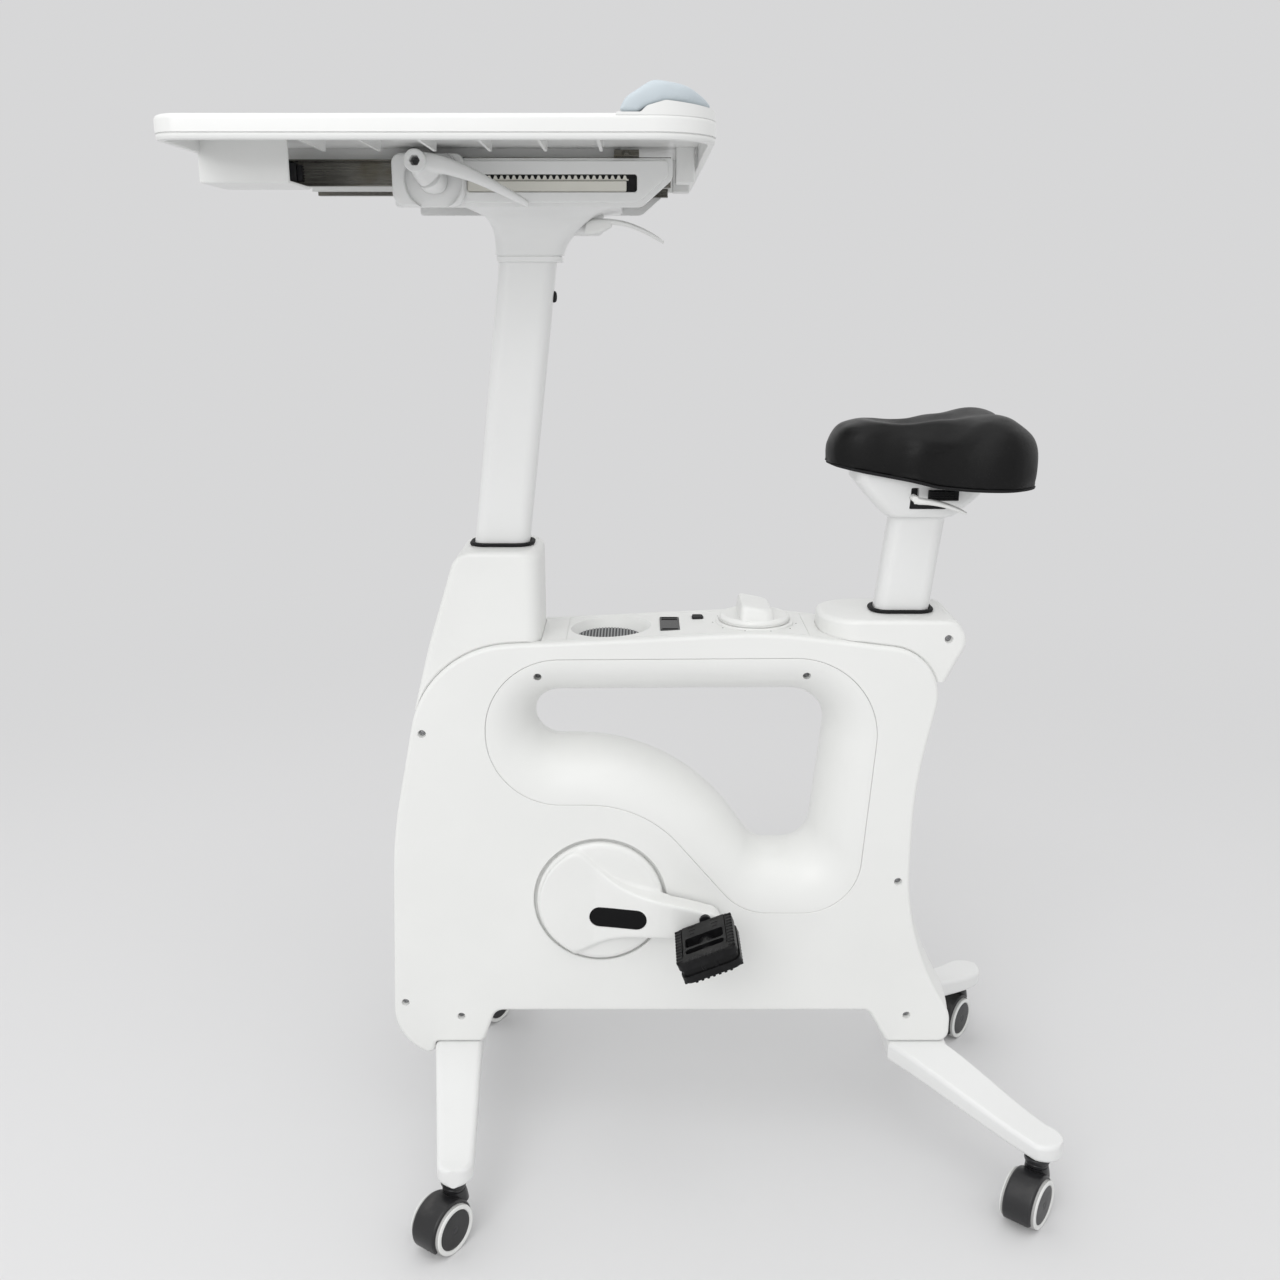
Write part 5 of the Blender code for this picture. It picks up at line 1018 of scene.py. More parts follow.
def strip(points, half, crown=0.0, crown_start=0):
    """Curved cover of even thickness along an open line, crowned across its width."""
    spans = 10 if crown else 2
    inner = shift_line(points, -WALL)
    loops = []
    for span in range(spans + 1):
        across = 2.0 * span / spans - 1.0
        outer = shift_line(points, crown * (1.0 - across ** 2), crown_start)
        loops.append(side_loop(outer + inner[::-1], half * across))
    return loft(loops)


def make_hood(name, corners, top, axis, rounds, lower, boss, node, floor):
    """End cover: a hood round the column above the shells and a strip between them below."""
    outline = rounded(corners)
    shell = rounded(SHELL_CORNERS)
    cavity = placed(hood_levels(outline, top, WALL, rounds, floor), z=-GAP)
    levels = [(RIM_HALF - GAP, GAP), (HOOD_HALF - 1.6, GAP), (HOOD_HALF, 2.4), (HOOD_HALF + 10.0, 2.4)]
    ring = prism(offset(rounded(RING_CORNERS, 24), 1.0), -HOOD_HALF - 9.0, HOOD_HALF + 9.0)
    room = loft([leaning_ring(axis, axis[1] + z, SLEEVE_ROOM) for z in (-20.0, 5.0)])
    body = cut(hood_levels(outline, top, 0.0, rounds, floor), cavity, flared(shell, levels, -1.0),
               flared(shell, levels), ring, room)
    if node == "rear_cover":
        body = cut(body, *[countersink(HOOD_SCREW[0], HOOD_HALF, HOOD_SCREW[1], side) for _, side in SIDES])
    body = cut(joined(body, lower), block(boss[0] - GAP, boss[1] + GAP, -BOSS_HALF - GAP, BOSS_HALF + GAP,
                                          SHOE_FLOOR - 5.0, SHOE_FLOOR + 10.0))
    emit(name, body, "housing_white", "root", [node])


def make_hoods():
    """Front and rear end covers, and the shoulder that fills the corners beside the rear hood's nose."""
    outline = rounded(SHELL_CORNERS)
    half = RIM_HALF - GAP
    front_line = stretch_of(outline, (-262.0, 600.0), (-181.0, HOUSING_FLOOR))
    front_line.append(Vector((-GAP / 2.0, HOUSING_FLOOR)))
    rear_line = stretch_of(outline, (286.0, HOUSING_FLOOR), (352.0, 600.0))
    rear_line.insert(0, Vector((GAP / 2.0, HOUSING_FLOOR)))
    corner = max(i for i, point in enumerate(rear_line) if point.y < SHOE_FLOOR + 6.0)
    make_hood("front_hood", FRONT_HOOD_CORNERS, FRONT_HOOD_TOP, DESK_AXIS, (7.0, 18.0),
              strip(front_line, half), FRONT_BOSS, "front_cover", 577.0)
    make_hood("rear_hood", REAR_HOOD_CORNERS, REAR_HOOD_TOP, SEAT_AXIS, (NOSE_ROUND, 8.0),
              strip(rear_line, half, REAR_CROWN, corner), REAR_BOSS, "rear_cover", 612.0)
    start = REAR_HOOD_START - GAP
    nose = rect_ring(REAR_HOOD_START - 0.2, 400.0, -HOOD_HALF, HOOD_HALF, NOSE_ROUND, 8.0, 16)
    shoulder = cut(top_strip([start + 4.0 * step for step in range(13)]),
                   loft([level_loop(offset(nose, 0.2), z) for z in (600.0, 720.0)]))
    emit("hood_shoulder", shoulder, "housing_white", "root")


def make_panel():
    """Control panel between the hoods with its cup bowl, pockets and knob seat."""
    start = FRONT_HOOD_BACK + GAP
    end = REAR_HOOD_START - GAP
    body = top_strip([start + (end - start) * step / PANEL_STEPS for step in range(PANEL_STEPS + 1)])
    cup_top = housing_top_at(CUP_X)
    floor = cup_top - CUP_DEPTH
    angles = [math.tau * step / ROUND_SIDES for step in range(ROUND_SIDES)]
    lower = [Vector((CUP_X + CUP_R * math.cos(a), CUP_R * math.sin(a), floor - PANEL_THICK)) for a in angles]
    upper = [Vector((p.x, p.y, housing_top_at(p.x) - 1.5)) for p in lower]
    bowl = [(40.0, floor), (41.6, floor + 1.2), (44.6, floor + 8.0), (46.6, cup_top - 1.6),
            (48.4, cup_top + 0.4), (52.0, cup_top + 5.0)]
    low = housing_top_at(DISPLAY_X) - 3.0
    pocket = centred_tower(DISPLAY_X, [(low, 11.8, 31.3, 1.6), (low + 20.0, 11.8, 31.3, 1.6)])
    seat = housing_top_at(BUTTON_X)
    hole = centred_tower(BUTTON_X, [(seat - 12.0, 6.9, 9.4, 3.0), (seat - 0.6, 6.9, 9.4, 3.0),
                                    (seat + 4.0, 9.0, 11.5, 5.0)], BUTTON_Y)
    body = cut(joined(body, loft([lower, upper])), placed(turned(bowl, "Z"), CUP_X), pocket, hole)
    seat = housing_top_at(KNOB_X)
    bezel = [(46.5, seat - 3.0), (46.5, seat + 0.4), (45.9, seat + 1.2), (44.9, seat + 1.5),
             (43.4, seat + 1.5)]
    body = cut(joined(body, placed(turned(bezel, "Z"), KNOB_X)),
               placed(rod(KNOB_R + 1.0, seat + 0.8, seat + 10.0, "Z"), KNOB_X),
               placed(rod(5.3, seat - 10.0, seat + 5.0, "Z", 32), KNOB_X))
    for x in PANEL_SEAMS:
        z = housing_top_at(x)
        body = cut(body, block(x - 0.35, x + 0.35, -60.0, 60.0, z - 0.7, z + 5.0))
    emit("control_panel", body, "housing_white", "root", ["top_panel"])
    make_mat(floor)
    make_marks()


def make_mat(floor):
    """Ribbed mat on the floor of the cup bowl; its ribs are a lighter copy of the dark mat, a painted
    highlight on their tops.
    """
    mat = placed(turned([(39.6, floor + 0.1), (39.6, floor + 0.7), (39.0, floor + 1.0)], "Z"), CUP_X)
    emit("cup_mat", mat, "mat_dark", "root")
    ribs = []
    for index in range(MAT_RIBS):
        x = MAT_START + MAT_PITCH * index
        reach = math.sqrt(max(1.0, 38.6 ** 2 - (abs(x) + 1.0) ** 2))
        rows = [(floor + 0.9, 0.95, reach, 0.6), (floor + 2.0, 0.85, reach - 0.2, 0.6),
                (floor + 2.4, 0.5, reach - 0.6, 0.4)]
        ribs.append(placed(centred_tower(x, rows, per_corner=3), CUP_X))
    # Ribs in a lighter copy of the mat's dark colour: painted highlight on the rib tops.
    emit("cup_ribs", gathered(ribs), "mat_rib_painted_highlight", "root")


def make_marks():
    """Plain level marks round the knob."""
    marks = []
    for index in range(MARK_COUNT):
        angle = math.radians(MARK_FIRST + MARK_SWEEP * index / (MARK_COUNT - 1.0))
        x = KNOB_X + MARK_CIRCLE * math.cos(angle)
        z = housing_top_at(x)
        mark = rod(0.9, z - 0.2, z + 0.08, "Z", 16)
        marks.append(placed(mark, x, MARK_CIRCLE * math.sin(angle)))
    emit("level_marks", gathered(marks), "trim_black", "root")


def make_display():
    """Dark window with a raised frame and a strip on either side of it."""
    top = housing_top_at(DISPLAY_X) + 0.9
    body = centred_tower(DISPLAY_X, [(top - 3.2, 11.4, 30.9, 1.3), (top - 0.5, 11.4, 30.9, 1.3),
                                     (top - 0.1, 11.0, 30.5, 1.0)])
    for y0, y1 in ((-28.6, -24.4), (-22.6, 21.0), (23.2, 28.6)):
        half = (y1 - y0) / 2.0
        rows = [(top - 0.8, 9.6, half, 1.0), (top + 2.0, 9.6, half, 1.0)]
        body = cut(body, centred_tower(DISPLAY_X, rows, (y0 + y1) / 2.0))
    emit("display_frame", body, "gloss_black", "root", ["display_window"])


def make_button():
    """Rounded reset button on its wider foot."""
    seat = housing_top_at(BUTTON_X)
    rows = [(seat - 8.5, 8.4, 10.9, 4.6), (seat - 4.7, 8.4, 10.9, 4.6), (seat - 4.6, 6.4, 8.9, 2.7),
            (seat + 1.1, 6.4, 8.9, 2.7), (seat + 1.7, 6.0, 8.5, 2.4), (seat + 2.0, 5.0, 7.5, 1.8)]
    emit("reset_cap", centred_tower(BUTTON_X, rows, BUTTON_Y), "rubber_black", "button",
         ["reset_button"])


def make_dial():
    """Resistance knob: a dished dial and a grip that slopes away to one side."""
    seat = housing_top_at(KNOB_X) + 1.1
    profile = [(5.0, -20.0), (5.0, 0.0), (40.8, 0.0), (41.6, 0.5), (KNOB_R, 1.6), (41.6, 5.0), (40.6, 7.0),
               (38.8, 8.2), (36.8, 8.3), (33.0, 7.2), (22.0, 6.2), (8.0, 6.0)]
    groove = [(43.0, 2.6), (41.2, 2.6), (41.2, 3.1), (43.0, 3.1)]
    dial = cut(placed(turned([(r, seat + z) for r, z in profile], "Z"), KNOB_X),
               placed(turned([(r, seat + z) for r, z in groove], "Z", bored=True), KNOB_X))
    loops = []
    for rise, x0, x1, half, radius in GRIP_ROWS:
        z = seat + rise
        ring = level_loop(rect_ring(x0, x1, -half, half, radius * 0.55, radius, 7), z)
        share = max(0.0, (z - seat - 8.0) / 22.0)
        for point in ring:
            point.z -= share * 9.0 * (point.x + 19.0) / 38.0
            point.x += KNOB_X
        loops.append(ring)
    emit("dial_knob", joined(dial, loft(loops)), "housing_white", "knob",
         ["resistance_knob"])


# Cranks and pedals

def arm_face(reach):
    """Outer face of the crank arm at a distance from the axle."""
    share = (reach + 36.0) / 165.0
    rise = 0.5 - 0.5 * math.cos(math.pi * min(1.0, max(0.0, share * 1.25)))
    return 73.5 + 22.5 * rise


ARM_EDGES = [
    (-73.0, 12.0, -12.0), (-66.0, 33.0, -33.0), (-56.0, 48.0, -48.0), (-45.0, 58.6, -58.6),
    (-36.0, 64.0, -64.6), (-28.0, 64.0, -67.4), (-18.0, 57.4, -63.0), (-6.0, 47.0, -56.4),
    (8.0, 36.6, -48.0), (24.0, 27.6, -41.8), (45.0, 20.6, -37.0), (73.0, 15.6, -33.6),
    (100.0, 11.4, -32.6), (120.0, 7.2, -33.0),
]


def crank_arm(side):
    """Arm that spreads over one side of the disc and tapers to a round tip."""
    rows = finer(ARM_EDGES, 2)
    for degrees in (0.0, 18.0, 36.0, 53.0, 68.0, 80.0):
        angle = math.radians(degrees)
        half = CRANK_TIP_R * math.cos(angle)
        rows.append((CRANK_LENGTH + CRANK_TIP_R * math.sin(angle), half - CRANK_DROP, -half - CRANK_DROP))
    loops = []
    for reach, high, low in rows:
        face = max(76.0, arm_face(reach)) - (3.0 * max(0.0, (reach - 129.0) / 19.0) ** 3)
        back = 63.0 if reach < 56.0 else 63.0 + min(7.0, (reach - 56.0) * 0.7)
        flank = 6.0 * min(1.0, max(0.0, (reach + 40.0) / 20.0)) * min(1.0, max(0.0, (84.0 - reach) / 24.0))
        foot = max(70.6, back + 1.0)
        rise = face - foot
        ease = min(3.2, (high - low) * 0.2)
        half = [(flank, back), (flank, foot), (flank * 0.35, foot + rise * 0.2),
                (-0.4, face - min(1.6, rise * 0.4)), (-ease, face - 0.2), (-ease * 2.0, face)]
        points = [(low - out, y) for out, y in half] + [(high + out, y) for out, y in half[::-1]]
        loops.append([Vector((CRANK[0] + reach, side * y, CRANK[2] + h)) for h, y in points])
    return loft(loops)


def oblong(side, grow, depth, height):
    """Oblong set on the sloping face of the arm, from a depth in it to a height over it."""
    left, right = PLUG_X
    radius = PLUG_R + grow
    ring = rect_ring(left - grow, right + grow, -radius, radius, radius - 0.1, None, 10)
    first = arm_face(left)
    slope = (arm_face(right) - first) / (right - left)
    middle = (left + right) / 2.0
    loops = []
    for level, inset in ((-depth, 0.0), (height - 0.5, 0.0), (height, 0.5)):
        loops.append([Vector((CRANK[0] + p.x, side * (first + slope * (p.x - left) + level),
                              CRANK[2] - CRANK_DROP + p.y + (p.x - middle) * PLUG_RISE))
                      for p in offset(ring, -inset)])
    return loft(loops)


def crank_turn(side):
    """Angle of one side's crank about the axle."""
    return CRANK_TILT if side < 0.0 else CRANK_TILT + math.pi


def make_crank(side_name, side):
    """Crank with its disc, sculpted arm and pedal spindle, the plug over its bolt and the nut at its tip."""
    turn = crank_turn(side)
    disc = [(20.0, 60.0), (75.6, 60.0), (77.0, 61.2), (77.0, 65.4), (76.4, 67.4), (74.8, 69.0), (71.0, 70.2),
            (62.0, 70.8), (24.0, 71.0)]
    body = joined(placed(turned(disc, side=side), *CRANK), crank_arm(side))
    body = blended(body, 0.9, 9)
    tip = (CRANK[0] + CRANK_LENGTH, 0.0, CRANK[2] - CRANK_DROP)
    spindle = [(9.0, 88.0), (9.0, 100.2), (8.6, 100.7), (6.0, 100.7), (6.0, 179.0)]
    body = joined(body, placed(turned(spindle, sides=48, side=side), *tip))
    body = cut(body, placed(rod(9.8, 55.0, 69.3, sides=48, side=side), *CRANK), oblong(side, 0.35, 3.4, 14.0))
    emit("crank_arm_" + side_name, spun(body, CRANK, turn), "housing_white", "crank",
         ["crank_" + side_name])
    plug = spun(oblong(side, 0.0, 3.0, -0.1), CRANK, turn)
    emit("crank_cap_" + side_name, plug, "gloss_black", "crank", ["crank_plug_" + side_name])
    nut = turned([(7.0, 95.2), (7.0, 99.4), (6.2, 100.2), (2.0, 100.4)], sides=40, side=side)
    nut = spun(placed(nut, tip[0] - 2.0, 0.0, tip[2] + 10.6), CRANK, turn)
    emit("spindle_nut_" + side_name, nut, "trim_black", "crank")


def stud(x, y, z, half_x, half_y):
    """Small block of the pedal's tread."""
    return soft_block(x - half_x, x + half_x, y - half_y, y + half_y, z - 1.9, z + 1.9, 0.9)


def make_pedal(side_name, side):
    """Pedal: a frame with two windows and grooves, toothed treads and a spindle barrel."""
    turn = crank_turn(side)
    x = CRANK[0] + CRANK_LENGTH * math.cos(turn) - CRANK_DROP * math.sin(turn)
    z = CRANK[2] - CRANK_LENGTH * math.sin(turn) - CRANK_DROP * math.cos(turn)
    middle = side * (PEDAL_START + PEDAL_LENGTH / 2.0)
    half_x = PEDAL_WIDTH / 2.0 - 1.6
    half_y = PEDAL_LENGTH / 2.0 - 0.8
    half_z = PEDAL_THICK / 2.0 - 1.4
    rows = [(-half_z, 2.6), (-half_z + 0.9, 1.0), (-half_z + 2.8, 0.0), (half_z - 2.8, 0.0),
            (half_z - 0.9, 1.0), (half_z, 2.6)]
    body = tower([(z + level, x - half_x + inset, x + half_x - inset, half_y - inset, 10.0)
                  for level, inset in rows], middle)
    for start, end in ((32.0, 53.0), (57.5, 68.0)):
        half = (end - start) / 2.0
        window = [(z - 30.0, 23.5, half, 4.0), (z + 30.0, 23.5, half, 4.0)]
        body = cut(body, centred_tower(x, window, side * (PEDAL_START + (start + end) / 2.0)))
    for along, level in FOUR_CORNERS:
        groove = block(x + along * 27.0 - 0.7, x + along * 27.0 + 0.7, side * (PEDAL_START - 1.0),
                       side * (PEDAL_START + 72.0), z + level * (half_z - 2.0), z + level * (half_z + 3.0))
        body = cut(body, groove)
    belt = tower([(level, x - half_x - 4.0, x + half_x + 4.0, half_y + 4.0, 12.0)
                  for level in (z - 4.0, z + 4.0)], middle)
    core = tower([(level, x - half_x + 2.2, x + half_x - 2.2, half_y - 2.2, 8.6)
                  for level in (z - 5.0, z + 5.0)], middle)
    barrel = [(6.6, 0.2), (9.6, 0.2), (10.6, 2.0), (10.6, 81.0), (9.4, 83.6), (6.6, 83.6)]
    barrel = turned([(r, PEDAL_START + y) for r, y in barrel], sides=40, bored=True, side=side)
    parts = [cut(body, cut(belt, core)), placed(barrel, x, 0.0, z)]
    for level in (-1.0, 1.0):
        for along in (-14.0, 14.0):
            for index in range(3):
                start = PEDAL_START + 6.0 + index * 8.0
                parts.append(soft_block(x + along - 5.0 + index, x + along + 5.0 - index, side * start,
                                        side * (start + 2.4), z + level * (half_z - 1.0),
                                        z + level * (half_z + 0.5), 0.6))
    for index in range(11):
        y = side * (PEDAL_START + 8.0 + index * TREAD_PITCH)
        for along, level in FOUR_CORNERS:
            parts.append(stud(x + along * (half_x - 4.2), y, z + level * (half_z - 1.3), 4.0, 1.7))
    for index in range(7):
        y = side * (PEDAL_START + PEDAL_LENGTH - 4.6)
        for level in (-1.0, 1.0):
            parts.append(stud(x - 21.0 + index * TREAD_PITCH, y, z + level * (half_z - 1.3), 1.7, 3.6))
    for part in parts:
        spun(part, (x, 0.0, z), PEDAL_TILT)
    emit("pedal_body_" + side_name, gathered(parts), "pedal_black", "pedal_" + side_name,
         ["pedal_" + side_name])


# Columns, desk head and desktop

def make_tube(name, axis, bottom, top, node, body):
    """Painted column with a rounded section."""
    rings = [(bottom, 0.0), (top - 0.8, 0.0), (top, -0.8), (top, -COLUMN_WALL), (bottom, -COLUMN_WALL)]
    tube = loft([leaning_ring(axis, z, grow) for z, grow in rings], closed=True)
    emit(name, tube, "paint_white", body, [node])


def make_columns():
    """Both columns, the button on the desk column and the rubber gaskets that the columns slide through."""
    make_tube("desk_post_tube", DESK_AXIS, 436.0, 1124.7, "desk_column", "desk_post")
    button = turned([(6.4, -2.0), (6.4, 0.8), (5.8, 2.4), (4.2, 3.4), (1.5, 3.8)], "Z", 40)
    spun(button, (0.0, 0.0, 0.0), math.pi / 2.0)
    emit("post_button", placed(button, lean_at(DESK_AXIS, 1047.0) + COLUMN_X / 2.0, 0.0, 1047.0),
         "rubber_black", "desk_post")
    make_tube("seat_post_tube", SEAT_AXIS, 325.0, 830.7, "seat_column", "seat_post")
    profile = [(5.4, 0.0), (6.0, 0.8), (6.0, 2.2), (5.2, 3.4), (3.4, 4.0), (1.6, 3.7), (0.5, 2.6),
               (0.35, 1.2), (0.35, 0.0)]
    for place, axis in (("front", DESK_AXIS), ("rear", SEAT_AXIS)):
        gasket = loft([leaning_ring(axis, axis[1] + GAP + rise, grow) for grow, rise in profile], closed=True)
        emit(place + "_gasket", gasket, "rubber_black", "root", [place + "_collar"])


def make_yoke():
    """Flared yoke with its lip round the column and the lug of the height lever."""
    lip = [(HEAD_NECK_BOTTOM, -158.2, -86.4, 23.0, 13.0), (1084.6, -158.8, -85.8, 23.6, 13.6),
           (1089.6, -158.8, -85.8, 23.6, 13.6), (1090.2, -157.6, -87.0, 22.6, 13.0),
           (1091.2, -157.6, -87.0, 22.6, 13.0)]
    rim = [(1148.4, -185.0, -20.0, 77.1, 5.0), (1149.0, -184.4, -20.6, 76.5, 4.6)]
    x, z = HEIGHT_PIVOT
    body = cut(tower(lip + finer(HEAD_SECTIONS, 4) + rim, 0.0, 10),
               *[block(x - 12.0, x + 20.0, side * 7.0, side * 17.0, z - 20.0, z + 10.0) for _, side in SIDES])
    body = joined(body, soft_block(x - 26.0, x + 12.0, -9.0, 9.0, z - 9.0, z + 18.0, 7.5))
    body = cut(body, loft([leaning_ring(DESK_AXIS, height, GAP) for height in (1079.0, 1125.0)]),
               placed(rod(3.8, -12.0, 12.0, sides=24), x, 0.0, z))
    emit("desk_yoke", body, "paint_white", "desk_post", ["desk_head"])


def make_bracket(side_name, side):
    """Slotted side bracket with a raised face, the block of the clamp at its far end and a toothed bar."""
    body = joined(soft_plate(rounded(BRACKET_CORNERS), side * BRACKET_INNER, side * 81.4, 1.2),
                  soft_plate(rounded(BRACKET_FACE), side * 79.0, side * 84.0, 1.6),
                  soft_plate(rounded(END_BLOCK_CORNERS), side * BRACKET_INNER, side * 92.0, 3.0))
    slot = rounded(BRACKET_SLOT)
    x, z = CLAMP_PIVOT
    sink = [(28.4, 85.0), (29.4, 85.6), (30.0, 87.0), (30.0, 91.0), (31.2, 92.0), (36.0, 96.8)]
    body = cut(body, flared(slot, [(74.0, 0.0), (83.2, 0.0), (84.0, 0.8), (96.0, 0.8)], side),
               placed(turned(sink, side=side), x, 0.0, z),
               placed(rod(6.3, 74.0, 95.0, sides=40, side=side), x, 0.0, z))
    emit("side_bracket_" + side_name, body, "paint_white", "desk_post",
         ["bracket_" + side_name])
    # Black sheet just behind the slot: painted shade in the slot's depth.
    back = prism(offset(slot, -GAP), side * 77.5, side * 78.0)
    emit("slot_painted_shade_" + side_name, back, "trim_black", "desk_post")
    bar = rounded([(-179.5, 1152.8, 1.0), (-14.0, 1152.8, 2.0), (-14.0, 1163.4, 1.0), (-179.5, 1163.4, 1.0)])
    emit("slot_bar_" + side_name, soft_plate(bar, side * 78.1, side * 82.2, 0.8), "bar_grey",
         "desk_post")
    teeth = [block(-179.0, -12.0, side * 78.1, side * 80.0, 1164.0, 1165.4)]
    for index in range(TOOTH_COUNT):
        left = -178.0 + index * TOOTH_PITCH
        tooth = [Vector((left, 1165.3)), Vector((left + 4.6, 1165.3)), Vector((left + 3.2, 1168.9)),
                 Vector((left + 1.4, 1168.9))]
        teeth.append(prism(tooth, side * 78.1, side * 81.0))
    emit("slot_teeth_" + side_name, gathered(teeth), "bar_grey", "desk_post")


def make_slide_details(side_name, side):
    """Ball strip, end stop and clip of a telescopic slide."""
    face = soft_block(-352.0, -60.0, side * 66.6, side * 67.4, 1161.5, 1182.5, 0.3)
    face = cut(face, *[placed(rod(2.6, 60.0, 75.0, sides=24, side=side), x, 0.0, 1172.0)
                       for x in (-330.0, -240.0, -150.0)])
    emit("slide_face_" + side_name, face, "steel_bright", "desk_plate")
    stop = gathered([soft_block(-368.5, -358.0, side * 66.7, side * 73.6, 1161.2, 1182.6, 1.4),
                     soft_block(-357.6, -352.4, side * 66.7, side * 72.0, 1164.0, 1180.0, 1.0)])
    emit("slide_stop_" + side_name, stop, "trim_black", "desk_plate")
    head = turned([(4.4, 1188.6), (4.4, 1191.4), (3.6, 1192.4), (1.0, 1192.8)], "Z", 24)
    clip = gathered([soft_block(-27.0, -1.0, side * 68.0, side * 69.6, 1187.4, 1195.4, 0.5),
                     soft_block(-27.0, -1.0, side * 68.0, side * 84.0, 1187.3, 1188.6, 0.4),
                     placed(head, -14.0, side * 77.0)])
    emit("slide_clip_" + side_name, clip, "steel_bright", "desk_post")


def desk_outline(inset):
    """Plan of the desktop, drawn in by an inset."""
    front = DESK_FRONT + inset
    back = DESK_BACK - inset
    half = DESK_HALF - inset
    return rect_ring(front, back, -half, half, DESK_FRONT_ROUND - inset, DESK_BACK_ROUND - inset, 24)


def desk_half_at(x, inset):
    """Half width of the desktop's plan at one x."""
    reach = DESK_FRONT + DESK_FRONT_ROUND - x
    if reach <= 0.0:
        return DESK_HALF - inset
    radius = DESK_FRONT_ROUND - inset
    return DESK_HALF - DESK_FRONT_ROUND + math.sqrt(max(0.0, radius ** 2 - reach ** 2))


def make_desktop():
    """Desktop with a parting line round its edge, ribs, rails, end boxes, a tray and the raised rim."""
    rings = [
        (8.0, DESK_CEILING), (8.0, SKIRT_BOTTOM + 1.2), (7.4, SKIRT_BOTTOM + 0.3), (6.4, SKIRT_BOTTOM),
        (3.4, SKIRT_BOTTOM), (1.6, 1179.2), (0.7, 1180.6), (0.5, 1182.0), (0.5, 1183.4), (1.5, 1183.8),
        (1.5, 1184.3), (0.0, 1184.8), (0.0, 1195.0), (0.4, 1196.9), (1.4, 1198.4), (3.0, 1199.5),
        (5.0, DESK_TOP),
    ]
    body = loft([level_loop(desk_outline(inset), z) for inset, z in rings])
    into = DESK_CEILING + 1.0
    for index in range(RIB_COUNT):
        x = RIB_START + RIB_PITCH * index
        section = [Vector((x, 1187.0)), Vector((x + 3.0, 1187.0)), Vector((x + 3.6, into)),
                   Vector((x - 0.6, into))]
        reach = desk_half_at(x - 3.0, 8.0) - 6.0
        body = joined(body, *[prism(section, side * 135.0, side * reach) for _, side in SIDES])
    for _, side in SIDES:
        body = joined(body, block(RAIL[0], RAIL[1], side * RAIL[2], side * RAIL[3], RAIL[4], into),
                      soft_block(37.0, 57.0, side * 56.0, side * 77.4, 1161.5, into, 2.0))
    x0, x1, y0, y1, low = TRAY
    tray = cut(soft_block(x0, x1, y0, y1, low, into + 2.0, 2.0),
               block(x0 + 3.0, x1 + 11.0, y0 + WALL, y1 + 16.0, low + 2.5, into + 6.0),
               block(x0 - 14.0, x1 + 11.0, y0 - 11.0, y1 + 16.0, into, into + 9.0))
    rim = prism(rounded(DESK_RIM_CORNERS), -DESK_HALF - 9.0, DESK_HALF + 9.0)
    limit = loft([level_loop(desk_outline(0.6), z) for z in (DESK_TOP - 40.0, DESK_TOP + 60.0)])
    body = joined(body, tray, combined(rim, limit, "INTERSECT"))
    emit("desk_board", body, "desk_white", "desk_plate", ["desktop"])


def make_wrist_pad():
    """Firm foam pad over the raised rim, its edges softened."""
    shape = prism(rounded(WRIST_PAD_CORNERS), -DESK_HALF, DESK_HALF)
    limit = loft([level_loop(desk_outline(inset), DESK_TOP + rise)
                  for inset, rise in ((4.0, -5.0), (4.0, 14.0), (7.0, 30.0))])
    pad = blended(combined(shape, limit, "INTERSECT"), 2.2, 3)
    obj = emit("wrist_cushion", pad, "pad_grey", "desk_plate", ["wrist_pad"], 60.0, False)
    swell(obj, 0.003, 1.5, bpy.context.scene.bike_padding.wrist_swell)


def make_clamp_handle():
    """Cast cam handle: a tube at its front end, a curved blade and a swept boss."""
    hub_x, hub_z = CLAMP_HUB
    tube = [(10.4, 97.0), (11.4, 101.0), (11.4, 121.4), (10.8, 122.7), (9.6, 123.0), (6.2, 123.0)]
    hub = placed(turned(tube, sides=48, side=-1.0), hub_x, 0.0, hub_z)
    arm = finer([
        (hub_x - 2.0, -106.0, hub_z + 0.5, 9.6, 8.8), (hub_x + 14.0, -106.4, hub_z - 1.0, 9.4, 8.6),
        (hub_x + 34.0, -107.0, hub_z - 5.5, 8.0, 8.4), (hub_x + 58.0, -107.6, hub_z - 14.0, 6.4, 8.4),
        (hub_x + 82.0, -108.0, hub_z - 25.5, 4.9, 8.4), (-120.0, -107.6, 1142.0, 3.6, 7.8),
        (-114.0, -107.2, 1138.6, 2.4, 6.0),
    ], 5)
    x, z = CLAMP_PIVOT
    boss = finer([
        (x, -86.4, z, 13.8, 13.8), (x - 0.5, -91.0, z + 0.6, 13.9, 13.9),
        (x - 3.5, -97.0, z + 4.0, 13.6, 13.6), (x - 9.0, -103.0, z + 10.5, 12.2, 12.2),
        (x - 13.0, -108.0, z + 15.5, 10.2, 10.2),
    ], 4)
    body = blended(joined(hub, swept(arm), swept(boss)), 0.8, 8)
    bore = turned([(5.8, 127.0), (5.8, 121.0), (5.0, 120.0), (5.0, 104.0)], sides=6, side=-1.0)
    body = cut(body, placed(bore, hub_x, 0.0, hub_z))
    body = joined(body, placed(rod(6.0, -78.4, -90.0, sides=40), x, 0.0, z))
    emit("clamp_handle", body, "paint_white", "clamp", ["clamp_lever"], 40.0)
    core = placed(turned([(5.5, 104.0), (5.5, 106.0), (2.0, 106.0)], sides=24, side=-1.0), hub_x, 0.0, hub_z)
    emit("clamp_bolt", core, "steel_dark", "clamp")


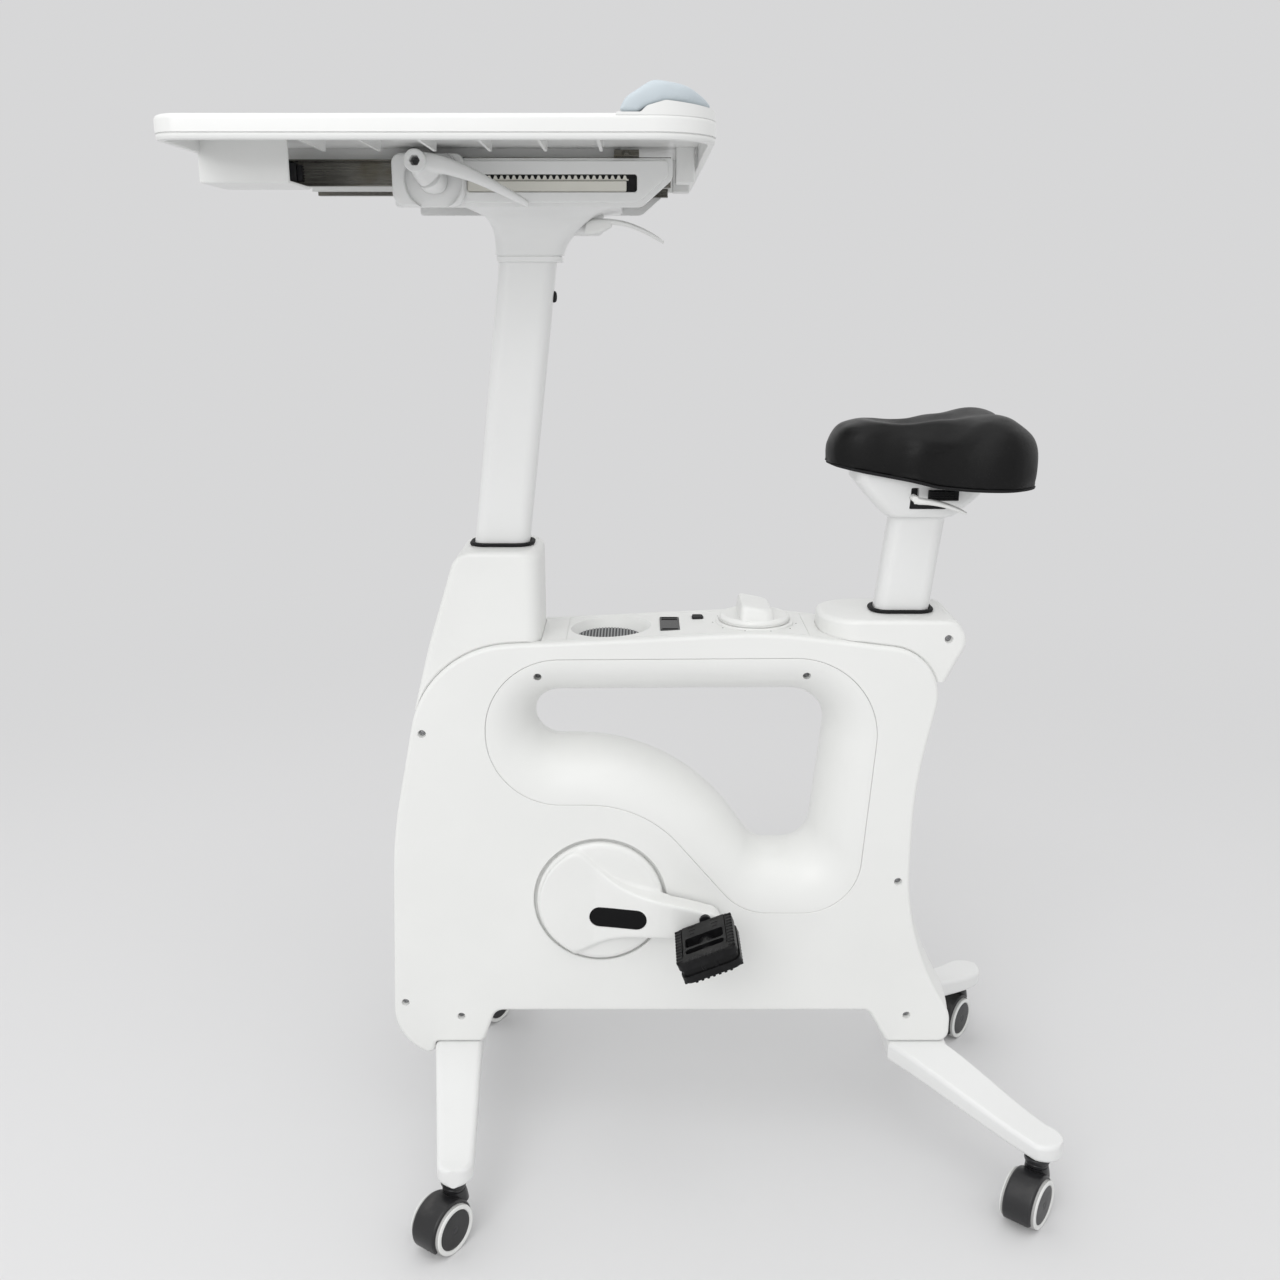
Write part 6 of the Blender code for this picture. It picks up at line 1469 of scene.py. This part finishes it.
def make_height_paddle():
    """Curved paddle on its two cheeks, which releases the desk column."""
    x, z = HEIGHT_PIVOT
    rows = finer([
        (x + 6.0, 0.0, z + 5.4, 3.4, 14.6), (x + 18.0, 0.0, z + 6.2, 3.0, 15.4),
        (x + 36.0, 0.0, z + 3.6, 2.6, 16.8), (x + 54.0, 0.0, z - 2.6, 2.3, 18.2),
        (x + 69.0, 0.0, z - 10.2, 2.1, 17.6), (x + 78.6, 0.0, z - 16.0, 1.4, 13.0),
    ], 5)
    cheeks = []
    for _, side in SIDES:
        y = side * 12.4
        cheeks.append(swept(finer([(x - 8.0, y, z + 0.5, 5.8, 2.9), (x - 2.0, y, z, 8.0, 3.0),
                                   (x + 8.0, y, z + 1.5, 7.0, 3.0), (x + 20.0, y, z + 4.5, 3.6, 3.0)], 4)))
    body = blended(joined(swept(rows, 24), *cheeks), 0.7, 4)
    body = joined(body, placed(rod(3.5, -12.4, 12.4, sides=32), x, 0.0, z))
    emit("height_paddle", body, "housing_white", "desk_lever", ["height_lever"], 45.0)


# Saddle

def make_seat_mount():
    """Flared mount on the seat column, cut to the saddle's underside, with the slot of the lever."""
    line = [Vector((x, saddle_underside(x) - GAP)) for x in (200.0, 330.0, 460.0)]
    above = [Vector((460.0, 900.0)), Vector((200.0, 900.0))]
    x, z = SEAT_LEVER_PIVOT
    slot = rounded(SEAT_SLOT)
    body = cut(tower(MOUNT_SECTIONS, 0.0, 10), prism(line + above, -60.0, 60.0),
               loft([leaning_ring(SEAT_AXIS, height, GAP) for height in (796.0, 831.0)]),
               placed(rod(4.3, -33.7, -50.0, sides=32), x, 0.0, z), prism(slot, -44.0, -30.0))
    # Black sheet at the bottom of the lever's slot: painted shade in its depth.
    back = prism(offset(slot, -GAP), -30.8, -30.3)
    emit("seat_slot_painted_shade", back, "trim_black", "seat_post")
    emit("seat_mount", body, "paint_white", "seat_post", ["seat_bracket"])


def make_seat_handle():
    """Curved release handle, and the studded grip pad above it on the mount."""
    x, z = SEAT_LEVER_PIVOT
    rows = finer([
        (x - 1.0, -47.0, z - 2.0, 4.0, 4.0), (x + 8.0, -48.5, z - 2.6, 3.6, 5.0),
        (x + 22.0, -50.0, z - 4.2, 3.2, 6.2), (x + 36.0, -51.5, z - 7.4, 2.8, 7.2),
        (x + 48.0, -52.5, z - 11.6, 2.4, 7.0), (x + 57.0, -52.8, z - 15.8, 1.7, 5.0),
    ], 5)
    root = placed(turned([(4.0, 34.5), (4.0, 49.0), (3.2, 51.4)], sides=40, side=-1.0), x, 0.0, z)
    body = blended(joined(swept(rows, 24), root), 0.7, 4)
    emit("seat_handle", body, "housing_white", "seat_release", ["seat_lever"], 45.0)
    studs = []
    for row in range(6):
        for column in range(4):
            px = x + 19.0 + row * 5.6
            pz = z - 1.0 + column * 2.7
            studs.append(soft_block(px - 2.3, px + 2.3, -47.0, -43.4, pz - 1.0, pz + 1.0, 0.5))
    studs.append(soft_block(x + 16.0, x + 50.0, -45.4, -38.0, z - 2.8, z + 8.8, 1.0))
    emit("seat_grip_pad", gathered(studs), "rubber_black", "seat_post")


def saddle_plan():
    """The saddle's smooth plan, once round."""
    half = finer(SADDLE_PLAN, 6)
    return [Vector((x, -y)) for x, y in half[1:-1]] + [Vector((x, y)) for x, y in half[::-1]]


def saddle_underside(x):
    """Height of the saddle's underside."""
    return SADDLE_BASE + max(0.0, 330.0 - x) * 0.17


def saddle_top(x, y):
    """Height of the saddle's crown, with its middle groove and the hollows for the thighs."""
    height = SADDLE_TOPS[0][1] if x < SADDLE_TOPS[0][0] else SADDLE_TOPS[-1][1]
    for (x0, z0), (x1, z1) in zip(SADDLE_TOPS, SADDLE_TOPS[1:]):
        if x0 <= x <= x1:
            height = z0 + (z1 - z0) * (0.5 - 0.5 * math.cos(math.pi * (x - x0) / (x1 - x0)))
    groove = 6.0 * math.exp(-(y / 24.0) ** 2) * min(1.0, max(0.0, (x - 240.0) / 60.0))
    droop = 9.0 * (abs(y) / 113.0) ** 4
    side = min(1.0, max(0.0, (abs(y) - 36.0) / 42.0))
    hollow = 17.0 * math.exp(-((x - 312.0) / 44.0) ** 2) * side * side * (3.0 - 2.0 * side)
    return height - groove - droop - hollow


def saddle_form(shrink):
    """Closed saddle form, drawn in by a margin."""
    middle = Vector((SADDLE_MIDDLE, 0.0))
    loops = []
    for share, rise in finer(SADDLE_RINGS, 2):
        ring = []
        for point in saddle_plan():
            reach = (point - middle).length
            spot = middle.lerp(point, share * (reach - shrink) / reach)
            low = saddle_underside(spot.x) + 0.6
            ring.append(Vector((spot.x, spot.y, low + (saddle_top(spot.x, spot.y) - shrink - low) * rise)))
        loops.append(ring)
    return loft(loops)


def swell(obj, voxel, pressure, cap):
    """Swell a closed mesh by a short cloth run, with each point's move held to a cap."""
    scene = bpy.context.scene
    even = obj.modifiers.new("even", "REMESH")
    even.mode = "VOXEL"
    even.voxel_size = voxel
    apply_all(obj)
    before = [vertex.co.copy() for vertex in obj.data.vertices]
    normals = [vertex.normal.copy() for vertex in obj.data.vertices]
    cloth = obj.modifiers.new("swell", "CLOTH")
    cloth.settings.use_pressure = True
    cloth.settings.uniform_pressure_force = pressure
    cloth.settings.effector_weights.gravity = 0.0
    cloth.settings.quality = 4
    cloth.collision_settings.use_collision = False
    for step in range(1, 21):
        scene.frame_set(step)
    graph = bpy.context.evaluated_depsgraph_get()
    after = [vertex.co.copy() for vertex in obj.evaluated_get(graph).data.vertices]
    obj.modifiers.remove(cloth)
    for vertex, old, new, normal in zip(obj.data.vertices, before, after, normals):
        move = new - old
        limit = cap * (0.1 if normal.z < -0.6 else 1.0)
        if move.length > limit:
            move *= limit / move.length
        vertex.co = old + move
    scene.frame_set(1)
    relax = obj.modifiers.new("relax", "SMOOTH")
    relax.factor = 0.5
    relax.iterations = 3
    finest = obj.modifiers.new("fine", "SUBSURF")
    finest.levels = 1
    finest.render_levels = 1
    apply_all(obj)


def apply_all(obj):
    """Put the result of an object's modifiers into its mesh."""
    graph = bpy.context.evaluated_depsgraph_get()
    fresh = bpy.data.meshes.new_from_object(obj.evaluated_get(graph))
    old = obj.data
    look = old.materials[0]
    name = old.name
    obj.modifiers.clear()
    obj.data = fresh
    bpy.data.meshes.remove(old)
    fresh.name = name
    fresh.materials.clear()
    fresh.materials.append(look)
    fresh.shade_smooth()


def make_saddle():
    """Padded saddle cover, swelled by cloth, with its waist creases, and the lip below it."""
    padding = bpy.context.scene.bike_padding
    obj = emit("saddle_cover", saddle_form(padding.saddle_swell / MM * 0.8), "saddle_black",
               "seat_post", ["saddle"], 80.0, False)
    swell(obj, padding.saddle_voxel, padding.saddle_pressure, padding.saddle_swell)
    for vertex in obj.data.vertices:
        x = vertex.co.x / MM + MIDDLE_X
        y = abs(vertex.co.y / MM)
        z = vertex.co.z / MM
        along = math.exp(-((x - CREASE_X) / 26.0) ** 2)
        line = 884.0 + (x - CREASE_X) * 0.12
        crease = along * math.exp(-((z - line) / 2.6) ** 2) * min(1.0, max(0.0, (y - 40.0) / 20.0))
        vertex.co -= vertex.normal * crease * 1.1 * MM
    middle = Vector((SADDLE_MIDDLE, 0.0))
    loops = []
    for share, rise in ((0.80, 1.0), (0.80, 0.15), (0.905, 0.15), (0.925, 0.8), (0.93, 2.2), (0.92, 3.4),
                        (0.88, 3.6)):
        spots = [middle.lerp(point, share) for point in saddle_plan()]
        loops.append([Vector((spot.x, spot.y, saddle_underside(spot.x) + rise)) for spot in spots])
    emit("saddle_edge", loft(loops, closed=True), "rubber_black", "seat_post")


# Legs and casters

def leg_stations(rails):
    """Left point, right point and height share of a leg's sections, from its root to its round tip."""
    (left_root, right_root), (left_tip, right_tip) = rails
    stations = []
    for y in (GAP / 2.0, 30.0, 58.0, 66.0):
        stations.append((Vector((left_root, y)), Vector((right_root, y)), 0.0))
    left_start = stations[-1][0]
    right_start = stations[-1][1]
    for step in range(1, 12):
        share = step / 12.0
        stations.append((left_start.lerp(left_tip, share), right_start.lerp(right_tip, share), share))
    across = (right_tip - left_tip) / 2.0
    centre = left_tip + across
    forward = Vector((-across.y, across.x))
    for degrees in (0.0, 12.0, 24.0, 36.0, 47.0, 57.0, 66.0, 74.0, 80.0):
        angle = math.radians(degrees)
        middle = centre + forward * math.sin(angle)
        reach = across * math.cos(angle)
        stations.append((middle - reach, middle + reach, 1.0))
    return stations


def make_leg(name, side, rails, boss, stem, node):
    """Painted leg with rounded edges, its boss and the socket of its caster."""
    loops = []
    for left, right, share in leg_stations(rails):
        ease = share if share in (0.0, 1.0) else share * share * (3.0 - 2.0 * share) * 0.35 + share * 0.65
        bottom, top = [root - drop * ease for root, drop in zip(LEG_ROOT, LEG_DROP)]
        width = (right - left).length
        run = (right - left) / width
        ring = rect_ring(0.0, width, bottom, top, min(6.0, width * 0.4), None, 6)
        loops.append([Vector((left.x + run.x * p.x, side * (left.y + run.y * p.x), p.y)) for p in ring])
    body = joined(loft(loops), block(boss[0], boss[1], side * GAP / 2.0, side * BOSS_HALF, 121.0, 186.0))
    body = cut(body, placed(rod(5.8, 65.5, 91.8, "Z", 40), stem[0], side * stem[1], 0.0))
    emit(name, body, "paint_white", "root", [node])


def make_caster(place, stem, yaw):
    """Twin-wheel caster: hood, collar rings, treads, white rims and flat hub discs."""
    x, y = stem
    arc = [math.radians(-30.0 + 226.0 * step / 40.0) for step in range(41)]
    outer = [Vector((CASTER_TRAIL + HOOD_R * math.cos(a), WHEEL_R + HOOD_R * math.sin(a))) for a in arc]
    post = [(8.6, 44.0), (8.6, 62.6), (11.6, 63.0), (13.2, 64.2), (13.4, 67.2), (12.6, 68.2), (12.6, 68.9),
            (14.6, 69.4), (15.0, 70.4), (15.0, 74.4), (14.4, CASTER_TOP), (5.5, CASTER_TOP), (5.5, 91.4)]
    neck = [(48.0, -16.0, 20.0, 15.0, 13.0), (56.0, -14.6, 12.0, 14.0, 12.0), (63.0, -13.2, 13.2, 13.2, 12.9)]
    hood = joined(loft(pillow_loops(outer, CASTER_HALF, 4.0, 4)), tower(neck), turned(post, "Z", 56))
    rooms = [rod(29.7, 1.8, 27.0, side=side) for _, side in SIDES] + [rod(4.3, -4.0, 4.0, sides=24)]
    hood = cut(hood, *[placed(room, CASTER_TRAIL, 0.0, WHEEL_R) for room in rooms])
    body = "caster_" + place
    emit("caster_hood_" + place, placed(hood, x, y, 0.0, yaw), "caster_black", body,
         [body + "_fork"])
    tread = [(4.0, 2.1), (27.4, 2.1), (28.6, 2.8), (WHEEL_R, 4.4), (WHEEL_R, 18.6), (28.7, 19.6),
             (25.0, 19.6), (25.0, 12.0), (4.0, 12.0)]
    rim = [(28.2, 19.7), (28.6, 20.2), (28.4, 21.2), (27.6, 21.8), (26.0, 22.0), (24.0, 21.6), (23.2, 20.6),
           (23.2, 13.0), (25.0, 13.0), (25.0, 19.7)]
    hub = [(22.9, 12.2), (22.9, 20.2), (22.4, 20.9), (18.0, 21.3), (6.0, 21.4), (5.0, 21.0), (3.0, 21.0),
           (3.0, 12.2)]
    treads, rims, hubs = [[turned(profile, sides=72, bored=True, side=side) for _, side in SIDES]
                          for profile in (tread, rim, hub)]
    for index, (_, side) in enumerate(SIDES):
        hubs.insert(2 * index + 1, rod(2.9, 12.3, 21.2, sides=32, side=side))
    treads.append(rod(4.0, -12.0, 12.0, sides=32))
    for name, parts, look, slot, stands in (
            ("caster_tread_", treads, "wheel_grey", "wheel_tread", [body + "_wheels"]),
            ("caster_rim_", rims, "wheel_white", "wheel_tread", []),
            ("caster_hub_", hubs, "caster_black", "black_plastic", [])):
        whole = placed(gathered(parts), x + CASTER_TRAIL * math.cos(yaw), y + CASTER_TRAIL * math.sin(yaw),
                       WHEEL_R, yaw)
        emit(name + place, whole, look, "wheels_" + place, stands)


# Settings

def colour_setting(name, description, default):
    """A colour that a user may change."""
    return bpy.props.FloatVectorProperty(name=name, description=description, default=default, subtype="COLOR",
                                         size=3, min=0.0, max=1.0)


def length_setting(name, description, default):
    """A length in metres that a user may change."""
    return bpy.props.FloatProperty(name=name, description=description, default=default, min=0.0,
                                   subtype="DISTANCE", unit="LENGTH", precision=4)


class BikeTints(bpy.types.PropertyGroup):
    """Colours of the bike's finishes."""
    housing: colour_setting("Housing", "White plastic of the housing", (0.82, 0.825, 0.81))
    desktop: colour_setting("Desktop", "White plastic of the desktop", (0.78, 0.785, 0.775))
    paint: colour_setting("Paint", "White paint of columns, brackets and legs", (0.8, 0.805, 0.8))
    black: colour_setting("Black", "Black plastic of pedals and casters", (0.009, 0.009, 0.0098))
    saddle: colour_setting("Saddle", "Black artificial leather", (0.0032, 0.0032, 0.0034))
    pad: colour_setting("Wrist pad", "Light blue-grey foam", (0.52, 0.58, 0.62))
    tread: colour_setting("Treads", "Grey rubber of the wheels", (0.5, 0.5, 0.49))


class BikeHousing(bpy.types.PropertyGroup):
    """Edges and seams of the housing."""
    edge_round: length_setting("Edge rounding", "Radius of the side shells' rim", 0.005)
    seam_ease: length_setting("Seam edge", "Width of the eased edge at a seam", 0.0008)


class BikePadding(bpy.types.PropertyGroup):
    """Foam and cover of the saddle and the wrist pad."""
    saddle_voxel: length_setting("Saddle mesh", "Face size before the saddle swells", 0.005)
    saddle_swell: length_setting("Saddle swell", "Most that a point of the saddle may move", 0.005)
    saddle_pressure: bpy.props.FloatProperty(name="Saddle pressure", description="Air pressure in the saddle",
                                             default=4.0, min=0.0)
    wrist_swell: length_setting("Wrist pad swell", "Most that a point of the wrist pad may move", 0.0006)


class BikeStudio(bpy.types.PropertyGroup):
    """Floor, backdrop and light."""
    floor: colour_setting("Floor", "Plain pale floor", (0.72, 0.72, 0.725))
    background: colour_setting("Background", "Plain pale background", (0.68, 0.68, 0.685))
    overhead: bpy.props.FloatProperty(name="Overhead", description="Power of the light above",
                                      default=23.0, min=0.0, unit="POWER")
    front: bpy.props.FloatProperty(name="Front", description="Power of the light beside the camera",
                                   default=29.0, min=0.0, unit="POWER")
    ambient: bpy.props.FloatProperty(name="Ambient", description="Strength of the light all round",
                                     default=0.83, min=0.0)


# Operators

class PieceOperator:
    """What the operators share."""
    bl_options = {"REGISTER", "UNDO"}

    def execute(self, context):
        self.build()
        return {"FINISHED"}


class BIKE_OT_frame(PieceOperator, bpy.types.Operator):
    """Give the carried-over pieces their finishes"""
    bl_idname = "bike.frame"
    bl_label = "Inner pieces"

    def build(self):
        dress_frame()


class BIKE_OT_housing(PieceOperator, bpy.types.Operator):
    """Build the side shells, grip surrounds, screws and crank recesses"""
    bl_idname = "bike.housing"
    bl_label = "Housing sides"

    def build(self):
        for side_name, side in SIDES:
            make_shell(side_name, side)
            make_grip_ring(side_name, side)
            make_screws(side_name, side)
            make_crank_well(side_name, side)


class BIKE_OT_hoods(PieceOperator, bpy.types.Operator):
    """Build the front and rear hoods"""
    bl_idname = "bike.hoods"
    bl_label = "Hoods"

    def build(self):
        make_hoods()


class BIKE_OT_controls(PieceOperator, bpy.types.Operator):
    """Build the control panel with its cup bowl, display, button and knob"""
    bl_idname = "bike.controls"
    bl_label = "Control panel"

    def build(self):
        make_panel()
        make_display()
        make_button()
        make_dial()


class BIKE_OT_cranks(PieceOperator, bpy.types.Operator):
    """Build the cranks and pedals"""
    bl_idname = "bike.cranks"
    bl_label = "Cranks and pedals"

    def build(self):
        for side_name, side in SIDES:
            make_crank(side_name, side)
            make_pedal(side_name, side)


class BIKE_OT_columns(PieceOperator, bpy.types.Operator):
    """Build the columns and their gaskets"""
    bl_idname = "bike.columns"
    bl_label = "Columns"

    def build(self):
        make_columns()


class BIKE_OT_desk_mount(PieceOperator, bpy.types.Operator):
    """Build the yoke, side brackets and slide details"""
    bl_idname = "bike.desk_mount"
    bl_label = "Desk mount"

    def build(self):
        make_yoke()
        for side_name, side in SIDES:
            make_bracket(side_name, side)
            make_slide_details(side_name, side)


class BIKE_OT_desktop(PieceOperator, bpy.types.Operator):
    """Build the desktop"""
    bl_idname = "bike.desktop"
    bl_label = "Desktop"

    def build(self):
        make_desktop()


class BIKE_OT_wrist_pad(PieceOperator, bpy.types.Operator):
    """Build the padded wrist rest"""
    bl_idname = "bike.wrist_pad"
    bl_label = "Wrist pad"

    def build(self):
        make_wrist_pad()


class BIKE_OT_levers(PieceOperator, bpy.types.Operator):
    """Build the clamp handle, the height paddle and the seat handle"""
    bl_idname = "bike.levers"
    bl_label = "Levers"

    def build(self):
        make_clamp_handle()
        make_height_paddle()
        make_seat_handle()


class BIKE_OT_saddle(PieceOperator, bpy.types.Operator):
    """Build the saddle and its mount"""
    bl_idname = "bike.saddle"
    bl_label = "Saddle"

    def build(self):
        make_seat_mount()
        make_saddle()


class BIKE_OT_legs(PieceOperator, bpy.types.Operator):
    """Build the four legs"""
    bl_idname = "bike.legs"
    bl_label = "Legs"

    def build(self):
        front = ((-257.7, -199.0), (Vector((-232.0, 237.0)), Vector((-190.0, 237.0))))
        rear = ((313.0, 387.0), (Vector((458.6, 213.0)), Vector((485.0, 172.0))))
        for side_name, side in SIDES:
            make_leg("front_foot_" + side_name, side, front, FRONT_BOSS, FRONT_STEM, "leg_front_" + side_name)
            make_leg("rear_foot_" + side_name, side, rear, REAR_BOSS, REAR_STEM, "leg_rear_" + side_name)


class BIKE_OT_casters(PieceOperator, bpy.types.Operator):
    """Build the four twin-wheel casters"""
    bl_idname = "bike.casters"
    bl_label = "Casters"

    def build(self):
        for side_name, side in SIDES:
            make_caster("front_" + side_name, (FRONT_STEM[0], side * FRONT_STEM[1]), FRONT_YAW)
            make_caster("rear_" + side_name, (REAR_STEM[0], side * REAR_STEM[1]), REAR_YAW)


class BIKE_OT_studio(PieceOperator, bpy.types.Operator):
    """Build the pale floor, the studio light and the camera"""
    bl_idname = "bike.studio"
    bl_label = "Studio"

    def build(self):
        make_stage()
        make_lights()
        make_camera()


def make_stage():
    """Wide pale floor that fades into the background far out."""
    studio = bpy.context.scene.bike_studio
    bm = bmesh.new()
    bm.faces.new([bm.verts.new((30.0 * x, 30.0 * y, 0.0)) for x, y in ((-1, -1), (1, -1), (1, 1), (-1, 1))])
    mesh = bpy.data.meshes.new("studio_floor")
    bm.to_mesh(mesh)
    bm.free()
    material, tree, shader = begin("studio_floor")
    place = object_place(tree)
    patch = noise(tree, place, 1.2, 3.0)
    base = tuple(studio.floor)
    tree.links.new(mixed(tree, patch, shade(base, 1.01), shade(base, 0.99)), shader["Base Color"])
    shader["Roughness"].default_value = 0.8
    shader["Specular IOR Level"].default_value = 0.1
    away = put(tree, "ShaderNodeVectorMath", {0: place}, operation="LENGTH").outputs["Value"]
    seen = tree.nodes.new("ShaderNodeLightPath").outputs["Is Camera Ray"]
    share = reckoned(tree, "MULTIPLY", ranged(tree, away, 0.7, 3.2), seen)
    glow = put(tree, "ShaderNodeEmission", {"Color": shade(tuple(studio.background)), "Strength": 1.0})
    blend = put(tree, "ShaderNodeMixShader", {0: share, 1: tree.nodes["Principled BSDF"].outputs[0],
                                              2: glow.outputs[0]})
    tree.links.new(blend.outputs[0], tree.nodes["Material Output"].inputs[0])
    mesh.materials.append(material)
    floor = bpy.data.objects.new("studio_floor", mesh)
    bpy.context.scene.collection.objects.link(floor)


def area_light(name, place, target, size, power):
    """Soft rectangular lamp that looks at a point."""
    lamp = bpy.data.lights.new(name, "AREA")
    lamp.shape = "RECTANGLE"
    lamp.size, lamp.size_y = size
    lamp.energy = power
    obj = bpy.data.objects.new(name, lamp)
    obj.location = place
    obj.rotation_euler = (Vector(target) - Vector(place)).to_track_quat("-Z", "Y").to_euler()
    bpy.context.scene.collection.objects.link(obj)


def make_lights():
    """Even studio light from above and from beside the camera, with a soft sky."""
    studio = bpy.context.scene.bike_studio
    area_light("overhead", (-0.3, -0.9, 3.2), (0.0, 0.0, 0.5), (3.0, 2.4), studio.overhead)
    area_light("front", (-1.3, -3.0, 2.2), (0.0, 0.0, 0.6), (1.8, 1.8), studio.front)
    world = bpy.data.worlds.new("studio")
    world.use_nodes = True
    tree = world.node_tree
    back = tree.nodes["Background"]
    back.inputs["Color"].default_value = (1.0, 1.0, 1.0, 1.0)
    back.inputs["Strength"].default_value = studio.ambient
    seen = tree.nodes.new("ShaderNodeLightPath").outputs["Is Camera Ray"]
    plain = put(tree, "ShaderNodeBackground", {"Color": shade(tuple(studio.background)), "Strength": 1.0})
    blend = put(tree, "ShaderNodeMixShader", {0: seen, 1: back.outputs[0], 2: plain.outputs[0]})
    tree.links.new(blend.outputs[0], tree.nodes["World Output"].inputs[0])
    bpy.context.scene.world = world


def make_camera():
    """Camera at the viewing angle, level and pitched down."""
    lens = bpy.data.cameras.new("camera")
    lens.lens = 36.0
    lens.sensor_width = 36.0
    camera = bpy.data.objects.new("camera", lens)
    camera.location = CAMERA_PLACE
    camera.rotation_euler = (CAMERA_PITCH, 0.0, 0.0)
    bpy.context.scene.collection.objects.link(camera)
    bpy.context.scene.camera = camera
    bpy.context.scene.view_settings.view_transform = "Standard"


OPERATORS = (
    BIKE_OT_studio, BIKE_OT_frame, BIKE_OT_housing, BIKE_OT_hoods, BIKE_OT_controls, BIKE_OT_cranks,
    BIKE_OT_columns, BIKE_OT_desk_mount, BIKE_OT_desktop, BIKE_OT_wrist_pad, BIKE_OT_levers, BIKE_OT_saddle,
    BIKE_OT_legs, BIKE_OT_casters,
)
SETTINGS = (("bike_tints", BikeTints), ("bike_housing", BikeHousing), ("bike_padding", BikePadding),
            ("bike_studio", BikeStudio))


class BIKE_PT_pieces(bpy.types.Panel):
    """Lists the pieces and their settings"""
    bl_label = "Desk bike"
    bl_idname = "BIKE_PT_pieces"
    bl_space_type = "VIEW_3D"
    bl_region_type = "UI"
    bl_category = "Desk bike"

    def draw(self, context):
        for operator in OPERATORS:
            self.layout.operator(operator.bl_idname)
        for name, group in SETTINGS:
            box = self.layout.box()
            for label in group.__annotations__:
                box.prop(getattr(context.scene, name), label)


def register():
    """Register the settings, the operators and the panel."""
    for name, group in SETTINGS:
        bpy.utils.register_class(group)
        setattr(bpy.types.Scene, name, bpy.props.PointerProperty(type=group))
    for operator in OPERATORS:
        bpy.utils.register_class(operator)
    bpy.utils.register_class(BIKE_PT_pieces)


def unregister():
    """Take everything out again."""
    bpy.utils.unregister_class(BIKE_PT_pieces)
    for operator in reversed(OPERATORS):
        bpy.utils.unregister_class(operator)
    for name, group in reversed(SETTINGS):
        delattr(bpy.types.Scene, name)
        bpy.utils.unregister_class(group)


def corners(box):
    """A box's two corners as plain lists."""
    return [[float(value) for value in corner] for corner in box]


def main():
    """Build everything."""
    register()
    for operator in OPERATORS:
        getattr(bpy.ops.bike, operator.bl_idname.split(".")[1])()


if __name__ == "__main__":
    main()
